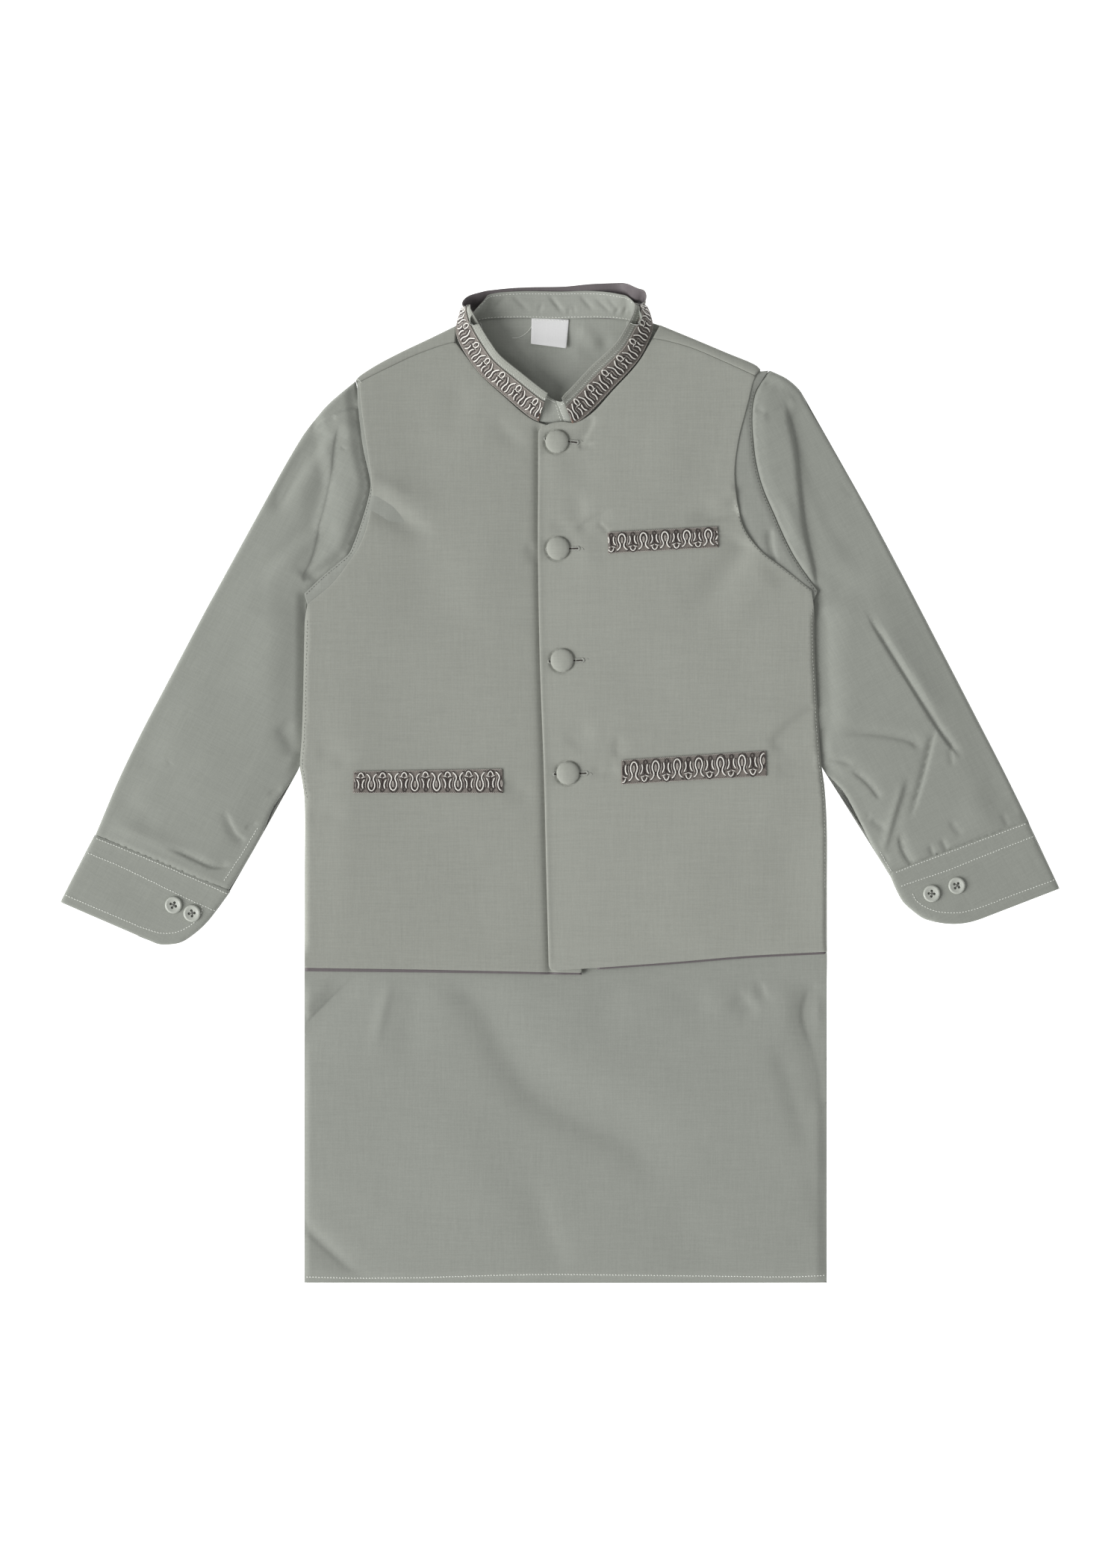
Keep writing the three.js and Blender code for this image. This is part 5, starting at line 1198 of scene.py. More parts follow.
SLEEVE_R_CREASES = Creases([
    # soft folds below the shoulder, then the long ridge beside the armhole
    ([(487, 543), (470, 546), (452, 551), (433, 560), (414, 574)], -1.5, 1.4, 5.5, .06, .12),
    ([(452, 559), (438, 566), (424, 575)], -0.8, 1.2, 2.2, .2, .3),
    ([(478, 552), (484, 575), (488, 610)], -0.6, 6, 2.4, .15, .4),
    ([(456, 566), (450, 590), (447.5, 610), (445.5, 632), (441, 655), (434.5, 684), (428.5, 705), (426, 722), (418, 751),
      (405, 776)], -1.4, 24, 8.0, .10, .06),
    ([(456, 566), (450, 590), (447.5, 610), (445.5, 632), (441, 655), (434.5, 684), (428.5, 705), (426, 722), (418, 751),
      (405, 776)], -0.7, 5.0, 0.9, .10, .06),
    ([(440, 600), (425, 650), (410, 705), (400, 760)], -0.8, 16, 14.0, .2, .2),
    ([(444, 576), (428, 594), (409, 616), (389, 647), (364, 694)], -1.9, 3.6, 5.5, .12, .25),
    ([(436, 600), (418, 630), (402, 668), (396, 710)], 0.9, 6, 7, .3, .4),
    ([(456, 598.5), (460, 600.5), (464, 602.5)], -0.35, .7, .9, .3, .3),
    ([(466, 742), (448, 757), (426, 768), (404, 778)], -0.8, 1.4, 3.5, .2, .1),
    ([(470, 640), (460, 690), (446, 735)], 0.7, 6, 6, .3, .4),
    ([(452, 700), (440, 716), (430, 738)], -0.5, 5, 4, .4, .4),
    # forearm
    ([(370, 968), (384, 985), (398, 1012)], -1.2, 8, 5, .3, .2),
    ([(300, 1080), (308, 1102), (318, 1119), (331, 1127)], -0.9, 1.4, 3.6, .4, .15),
    ([(345, 1102), (336, 1106), (328, 1110)], -0.5, 1.4, 1.4, .2, .3),
    ([(378, 1058), (368, 1060), (358, 1066)], -0.5, 1.6, 1.8, .2, .4),
    ([(216, 1134), (240, 1141), (262, 1151), (287, 1161), (311, 1158)], -1.3, 2.6, 1.2, .35, .15),
    ([(136, 1102), (170, 1110), (215, 1128), (262, 1148)], 0.7, 5, 4, .3, .3),
    ([(186, 988), (200, 1010), (196, 1040)], -0.5, 12, 12, .4, .4),
    ([(330, 800), (300, 880), (260, 960)], -0.7, 16, 18, .4, .4),
    ([(385, 800), (370, 870), (340, 950)], 0.9, 14, 14, .3, .4),
    ([(300, 980), (270, 1040), (240, 1090)], 0.6, 16, 16, .4, .4),
    ([(222, 1018), (228, 1022), (232, 1027)], -0.25, 1.6, 1.6, .4, .4),
    ([(160, 1060), (184, 1086), (214, 1108)], -0.5, 8, 8, .3, .3),
], 1.2)
SLEEVE_L_CREASES = Creases([
    ([(1054, 536), (1060, 566), (1067, 598), (1073, 652), (1079, 704), (1086, 738), (1097, 783), (1104, 822)],
     -2.3, 30.0, 1.7, .10, .12),
    ([(1100, 800), (1098, 860), (1102, 930), (1106, 1000)], -1.8, 8, 4, .2, .2),
    ([(1076, 520), (1070, 530), (1060, 538)], -0.5, 3, 4, .3, .3),
    ([(1021, 557), (1036, 553), (1052, 543), (1063, 533)], -0.6, 2.2, 4.5, .2, .3),
    ([(1020, 513), (1035, 515), (1050, 522)], -0.5, 3, 4, .3, .4),
    ([(1011, 546), (1018, 550), (1026, 553)], -0.4, 1.6, 2, .3, .4),
    ([(1068, 590), (1085, 592), (1104, 596)], -0.35, 1.2, 3.0, .3, .4),
    ([(1120, 625), (1128, 640), (1138.5, 657), (1146, 668)], -0.8, 9, 2.4, .2, .3),
    ([(1150, 700), (1142, 760), (1150, 830)], -0.8, 14, 12, .3, .4),
    ([(1060, 745), (1070, 762), (1086, 784)], -0.5, 2.5, 3, .3, .2),
    ([(1050, 660), (1062, 700), (1074, 740)], 0.6, 4, 4, .3, .3),
    # the long crossing creases
    ([(1158, 812), (1168, 834), (1182, 857), (1200, 886), (1220, 918), (1240, 950), (1258, 978), (1272, 997), (1290, 1017)],
     -1.5, 2.6, 1.1, .22, .12),
    ([(1170, 822), (1200, 870), (1232, 918), (1262, 966)], 0.8, 6, 3.5, .3, .3),
    ([(1272, 998), (1274, 1014), (1275, 1030)], -0.5, 1.4, 2.2, .25, .4),
    ([(1255, 972), (1249, 990), (1244, 1010), (1237, 1038), (1227, 1072), (1216, 1103)], -1.2, 1.1, 2.8, .2, .3),
    ([(1120, 984), (1160, 982), (1202, 988), (1221, 994), (1234, 1006)], -0.95, 4.5, 1.8, .3, .12),
    ([(1108, 1018), (1126, 1019), (1144, 1026)], -0.7, 2.2, 1.6, .15, .3),
    ([(1136, 1030), (1151, 1040), (1164, 1052), (1179, 1072)], -0.95, 2.4, 1.2, .3, .15),
    ([(1212, 1040), (1204, 1066), (1196, 1092), (1184, 1135), (1180, 1148)], 0.9, 2.0, 2.6, .25, .2),
    ([(1222, 1030), (1212, 1062), (1202, 1094), (1192, 1130)], -0.6, 4, 3, .3, .3),
    ([(1150, 1096), (1160, 1096), (1166, 1088)], -0.5, 1.4, 1.4, .2, .3),
    ([(1164, 1098), (1176, 1104), (1186, 1114)], -0.6, 2.2, 2.2, .3, .3),
    ([(1206, 1112), (1206, 1130), (1213, 1147), (1224, 1161)], -1.1, 2.8, 1.4, .3, .12),
    ([(1176, 1140), (1186, 1150), (1188, 1160)], -0.5, 1.6, 1.6, .3, .3),
    ([(1245, 1128), (1247, 1138), (1253, 1152)], -0.7, 1.6, 1.8, .4, .15),
    ([(1260, 1120), (1264, 1131), (1271, 1144)], -0.7, 1.6, 1.8, .4, .15),
    ([(1272, 1096), (1278, 1108), (1290, 1120)], -0.5, 2.4, 2.2, .3, .3),
    ([(1340, 1086), (1345, 1096), (1350, 1108)], -0.4, 1.8, 2.0, .4, .2),
    ([(1368, 1084), (1371, 1094), (1376, 1102)], -0.6, 1.4, 1.6, .4, .15),
    ([(1310, 1040), (1332, 1060), (1352, 1072)], -0.4, 10, 10, .4, .4),
    ([(1290, 1060), (1310, 1090), (1322, 1112)], 0.5, 9, 9, .4, .3),
    ([(1190, 800), (1230, 880), (1270, 950), (1320, 1010)], 0.5, 14, 16, .3, .3),
], 1.2)


CUFF_R = {
    "head": [(126.8, 1118), (175, 1137), (220, 1156), (262, 1174), (309, 1193.5)],
    "under": [(309, 1193.5), (303, 1202), (293.5, 1214), (286, 1225), (274, 1239), (259, 1252), (249, 1259)],
    "end": [(249, 1259), (240, 1263), (224.5, 1265), (212, 1264.3), (201.6, 1260), (160, 1242), (120, 1225), (81, 1208)],
    "top": [(81, 1208), (98, 1174), (115.5, 1141), (126.8, 1118)],
}
CUFF_L = {
    "head": [(1376.5, 1099.5), (1330, 1117), (1269.6, 1139), (1225, 1156), (1190.5, 1169.5)],
    "under": [(1190.5, 1169.5), (1199, 1190), (1209, 1208), (1222, 1220), (1236, 1230), (1250, 1234.5)],
    "end": [(1250, 1234.5), (1266, 1237), (1282, 1237.4), (1303, 1234), (1360, 1212), (1419, 1190)],
    "top": [(1419, 1190), (1403, 1156), (1390, 1130), (1376.5, 1099.5)],
}

def sleeve_top(x, y, top, under, head, seam, creases, sign, head_band):
    d_top, _, _ = nearest(top, x, y)
    d_under, _, _ = nearest(under, x, y)
    d_head, s_head, _ = nearest(head, x, y)
    d_seam, s_seam, _ = nearest(seam, x, y)
    full = 3.8 + 1.5 * smooth((np.minimum(d_top, d_under) - 2) / 24)
    full = full + (2.6 if sign < 0 else 0.9) * smooth((d_head - 1) / 8) * (1 - smooth((d_head - head_band) / 10)) * smooth((y - 118) / 40)
    full = full + creases(x, y)
    e1 = np.sqrt(np.maximum(0, 1 - (1 - np.clip(d_top / 2.6, 0, 1)) ** 2))
    folded = np.sqrt(np.maximum(0, 1 - (1 - np.clip(d_under / 3.0, 0, 1)) ** 2))
    beside = smooth((y + 2) / 16)
    e2 = folded * (1 - beside) + smooth(d_under / (7.0 if sign < 0 else 10.0)) * beside
    z = FOLD_HEIGHT + (np.maximum(full, 2.5) - FOLD_HEIGHT) * np.minimum(e1, e2)
    # down to the armhole seam, and on under the front as a seam allowance
    k = np.clip((d_head - 0.1) / 1.8, 0, 1)
    k = np.where((s_head * sign < 0) | (d_head > 3.6), k, 0)
    z = TUCK + np.minimum(z - TUCK, 0) + np.maximum(z - TUCK, 0) * np.sqrt(np.maximum(0, 1 - (1 - k) ** 2))
    # down to the cuff's seam, and on inside the cuff
    k = np.where(s_seam * sign < 0, np.clip(d_seam / 2.2, 0, 1), 0)
    return np.minimum(z, CUFF_TUCK) + np.maximum(z - CUFF_TUCK, 0) * np.sqrt(np.maximum(0, 1 - (1 - k) ** 2))


def build_sleeve(name, cuff_head, shape, seam, creases, sign, material, head_band):
    top = px(shape["top"])
    end = px(shape["end"])
    under = px(shape["under"])
    line = px(seam)[::-1].copy()
    head = line.copy()
    head[:, 0] -= sign * 2.4 * smooth(np.minimum(np.arange(len(head)), np.arange(len(head))[::-1]) / 1.0)
    head[0] = under[-1]
    head[-1] = top[0]
    segs = [top, end[:2], end[1:3], end[2:], under, head]
    lines = {k: catmull(v, 1.5) for k, v in (("top", top), ("under", under), ("head", line))}
    cuff_line = catmull(px(cuff_head), 2.0)

    def top_fn(x, y):
        return sleeve_top(x, y, lines["top"], lines["under"], lines["head"], cuff_line, creases, sign,
                          head_band)

    def bottom_fn(x, y):
        d1, _, _ = nearest(lines["top"], x, y)
        d2, _, _ = nearest(lines["under"], x, y)
        d = np.minimum(d1, d2)
        r = 1.6
        return FOLD_HEIGHT * (1 - np.sqrt(np.maximum(0, 1 - (1 - np.clip(d / r, 0, 1)) ** 2)))

    ob = sleeve_skin(name, segs, top_fn, bottom_fn, [2, 5], material, 0.45, 2.0, creases.fine_points(),
                     (0.06, 0.25, 0.6, 1.2, 2.2, 3.6))
    return ob, top_fn


sleeve_right, sleeve_right_top = build_sleeve(
    "kameez_sleeve_right_cloth", CUFF_R["head"], SLEEVE_R, SEAM_RIGHT, SLEEVE_R_CREASES, -1, MAT_SLEEVE_R, 22)
finish_piece(sleeve_right, ["kameez_sleeve_right"])
sleeve_left, sleeve_left_top = build_sleeve(
    "kameez_sleeve_left_cloth", CUFF_L["head"], SLEEVE_L, SEAM_LEFT, SLEEVE_L_CREASES, 1, MAT_SLEEVE_L, 24)
finish_piece(sleeve_left, ["kameez_sleeve_left"])

# ---------------------------------------------------------------------- cuffs

CUFF_CREASES_R = Creases([
    ([(150, 1180), (200, 1200), (250, 1212)], -0.25, 9, 9, .4, .4),
    ([(100, 1190), (150, 1215), (200, 1240)], 0.3, 9, 9, .3, .3),
])
CUFF_CREASES_L = Creases([
    ([(1290, 1172), (1330, 1160), (1380, 1150)], -0.25, 9, 9, .4, .4),
    ([(1230, 1212), (1260, 1222), (1300, 1220)], 0.25, 7, 7, .3, .3),
])


def build_cuff(name, shape, creases, material):
    segs = [px(shape[k]) for k in ("head", "under", "end", "top")]
    lines = {k: catmull(px(shape[k]), 2.0) for k in shape}

    def top_fn(x, y):
        d1, _, _ = nearest(lines["top"], x, y)
        d2, _, _ = nearest(lines["under"], x, y)
        d3, _, _ = nearest(lines["end"], x, y)
        d4, _, _ = nearest(lines["head"], x, y)
        h = 4.0 + creases(x, y) + 0.25 * smooth(d4 / 2) * (1 - smooth((d4 - 2) / 3)) - 0.5 * (1 - smooth(d3 / 1.0))
        h = h - 0.25 * (1 - smooth(d4 / 0.7))
        e1 = np.sqrt(np.maximum(0, 1 - (1 - np.clip(d1 / 2.6, 0, 1)) ** 2))
        e2 = np.sqrt(np.maximum(0, 1 - (1 - np.clip(d2 / 2.6, 0, 1)) ** 2))
        return 1.7 + (h - 1.7) * np.minimum(e1, e2)

    def bottom_fn(x, y):
        d1, _, _ = nearest(lines["top"], x, y)
        d2, _, _ = nearest(lines["under"], x, y)
        d = np.minimum(d1, d2)
        return FOLD_HEIGHT * (1 - np.sqrt(np.maximum(0, 1 - (1 - np.clip(d / 1.6, 0, 1)) ** 2)))

    ob = sleeve_skin(name, segs, top_fn, bottom_fn, [0, 2], material, 0.8, 2.2, None, (0.1, 0.35, 0.8, 1.6))
    return ob, top_fn


cuff_right, cuff_right_top = build_cuff("kameez_cuff_right_cloth", CUFF_R, CUFF_CREASES_R, MAT_SLEEVE_R)
finish_piece(cuff_right, ["kameez_cuff_right"])
cuff_left, cuff_left_top = build_cuff("kameez_cuff_left_cloth", CUFF_L, CUFF_CREASES_L, MAT_SLEEVE_L)
finish_piece(cuff_left, ["kameez_cuff_left"])

# --------------------------------------------------------------------- collars
# Neck seam, from the wearer's right front end behind the neck to the left.
# lean: 0 lies flat towards the neck's middle, 90 stands, near 180 lies outwards.
COLLAR = [
    # x, y, z, lean, way it lies in plan where that isn't square to the seam
    (3.4, 236.6, 4.3, 14, (-0.37, 0.93)), (-5.0, 237.0, 4.3, 16, (-0.1, 0.99)),
    (-13.5, 237.9, 4.3, 28, (0.31, 0.95)), (-20.8, 242.3, 4.3, 30, None), (-36.5, 256.0, 4.3, 35, None),
    (-50.7, 268.8, 4.3, 38, None), (-60.0, 280.5, 4.3, 46, None), (-64.0, 290.8, 4.3, 68, None),
    (-62.2, 298.0, 4.5, 94, None), (-55.6, 302.6, 4.8, 126, None), (-43.9, 304.5, 5.0, 148, None),
    (-24.3, 305.0, 5.2, 160, None), (-0.2, 304.5, 5.0, 164, None), (19.8, 305.0, 5.2, 162, None),
    (37.5, 304.5, 5.0, 148, None), (48.3, 302.6, 4.8, 128, None), (54.3, 298.0, 4.5, 98, None),
    (56.6, 290.8, 4.3, 68, None), (50.2, 277.6, 4.3, 38, None), (34.1, 259.2, 4.3, 24, None),
    (20.1, 244.3, 4.3, 24, None), (8.6, 235.0, 4.3, 28, (-0.39, 0.92)), (3.0, 236.7, 5.3, 14, (-0.37, 0.93)),
]
NECK_MIDDLE = np.array([-3.5, 274.0])
ROWS = len(COLLAR)


def catmull_rows(values):
    """Curve through the rows, evaluated at row numbers."""
    p = np.asarray(values, float)
    ext = np.vstack([2 * p[0] - p[1], p, 2 * p[-1] - p[-2]])

    def at(t):
        t = np.clip(np.asarray(t, float), 0, len(p) - 1 - 1e-9)
        i = t.astype(int)
        u = (t - i)[:, None]
        a, b, c, d = ext[i], ext[i + 1], ext[i + 2], ext[i + 3]
        return 0.5 * (2 * b + (c - a) * u + (2 * a - 5 * b + 4 * c - d) * u ** 2 + (3 * b - a - 3 * c + d) * u ** 3)
    return at


# The waistcoat's collar stands a little outside and turns over at the two back corners.
WAISTCOAT_COLLAR = [
    (-13.5, 237.9, 4.3, 28, (0.31, 0.95)), (-20.8, 242.3, 4.3, 30, None), (-36.5, 256.0, 4.3, 35, None),
    (-50.7, 268.8, 4.3, 38, None), (-59.6, 280.7, 4.3, 38, None), (-65.4, 291.7, 4.3, 41, (0.85, 0.53)),
    (-66.4, 299.2, 4.1, 51, (0.86, 0.50)), (-64.2, 307.0, 3.9, 68, (0.90, 0.42)), (-61.3, 312.3, 3.9, 81, (0.95, 0.15)),
    (-54.5, 306.6, 4.3, 122, (0.53, -0.85)), (-49.5, 304.9, 4.5, 136, (0.20, -0.98)),
    (-43.9, 304.5, 5.0, 148, (0.02, -1.0)), (-24.3, 305.0, 5.2, 160, None), (-0.2, 304.5, 5.0, 164, None),
    (19.8, 305.0, 5.2, 162, None), (37.5, 304.5, 5.0, 160, (-0.1, -1.0)), (47.0, 306.0, 4.6, 133, (-0.16, -0.99)),
    (50.5, 311.3, 4.3, 112, (-0.55, -0.83)), (54.7, 313.1, 3.9, 73, (-0.95, 0.1)), (58.1, 307.6, 3.9, 58, (-0.85, 0.52)),
    (59.7, 300.6, 4.1, 47, (-0.83, 0.55)), (58.0, 292.7, 4.3, 40, (-0.85, 0.52)), (50.2, 277.6, 4.3, 34, None),
    (34.1, 259.2, 4.3, 24, None), (20.1, 244.3, 4.3, 24, None), (8.6, 235.0, 4.3, 28, (-0.39, 0.92)),
]
TURNED = {  # rows of the kameez collar that differ: x, y, z, lean, way it lies
    6: (-59.0, 280.0, 4.2, 38, None), 7: (-62.2, 290.2, 4.2, 41, (0.87, 0.50)), 8: (-59.8, 297.4, 4.2, 61, (0.88, 0.45)),
    9: (-55.6, 302.6, 4.8, 122, (-0.30, -0.95)), 14: (37.5, 304.5, 5.0, 148, None), 15: (48.3, 302.6, 4.8, 138, (0.08, -1.0)),
    16: (52.4, 297.6, 4.2, 60, (-0.86, 0.50)), 17: (54.8, 290.2, 4.2, 41, (-0.87, 0.50)), 18: (49.6, 277.2, 4.2, 34, None),
}


class Band:
    """A collar's neck seam with its lean and the way it lies, along its own length."""

    def __init__(self, rows):
        self.rows = len(rows)
        self.seam = catmull_rows([r[:3] for r in rows])
        self.lean = catmull_rows([[r[3]] for r in rows])
        sides = []
        for i, r in enumerate(rows):
            if r[4] is not None:
                d = np.array(r[4], float)
            else:
                a, b = self.seam([max(i - 1e-3, 0)])[0], self.seam([min(i + 1e-3, self.rows - 1)])[0]
                d = np.array([-(b - a)[1], (b - a)[0]])
                if d @ (NECK_MIDDLE - np.array(r[:2])) < 0:
                    d = -d
            sides.append(d / np.linalg.norm(d))
        self.side = catmull_rows(sides)
        self.t = np.linspace(0, self.rows - 1, 1600)
        self.s = np.concatenate([[0], np.cumsum(np.linalg.norm(np.diff(self.seam(self.t), axis=0), axis=1))])


BANDS = {
    "kameez": Band([TURNED.get(i, r) for i, r in enumerate(COLLAR)]),
    "waistcoat": Band(WAISTCOAT_COLLAR),
}


def row_of(arc, which="kameez"):
    return np.interp(arc, BANDS[which].s, BANDS[which].t)


def arc_of(row, which="kameez"):
    return float(np.interp(row, BANDS[which].t, BANDS[which].s))


def band_axes(arc, which="waistcoat"):
    band = BANDS[which]
    t = row_of(np.asarray(arc, float), which)
    p = band.seam(t)
    a = np.radians(band.lean(t)[:, 0])
    s = band.side(t)
    s = s / np.linalg.norm(s, axis=1)[:, None]
    s3 = np.column_stack([s, np.zeros(len(s))])
    z = np.array([0, 0, 1.0])
    up = s3 * np.cos(a)[:, None] + z * np.sin(a)[:, None]
    out = -s3 * np.sin(a)[:, None] + z * np.cos(a)[:, None]
    return p, up, out


def on_band(arc, v, o, which="waistcoat"):
    p, up, out = band_axes(arc, which)
    return p + up * np.asarray(v, float)[:, None] + out * np.asarray(o, float)[:, None]


def band_mesh(bag, arc0, arc1, v0, v1, o0, o1, step=1.0, across=14, mats=(0, 0), wrinkle=None, which="waistcoat"):
    """A closed band along the neck seam. mats: outside, inside."""
    arcs = np.linspace(arc0, arc1, int((arc1 - arc0) / step) + 1)
    n = len(arcs)
    lo = v0(arcs) if callable(v0) else np.full(n, float(v0))
    hi = v1(arcs) if callable(v1) else np.full(n, float(v1))
    r = (o1 - o0) / 2
    mid = (o0 + o1) / 2
    section, face = [], []
    for u in np.linspace(0, 1, across):
        section.append(("flat", u, 1))
        face.append(0)
    for a in (45, 90, 135):
        section.append(("top", a, 0))
        face.append(0 if a < 90 else 1)
    for u in np.linspace(1, 0, across):
        section.append(("flat", u, -1))
        face.append(1)
    for a in (225, 270, 315):
        section.append(("bottom", a, 0))
        face.append(1)
    pos = []
    for kind, u, sgn in section:
        if kind == "flat":
            v = lo + r + (hi - lo - 2 * r) * u
            o = np.full(n, mid + sgn * r)
        elif kind == "top":
            q = math.radians(u)
            v = hi - r + r * math.sin(q)
            o = np.full(n, mid + r * math.cos(q))
        else:
            q = math.radians(u - 180)
            v = lo + r - r * math.sin(q)
            o = np.full(n, mid - r * math.cos(q))
        if wrinkle is not None:
            o = o + wrinkle(arcs, v) * smooth((v - lo) / 2.5)
        pos.append(on_band(arcs, v, o, which))
    g = np.stack(pos, 1)
    k = len(section)
    i, j = np.meshgrid(np.arange(n - 1), np.arange(k), indexing="ij")
    j2 = (j + 1) % k
    quads = np.stack([i * k + j, i * k + j2, (i + 1) * k + j2, (i + 1) * k + j], -1).reshape(-1, 4)
    v = g.reshape(-1, 3)
    p = v[quads] - v.mean(0)
    vol = np.einsum("ij,ij->i", p[:, 0], np.cross(p[:, 1], p[:, 2])).sum() + \
        np.einsum("ij,ij->i", p[:, 0], np.cross(p[:, 2], p[:, 3])).sum()
    caps = [np.arange(k)[::-1][None], (np.arange(k) + (n - 1) * k)[None]]
    mat_of = np.array([mats[w] for w in face])
    qm = np.tile(mat_of, n - 1)
    if vol < 0:
        quads = quads[:, ::-1]
        caps = [c[:, ::-1] for c in caps]
    off = bag.n
    bag.v.append(v)
    bag.n += len(v)
    bag.f.extend((quads + off).tolist())
    bag.m.extend(qm.tolist())
    for c in caps:
        bag.f.extend((c + off).tolist())
        bag.m.append(mats[0])


A_START, A_END = 0.0, float(BANDS["kameez"].s[-1])
W_START, W_END = 0.0, float(BANDS["waistcoat"].s[-1])
BACK_MID = arc_of(12)


def kameez_band_height(arc):
    a = np.radians(BANDS["kameez"].lean(row_of(arc))[:, 0])
    end = np.interp(row_of(arc), [0, 1, 2, 4, 5, 7, 8, 9, 14.5, 15, 16, 17, 19, 21, ROWS - 1],
                    [0.72, 0.78, 0.88, 0.93, 0.90, 0.84, 0.82, 1, 1, 0.98, 0.82, 0.84, 0.93, 0.88, 0.72])
    return (18.5 + 3.5 * np.clip(0.5 + np.cos(a) * 0.7, 0, 1)) * end


def waistcoat_band_height(arc):
    row = row_of(arc, "waistcoat")
    return np.interp(row, [0, 8, 9, 10, 11, 12, 13.3, 15, 16, 17, 18, 20, 25],
                     [22, 22, 21.6, 21.4, 20.8, 20.6, 21.6, 24.4, 25.2, 24.0, 23.0, 22, 22])


WRINKLES = [  # on the inside behind the neck: from (arc from the middle, height) to, depth, half width
    (-52, 3, -45, 12, 0.5, 1.6), (-44, 6, -35, 14, 0.42, 1.5), (-30, 15, -21, 6, 0.5, 1.6),
    (-14, 4, -11, 10, 0.3, 1.2), (-6, 15, 2, 5, 0.6, 1.5), (6, 3, 7, 8, 0.3, 1.2), (10, 4, 9, 9, 0.3, 1.2),
    (14, 15, 22, 6, 0.5, 1.4), (24, 13, 33, 5, 0.55, 1.3), (31, 14, 38, 7, 0.4, 1.2), (36, 3, 39, 9, 0.4, 1.2),
    (42, 4, 45, 10, 0.45, 1.2), (47, 5, 49, 9, 0.35, 1.1),
]


def collar_wrinkle(arc, v):
    x = arc - BACK_MID
    z = np.zeros_like(x)
    for a0, v0, a1, v1, h, w in WRINKLES:
        dx, dy = a1 - a0, v1 - v0
        L2 = dx * dx + dy * dy
        t = np.clip(((x - a0) * dx + (v - v0) * dy) / L2, 0, 1)
        d = np.hypot(x - a0 - t * dx, v - v0 - t * dy)
        z -= h * np.exp(-(d / w) ** 2) * np.sin(np.pi * np.clip(t * 0.9 + 0.05, 0, 1)) ** 0.7
    return -z


bag = Bag()
band_mesh(bag, A_START, A_END, 0.0, kameez_band_height, 0.0, 0.95, mats=(0, 0), across=18, step=1.0,
          wrinkle=lambda a, v: collar_wrinkle(a, v) * 1.75, which="kameez")
# painted light: the kameez collar takes the same lighter copy of the cloth
kameez_collar = bag.make("kameez_collar_cloth", [MAT_INNER_PAINTED_LIGHT])
finish_piece(kameez_collar, ["kameez_collar"])

bag = Bag()
band_mesh(bag, W_START, W_END, -0.5, waistcoat_band_height, 1.1, 2.05, mats=(0, 1), across=16, step=0.8)
waistcoat_collar = bag.make("waistcoat_collar_cloth", [MAT_CLOTH, MAT_LINING])
finish_piece(waistcoat_collar, ["waistcoat_collar"])

bag = Bag()
band_mesh(bag, W_START + 0.3, W_END - 0.3, 0.6, 15.6, 2.15, 2.8, mats=(0, 0), across=8, step=0.8)
collar_ribbon = bag.make("collar_ribbon_band", [MAT_RIBBON])
finish_piece(collar_ribbon, ["collar_ribbon"])


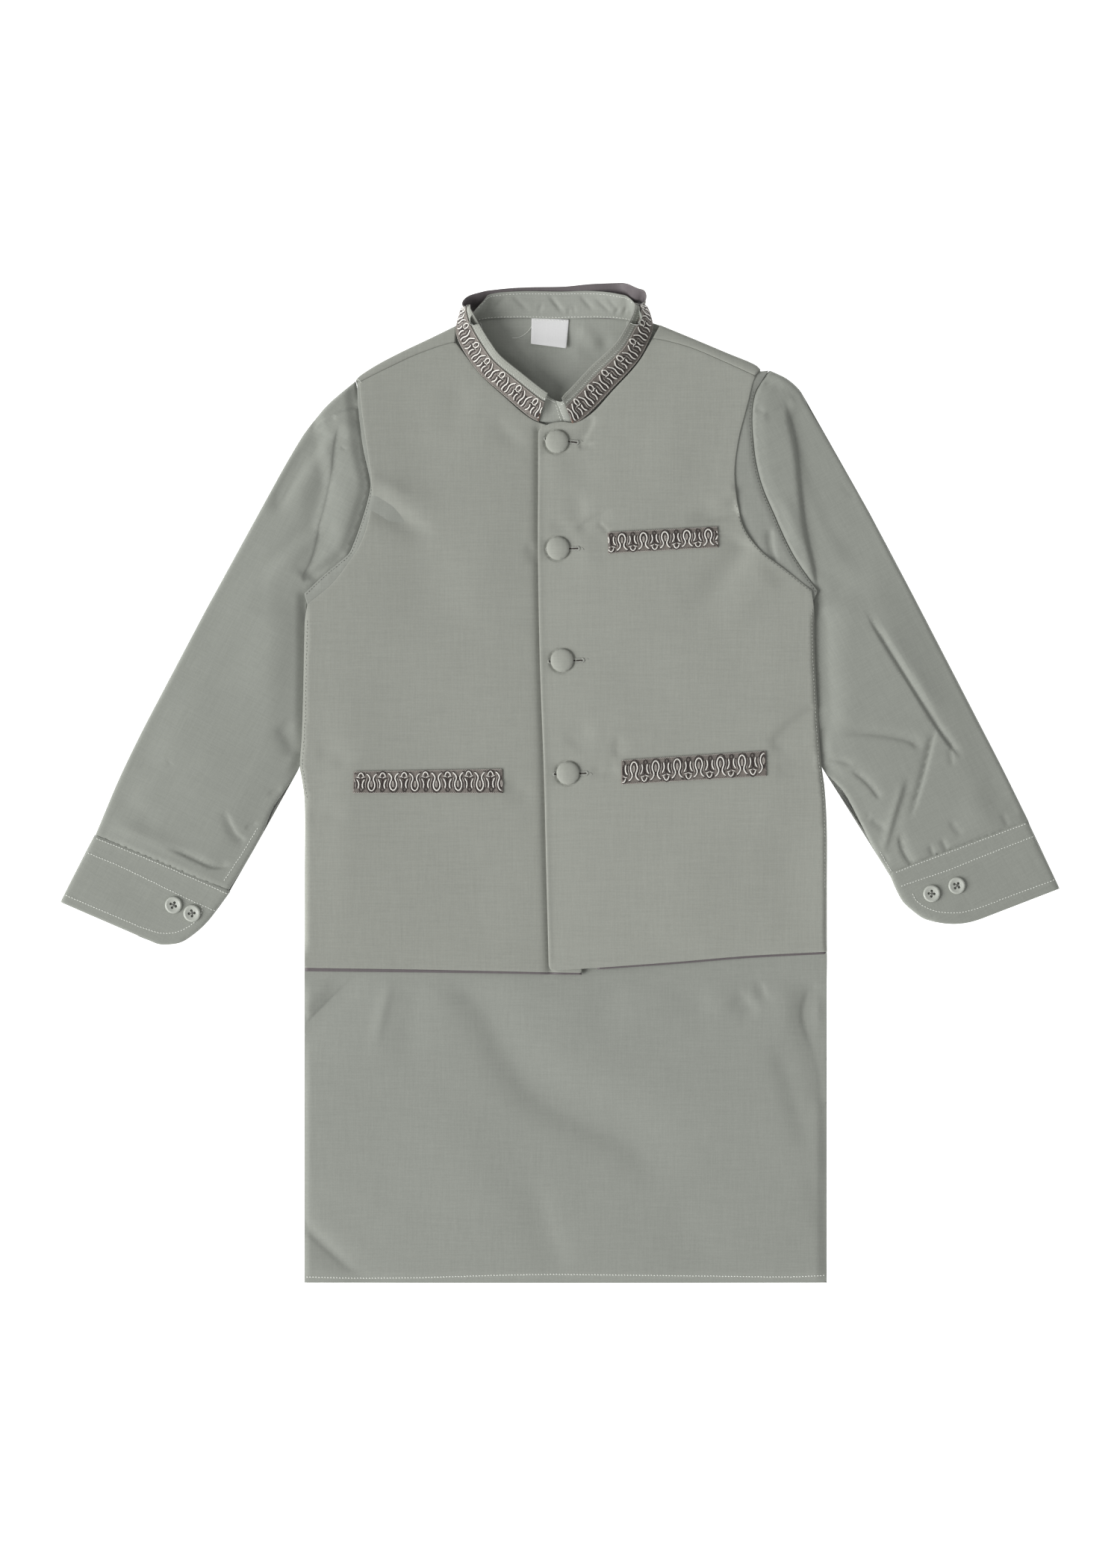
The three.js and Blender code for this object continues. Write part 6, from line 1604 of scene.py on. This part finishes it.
# --------------------------------------------------------- ribbon's raised cords
# One repeat, charted: u along from the arch's middle, v across, 14 wide.
PERIOD = 14.2
STRANDS = [
    # colour, radius, relief, points (u, v)
    ("silver", 0.42, 0.55, [(-3.5, 1.7), (-2.5, 2.3), (-1.35, 3.9), (-1.15, 5.3), (-2.05, 7.6), (-2.2, 9.6), (-1.4, 11.7),
                            (0, 12.5), (1.4, 11.7), (2.2, 9.6), (2.05, 7.6), (1.15, 5.3), (1.35, 3.9), (2.5, 2.3), (3.5, 1.7)]),
    ("brown", 0.33, 0.30, [(-0.55, 4.2), (-0.45, 5.6), (-1.25, 7.8), (-1.35, 9.5), (-0.7, 11.1), (0, 11.5), (0.7, 11.1),
                           (1.35, 9.5), (1.25, 7.8), (0.45, 5.6), (0.55, 4.2)]),
    ("taupe", 0.33, 0.30, [(0, 6.2), (-0.45, 7.9), (-0.3, 9.8), (0, 10.3), (0.3, 9.8), (0.45, 7.9), (0, 6.2)]),
    ("brown", 0.34, 0.30, [(-3.9, 1.0), (-3.0, 1.3), (-2.2, 3.0), (-1.95, 5.1), (-2.95, 7.5), (-3.1, 9.9), (-2.2, 12.4),
                           (-0.9, 13.5), (0.9, 13.5), (2.2, 12.4), (3.1, 9.9), (2.95, 7.5), (1.95, 5.1), (2.2, 3.0),
                           (3.0, 1.3), (3.9, 1.0)]),
    ("taupe", 0.30, 0.25, [(-3.75, 10.8), (-3.8, 8.4), (-3.1, 5.6), (-2.7, 4.6)]),
    ("taupe", 0.30, 0.25, [(3.75, 10.8), (3.8, 8.4), (3.1, 5.6), (2.7, 4.6)]),
    # between two arches: bead, bar, brackets, brow and cup, about u = half a period
    ("silver", 0.55, 0.45, [(6.85, 11.9), (7.1, 12.15), (7.35, 11.9)]),
    ("brown", 0.33, 0.30, [(5.9, 11.6), (6.2, 12.7), (7.1, 13.3), (8.0, 12.7), (8.3, 11.6), (7.6, 10.8), (6.6, 10.8),
                           (5.9, 11.6)]),
    ("brown", 0.33, 0.22, [(6.75, 10.3), (6.7, 7.4), (6.8, 5.2)]),
    ("brown", 0.33, 0.22, [(7.45, 10.3), (7.5, 7.4), (7.4, 5.2)]),
    ("silver", 0.40, 0.50, [(5.3, 11.0), (5.75, 8.8), (5.4, 6.9), (4.4, 5.2)]),
    ("silver", 0.40, 0.50, [(8.9, 11.0), (8.45, 8.8), (8.8, 6.9), (9.8, 5.2)]),
    ("brown", 0.33, 0.30, [(4.55, 11.2), (4.95, 8.9), (4.6, 7.0), (3.9, 5.6)]),
    ("brown", 0.33, 0.30, [(9.65, 11.2), (9.25, 8.9), (9.6, 7.0), (10.3, 5.6)]),
    ("brown", 0.34, 0.30, [(4.0, 4.6), (5.6, 4.7), (7.1, 5.6), (8.6, 4.7), (10.2, 4.6)]),
    ("silver", 0.30, 0.40, [(4.4, 3.7), (5.6, 3.9), (6.7, 4.4)]),
    ("silver", 0.30, 0.40, [(9.8, 3.7), (8.6, 3.9), (7.5, 4.4)]),
    ("silver", 0.38, 0.45, [(5.35, 3.3), (5.8, 1.9), (7.1, 0.95), (8.4, 1.9), (8.85, 3.3)]),
    ("brown", 0.45, 0.25, [(6.7, 3.6), (7.1, 2.4), (7.5, 3.6)]),
    ("brown", 0.36, 0.25, [(4.7, 2.7), (5.3, 1.2), (7.1, 0.25), (8.9, 1.2), (9.5, 2.7)]),
]
COLLAR_STRANDS = [
    ("silver", 0.44, 0.50, [(-3.3, 1.2), (-2.6, 2.2), (-1.4, 4.3), (-1.1, 6.0), (-1.5, 8.2), (-1.7, 9.8), (-1.2, 11.8),
                            (0, 12.8), (1.2, 11.8), (1.7, 9.8), (1.5, 8.2), (1.1, 6.0), (1.4, 4.3), (2.6, 2.2), (3.3, 1.2)]),
    ("brown", 0.36, 0.28, [(-0.3, 4.2), (-0.2, 6.2), (-0.6, 8.2), (-0.8, 9.8), (-0.4, 11.4), (0, 11.8), (0.4, 11.4),
                           (0.8, 9.8), (0.6, 8.2), (0.2, 6.2), (0.3, 4.2)]),
    ("brown", 0.38, 0.28, [(-3.9, 2.2), (-2.5, 4.4), (-2.1, 6.2), (-2.5, 8.3), (-2.65, 10.0), (-2.1, 12.4), (-0.9, 13.6)]),
    ("brown", 0.38, 0.28, [(3.9, 2.2), (2.5, 4.4), (2.1, 6.2), (2.5, 8.3), (2.65, 10.0), (2.1, 12.4), (0.9, 13.6)]),
    ("taupe", 0.26, 0.22, [(-3.3, 5.0), (-3.0, 6.6), (-3.4, 8.6), (-3.5, 10.8)]),
    ("taupe", 0.26, 0.22, [(3.3, 5.0), (3.0, 6.6), (3.4, 8.6), (3.5, 10.8)]),
    ("silver", 0.42, 0.50, [(5.9, 4.6), (5.55, 3.0), (5.9, 1.4), (7.1, 0.3), (8.3, 1.4), (8.65, 3.0), (8.3, 4.6)]),
    ("brown", 0.38, 0.28, [(6.6, 3.8), (6.7, 2.5), (7.1, 1.6), (7.5, 2.5), (7.6, 3.8)]),
    ("brown", 0.34, 0.26, [(4.9, 3.2), (4.7, 4.6), (5.4, 5.9), (7.1, 6.6), (8.8, 5.9), (9.5, 4.6), (9.3, 3.2)]),
    ("silver", 0.34, 0.45, [(4.9, 5.4), (6.0, 4.9), (7.1, 5.5), (8.2, 4.9), (9.3, 5.4)]),
    ("silver", 0.44, 0.50, [(4.75, 11.9), (5.7, 10.2), (5.95, 8.9), (5.75, 7.5), (5.2, 6.3)]),
    ("silver", 0.44, 0.50, [(9.45, 11.9), (8.5, 10.2), (8.25, 8.9), (8.45, 7.5), (9.0, 6.3)]),
    ("brown", 0.36, 0.28, [(6.75, 11.0), (6.9, 9.0), (6.7, 7.2)]),
    ("brown", 0.36, 0.28, [(7.45, 11.0), (7.3, 9.0), (7.5, 7.2)]),
    ("brown", 0.38, 0.28, [(3.9, 12.1), (4.75, 10.2), (4.95, 8.8), (4.75, 7.4), (4.2, 6.2)]),
    ("brown", 0.38, 0.28, [(10.3, 12.1), (9.45, 10.2), (9.25, 8.8), (9.45, 7.4), (10.0, 6.2)]),
    ("silver", 0.60, 0.42, [(6.8, 11.9), (7.1, 12.2), (7.4, 11.9)]),
    ("brown", 0.34, 0.26, [(5.9, 11.7), (6.2, 12.9), (7.1, 13.4), (8.0, 12.9), (8.3, 11.7)]),
]
CORD_MATERIALS = [MAT_SILVER, MAT_BROWN, MAT_TAUPE, MAT_ORANGE]
COLOUR_INDEX = {"silver": 0, "brown": 1, "taupe": 2}
strand_curves = [(c, r, h, catmull(p, 0.62)) for c, r, h, p in STRANDS]
collar_curves = [(c, r, h, catmull(p, 0.62)) for c, r, h, p in COLLAR_STRANDS]


def cords(bag, length, offset, width, place, flip, seed, curves=strand_curves, hidden=0.0):
    """place(u, v, h) gives points at u along, v across and h above the ribbon."""
    rng = np.random.default_rng(seed)
    count = int(length / PERIOD) + 3
    for rep in range(-1, count):
        for c, r, h, line in curves:
            p = line.copy()
            p = p + rng.normal(0, 0.10, 2)
            u = offset + rep * PERIOD + p[:, 0] * (1 + rng.normal(0, 0.015))
            v = p[:, 1] / 14.0
            v = (1 - v) if flip else v
            ok = (u > 0.45) & (u < length - 0.45) & (v * 14 > hidden)
            if ok.sum() < 3:
                continue
            runs = np.split(np.arange(len(u)), np.nonzero(np.diff(ok.astype(int)))[0] + 1)
            for run in runs:
                if not ok[run[0]] or len(run) < 3:
                    continue
                uu, vv = u[run], v[run] * width
                lift = h + 0.10 * np.sin(np.linspace(0, 9, len(uu)) + rng.uniform(0, 6))
                base = place(uu, vv, lift)
                above = place(uu, vv, lift + 1.0)
                up = above - base
                rad = r * (1 + rng.normal(0, 0.05)) * np.ones(len(uu))
                rad[0] *= 0.55
                rad[-1] *= 0.55
                tube(bag, base, rad, sides=6, mat=COLOUR_INDEX[c], up=up, flat=0.8)


def edge_picots(bag, length, width, place, seed):
    """Tiny taupe loops along both edges of the ribbon."""
    for side, at in ((0, 0.15), (1, width - 0.15)):
        u = np.arange(0.6, length - 0.4, 0.62)
        v = at + 0.32 * np.where(np.arange(len(u)) % 2, 1, -1)
        base = place(u, v, np.full(len(u), 0.12))
        tube(bag, base, 0.24, sides=5, mat=2, up=place(u, v, np.full(len(u), 1.1)) - base, flat=0.8)


def tuft(bag, points, mat=3, r=0.16):
    tube(bag, points, np.linspace(r, r * 0.35, len(points)), sides=5, mat=mat)


bag = Bag()
RIB_LEN = W_END - W_START - 0.8


def place_collar(u, v, h):
    return on_band(W_START + 0.4 + u, 0.9 + v * 1.03, 2.8 + h)


# the arches' closed end lies at the neck seam
cords(bag, RIB_LEN, 2.0, 14.0, place_collar, True, 11, collar_curves, 1.7)
edge_picots(bag, RIB_LEN, 14.0, place_collar, 3)
rng = np.random.default_rng(5)
for end_u in (0.2, RIB_LEN - 0.2):
    for v in np.linspace(0.8, 9.5, 9):
        d = -1 if end_u < 1 else 1
        k = rng.uniform(0.6, 1.5)
        u = end_u + d * np.linspace(-0.6, k, 5)
        vv = v + np.linspace(0, rng.normal(0, 0.5), 5)
        tuft(bag, place_collar(u, vv, np.linspace(0.3, -0.2, 5)), mat=3 if v < 5.5 else 1)
collar_cords = bag.make("collar_ribbon_cords", CORD_MATERIALS)
finish_piece(collar_cords, [])

POCKETS = {
    # corners from the upper left, clockwise; surface; flipped; first arch's middle from the left end
    "chest": ([(813.4, 713.7), (961, 706), (962.4, 733.3), (814.4, 741.7)], front_left_top, False, 9.3, "pocket_ribbon_chest", 21),
    "lower_left": ([(831.8, 1018.4), (1025.5, 1005.9), (1026.4, 1039), (831.8, 1050.5)], front_left_top, False, 8.4,
                   "pocket_ribbon_lower_left", 22),
    "lower_right": ([(474, 1033.6), (673, 1030), (674, 1062), (473, 1062)], front_right_top, True, 12.0,
                    "pocket_ribbon_lower_right", 23),
}
for key, (corners, surf, flip, offset, node_name, seed) in POCKETS.items():
    c = px(corners)
    length = (np.linalg.norm(c[1] - c[0]) + np.linalg.norm(c[2] - c[3])) / 2
    width = (np.linalg.norm(c[3] - c[0]) + np.linalg.norm(c[2] - c[1])) / 2

    def plan(u, v, c=c, length=length, width=width):
        a, b = (np.asarray(u) / length)[:, None], (np.asarray(v) / width)[:, None]
        return (c[3] * (1 - a) + c[2] * a) * (1 - b) + (c[0] * (1 - a) + c[1] * a) * b

    def place(u, v, h, plan=plan, surf=surf):
        q = plan(u, v)
        return np.column_stack([q, surf(q[:, 0], q[:, 1]) + 0.95 + h])

    bag = Bag()
    panel(bag, [c[[0, 1]], c[[1, 2]], c[[2, 3]], c[[3, 0]]], lambda x, y, surf=surf: surf(x, y) + 0.95, 0.8,
          step=1.2, grid=2.2, rings=(0.1,))
    band = bag.make(node_name + "_band", [MAT_RIBBON])
    finish_piece(band, [node_name])
    bag = Bag()
    cords(bag, length, offset, width, place, flip, seed)
    edge_picots(bag, length, width, place, seed)
    rng = np.random.default_rng(seed)
    for end_u, d in ((0.0, -1), (length, 1)):
        for v in rng.uniform(0.5, width - 0.5, 4):
            u = end_u + d * np.linspace(-0.8, rng.uniform(0.2, 0.9), 5)
            tuft(bag, place(u, v + np.linspace(0, rng.normal(0, 0.6), 5), np.linspace(0.3, -0.4, 5)), mat=2, r=0.13)
    ob = bag.make(node_name + "_cords", CORD_MATERIALS)
    finish_piece(ob, [])

# ------------------------------------------------------------------------ label

LABEL = px([(712, 426.5), (762, 428.5), (758.5, 467), (711, 461)])


def label_top(x, y):
    down = np.clip((304 - y) / 19, 0, 1)
    return kameez_back_top(x, y) + 0.75 + 1.5 * smooth((down - 0.1) / 0.9) + 0.5 * np.sin((x + 19) / 24 * np.pi) * down


bag = Bag()
panel(bag, [LABEL[[0, 1]], LABEL[[1, 2]], LABEL[[2, 3]], LABEL[[3, 0]]], label_top, 0.5, step=1.0, grid=1.4, rings=(0.08,))
label = bag.make("neck_label_tape", [MAT_LABEL])
finish_piece(label, ["neck_label"])

# --------------------------------------------------------------- covered buttons

COVERED = [(745.8, 592.3), (747.2, 735), (752.7, 884.7), (760.6, 1035.5)]
button_heights = []
for i, at in enumerate(COVERED):
    c = px([at])[0]
    base = float(front_left_top(np.array([c[0]]), np.array([c[1]]))[0]) - 0.1
    R = COVERED_BUTTON_RADIUS
    profile = [(0.0, 0.0), (R * 0.55, 0.0), (R * 0.80, 0.15), (R * 0.93, 0.55), (R * 0.985, 1.0), (R, 1.45), (R * 0.985, 1.9),
               (R * 0.94, 2.35), (R * 0.86, 2.8), (R * 0.75, 3.2), (R * 0.60, 3.55), (R * 0.44, 3.8), (R * 0.28, 3.95),
               (R * 0.13, 4.03), (0.0, 4.05)]
    profile = [(r, z * 0.74) for r, z in profile]
    sides = 56
    ang = np.arange(sides) / sides * 2 * np.pi
    rng = np.random.default_rng(40 + i)
    ph = rng.uniform(0, 6.28, 4)
    verts = [[c[0], c[1], base]]
    for r, z in profile[1:-1]:
        rim = math.exp(-((r / R - 0.97) / 0.10) ** 2)
        pucker = 1 + rim * (0.010 * np.sin(ang * 17 + ph[0]) + 0.008 * np.sin(ang * 11 + ph[1]))
        zz = z + 0.05 * np.sin(ang * 3 + ph[2]) * (r / R)
        verts += np.column_stack([c[0] + np.cos(ang) * r * pucker, c[1] + np.sin(ang) * r * pucker, base + zz]).tolist()
    verts.append([c[0], c[1], base + profile[-1][1]])
    rings = len(profile) - 2
    j = np.arange(sides)
    k = (j + 1) % sides
    faces = [np.stack([np.zeros(sides, int), 1 + k, 1 + j], 1)]
    q = [np.stack([1 + a * sides + j, 1 + a * sides + k, 1 + (a + 1) * sides + k, 1 + (a + 1) * sides + j], 1)
         for a in range(rings - 1)]
    faces += q
    last = 1 + (rings - 1) * sides
    faces.append(np.stack([np.full(sides, last + sides), last + j, last + k], 1))
    bag = Bag()
    bag.add(verts, faces)
    # painted light: the covered buttons take a lighter copy of the cloth
    ob = bag.make(f"covered_button_{i + 1}_cloth", [MAT_DOME_PAINTED_LIGHT])
    finish_piece(ob, [f"covered_button_{i + 1}"])

# buttonholes: a corded slit with over-and-over stitches, mostly under the button
HOLES = [((729, 588.5), (774.5, 593.5)), ((731, 736), (776, 735)), ((734, 886), (782, 884.5)), ((741, 1037), (787, 1035.5))]
bag = Bag()
for i, (a, b) in enumerate(HOLES):
    pa, pb = px([a])[0], px([b])[0]
    L = np.linalg.norm(pb - pa)
    t = (pb - pa) / L
    s = np.array([-t[1], t[0]])
    half = 0.95
    ang = np.linspace(0, 2 * np.pi, 73)[:-1]
    along = np.where(np.cos(ang) >= 0, L - half, half) + half * np.cos(ang)
    straight = np.linspace(half, L - half, 24)
    loop = [pa + t * x - s * half for x in straight] + \
           [pa + t * (L - 1.25 + 1.25 * math.sin(q)) - s * 1.25 * math.cos(q) for q in np.linspace(0, math.pi, 12)[1:-1]] + \
           [pa + t * x + s * half for x in straight[::-1]] + \
           [pa + t * (half - half * math.sin(q)) + s * half * math.cos(q) for q in np.linspace(0, math.pi, 9)[1:-1]]
    loop = resample(np.vstack([loop, loop[:1]]), 0.45)[:-1]
    z = front_left_top(loop[:, 0], loop[:, 1]) + 0.12
    rng = np.random.default_rng(60 + i)
    p = np.column_stack([loop + rng.normal(0, 0.05, loop.shape), z])
    tube(bag, p, 0.27 + 0.05 * np.sin(np.arange(len(p)) * 2.2), sides=6, mat=0, close=True)
    # over-and-over stitches
    mid = loop
    tt = np.roll(loop, -1, axis=0) - np.roll(loop, 1, axis=0)
    tt /= np.linalg.norm(tt, axis=1)[:, None]
    nn = np.stack([-tt[:, 1], tt[:, 0]], 1)
    centre = np.column_stack([mid, z + 0.16])
    slant = np.column_stack([nn + tt * 0.5, np.zeros(len(nn))])
    stitches(bag, centre, slant, np.tile([0, 0, 1.0], (len(nn), 1)), 1.25, 0.20, 0)
    # painted shade: a dark strip where the slit opens between the cords
    x = np.linspace(half, L - 1.0, 14)
    q = pa + t * x[:, None]
    tube(bag, np.column_stack([q, front_left_top(q[:, 0], q[:, 1]) + 0.0]), 0.42, sides=6, mat=1, flat=0.35)
    # a loose end of thread at the right
    e = pb + t * 0.2
    k = np.linspace(0, 1, 9)
    q = np.stack([e[0] + 3.2 * k - 0.6 * k ** 2, e[1] + (0.9 * np.sin(k * 3) - (1.2 if i % 2 else -0.4) * k)], 1)
    tube(bag, np.column_stack([q, front_left_top(q[:, 0], q[:, 1]) + 0.18]), 0.13, sides=5, mat=0)
buttonholes = bag.make("buttonhole_threads", [MAT_THREAD_SOFT, MAT_BROWN])
finish_piece(buttonholes, [])


# ------------------------------------------------------------------ cuff buttons

def circle(c, r, n, clockwise=False):
    a = np.arange(n) / n * 2 * np.pi
    if clockwise:
        a = -a
    return np.stack([c[0] + r * np.cos(a), c[1] + r * np.sin(a)], 1)


CUFF_BUTTONS = {
    "cuff_button_right_1": ((232.8, 1212), cuff_right_top, 0.35), "cuff_button_right_2": ((257.5, 1223), cuff_right_top, 0.9),
    "cuff_button_left_1": ((1247.3, 1196.7), cuff_left_top, 0.7), "cuff_button_left_2": ((1281, 1186), cuff_left_top, 0.2),
}
thread_bag = Bag()
for name, (at, surf, turn) in CUFF_BUTTONS.items():
    c = px([at])[0]
    base = float(surf(np.array([c[0]]), np.array([c[1]]))[0]) + 0.2
    R = CUFF_BUTTON_RADIUS
    spread = 1.25
    hole_at = [c + spread * np.sqrt(2) * np.array([math.cos(turn + math.pi / 4 + k * math.pi / 2),
                                                  math.sin(turn + math.pi / 4 + k * math.pi / 2)]) for k in range(4)]
    holes = [circle(h, 0.80, 14, True) for h in hole_at]
    ring = circle(c, R, 60)
    segs = [np.vstack([ring[k * 15:(k + 1) * 15 + 1] if k < 3 else np.vstack([ring[45:], ring[:1]])]) for k in range(4)]
    v, t, edge, seg, dist, src = triangulate(segs, 0.6, (0.08, 0.22, 0.45), 0.5, holes=holes)
    r = np.hypot(v[:, 0] - c[0], v[:, 1] - c[1])
    # raised rim, dished middle
    z = 1.55 + 0.32 * np.exp(-((r - 4.6) / 0.75) ** 2) - 0.45 * np.exp(-(r / 2.9) ** 4) - 0.25 * smooth((r - 4.9) / 0.7)
    f = np.sqrt(np.maximum(0, 1 - (1 - np.clip(dist / 0.45, 0, 1)) ** 2))
    up = base + 0.9 + (z - 0.9) * f
    low = base + 0.9 - 0.9 * f
    up[edge] = base + 0.9
    n = len(v)
    idx = np.full(n, -1)
    idx[~edge] = n + np.arange((~edge).sum())
    idx[edge] = np.nonzero(edge)[0]
    t = t[~edge[t].all(1)]
    bag = Bag()
    bag.add(np.vstack([np.column_stack([v, up]), np.column_stack([v, low])[~edge]]), [t, idx[t][:, ::-1]])
    ob = bag.make(name + "_disc", [MAT_BUTTON])
    finish_piece(ob, [name])
    # crossed thread, down through the holes
    for a, b in ((0, 2), (1, 3)):
        for off in (-0.16, 0.16):
            d = hole_at[b] - hole_at[a]
            n2 = np.array([-d[1], d[0]]) / np.linalg.norm(d)
            k = np.linspace(-0.02, 1.02, 11)
            q = hole_at[a] + d * k[:, None] + n2 * off
            zz = base + 1.18 + 0.22 * np.sin(np.pi * np.clip(k, 0, 1)) + (0.18 if a else 0.0)
            zz[[0, -1]] = base - 0.2
            tube(thread_bag, np.column_stack([q, zz]), 0.13, sides=5, mat=0)
button_threads = thread_bag.make("cuff_button_threads", [MAT_BUTTON_THREAD])
finish_piece(button_threads, [])

# --------------------------------------------------------------------- stitches

pale, dark, soft = Bag(), Bag(), Bag()
rows = [
    # kameez hem
    ([(410, 1709.5), (470, 1711.2), (560, 1710.5), (660, 1707.5), (740, 1706), (830, 1707), (960, 1708.5), (1060, 1709.4), (1105, 1707.5)],
     kameez_front_top, 0.31),
    # cuffs, wearer's right: below the seam, second row, round the edge
    ([(129, 1122.5), (175, 1141), (220, 1159.6), (262, 1177.8), (305, 1196.8)], cuff_right_top, 0.26),
    ([(117.4, 1142), (160, 1159.5), (205, 1181), (245, 1200.5), (289, 1220)], cuff_right_top, 0.26),
    ([(88, 1198.6), (120, 1212), (160, 1229), (195, 1243.5), (217, 1249.5), (236, 1248.5), (252, 1241.5), (264, 1232),
      (270.5, 1221.6), (271, 1213)], cuff_right_top, 0.26),
    # cuffs, wearer's left
    ([(1199, 1168.5), (1230, 1156.5), (1269.6, 1141.8), (1320, 1123), (1374, 1103)], cuff_left_top, 0.26),
    ([(1206, 1187), (1235, 1177), (1269.6, 1165.2), (1320, 1145), (1384, 1120)], cuff_left_top, 0.26),
    ([(1221.7, 1196), (1226, 1205), (1237, 1213.5), (1256, 1220.6), (1285, 1222), (1310, 1216), (1350, 1201), (1412.5, 1178)],
     cuff_left_top, 0.26),
    # sleeve seam above the cuffs
    ([(346, 1108), (326, 1141), (300, 1180)], sleeve_right_top, 0.22),
    ([(1178, 1140), (1186, 1154), (1196, 1170)], sleeve_left_top, 0.22),
]
for i, (path, surf, r) in enumerate(rows):
    stitch_row(pale, catmull(px(path), 1.0), surf, pitch=1.95, length=1.35, radius=r, seed=100 + i)
# armhole seams and the waistcoat's side seams: the side seams in grey thread near the cloth's colour, the armhole rows
# in thread much darker than the cloth, as painted shade along the seams
def beside(path, off):
    c = catmull(px(path), 1.0)
    t = np.gradient(c, axis=0)
    t /= np.linalg.norm(t, axis=1)[:, None]
    return c + np.stack([-t[:, 1], t[:, 0]], 1) * off


stitch_row(dark, beside(SEAM_LEFT[2:], -1.3), kameez_front_top, pitch=2.2, length=1.4, radius=0.2, seed=120)
stitch_row(dark, beside(SEAM_RIGHT[3:], 1.2), kameez_front_top, pitch=2.2, length=1.4, radius=0.2, seed=121)
stitch_row(soft, beside(SIDE_LEFT[1:8], -1.5), front_left_top, pitch=2.4, length=1.5, radius=0.2, seed=122)
stitch_row(soft, beside(SIDE_RIGHT[1:8], 1.5), front_right_top, pitch=2.4, length=1.5, radius=0.2, seed=123)
# armhole edge of the waistcoat, wearer's left lower curve, in the same dark thread as painted shade
stitch_row(dark, beside(ARMHOLE_LEFT[7:], -1.0), front_left_top, pitch=2.4, length=1.6, radius=0.18, seed=124)


def band_row(bag, arc0, arc1, v, o, pitch=2.0, length=1.4, radius=0.2, zigzag=0.0, inner=False, seed=1,
             which="waistcoat"):
    rng = np.random.default_rng(seed)
    n = int((arc1 - arc0) / pitch)
    a = arc0 + (np.arange(n) + 0.5) * pitch
    vv = (v(a) if callable(v) else np.full(n, float(v))) + rng.normal(0, 0.05, n)
    e = pitch * 0.3
    if zigzag:
        e1 = on_band(a - e, vv - zigzag, np.full(n, o), which)
        e2 = on_band(a + e, vv + zigzag, np.full(n, o), which)
    else:
        e1, e2 = on_band(a - e, vv, np.full(n, o), which), on_band(a + e, vv, np.full(n, o), which)
    _, up, out = band_axes(a, which)
    stitches(bag, (e1 + e2) / 2, e2 - e1, -out if inner else out, length, radius)


# waistcoat collar: a row near its top edge and a slanting row along the ribbon
band_row(soft, W_START + 1.5, W_END - 1.5, lambda a: waistcoat_band_height(a) - 1.6, 2.08, pitch=2.0, length=1.3, radius=0.19, seed=130)
band_row(pale, W_START + 1.5, W_END - 1.5, lambda a: np.full(len(a), 17.0), 2.08, pitch=1.5, length=1.5, radius=0.15, zigzag=0.6, seed=131)
# kameez collar: near the top and along the seam, on both faces
for face, o in ((True, -0.02), (False, 0.97)):
    band_row(pale, A_START + 2, A_END - 2, lambda a: kameez_band_height(a) - 1.7, o, pitch=2.0, length=1.35, radius=0.2,
             inner=face, seed=132 + face, which="kameez")
band_row(pale, arc_of(7.5), arc_of(16.5), lambda a: np.full(len(a), 1.2), -0.02, pitch=2.1, length=1.45, radius=0.22, inner=True, seed=135, which="kameez")
# front ends of the kameez collar
for row in (0.25, ROWS - 1.25):
    v = np.arange(2.0, 13.5, 2.0)
    a = np.full(len(v), arc_of(row))
    c1, c2 = (on_band(a, v + d, np.full(len(v), 0.97), "kameez") for d in (-0.6, 0.6))
    _, _, out = band_axes(a, "kameez")
    stitches(pale, (c1 + c2) / 2, c2 - c1, out, 1.3, 0.2)
# the label's stitches
q = np.linspace(0.05, 0.95, 11)[:, None] * (LABEL[1] - LABEL[0]) + LABEL[0] + [0, -1.0]
stitch_row(pale, q, label_top, pitch=2.1, length=1.4, radius=0.2, seed=140)
# loose thread ends: beside the label, and at the shoulder tip
k = np.linspace(0, 1, 22)
q = px(np.stack([712 - 26 * k ** 1.3, 437 + 16 * np.sin(k * 1.7)], 1))
tube(pale, np.column_stack([q, kameez_back_top(q[:, 0], q[:, 1]) + 0.35 + 0.8 * np.sin(k * 5) ** 2]), 0.15, sides=5)
q = px(np.stack([484 - 14 * k, 513 - 11 * k - 2 * np.sin(k * 3)], 1))
tube(pale, np.column_stack([q, np.interp(k, [0, 1], [6.2, 4.6])]), 0.13, sides=5)

pale_stitches = pale.make("pale_stitches", [MAT_THREAD])
finish_piece(pale_stitches, [])
soft_stitches = soft.make("collar_stitches", [MAT_THREAD_SOFT])
finish_piece(soft_stitches, [])
dark_stitches = dark.make("seam_stitches", [MAT_THREAD_PAINTED_SHADE])
finish_piece(dark_stitches, [])
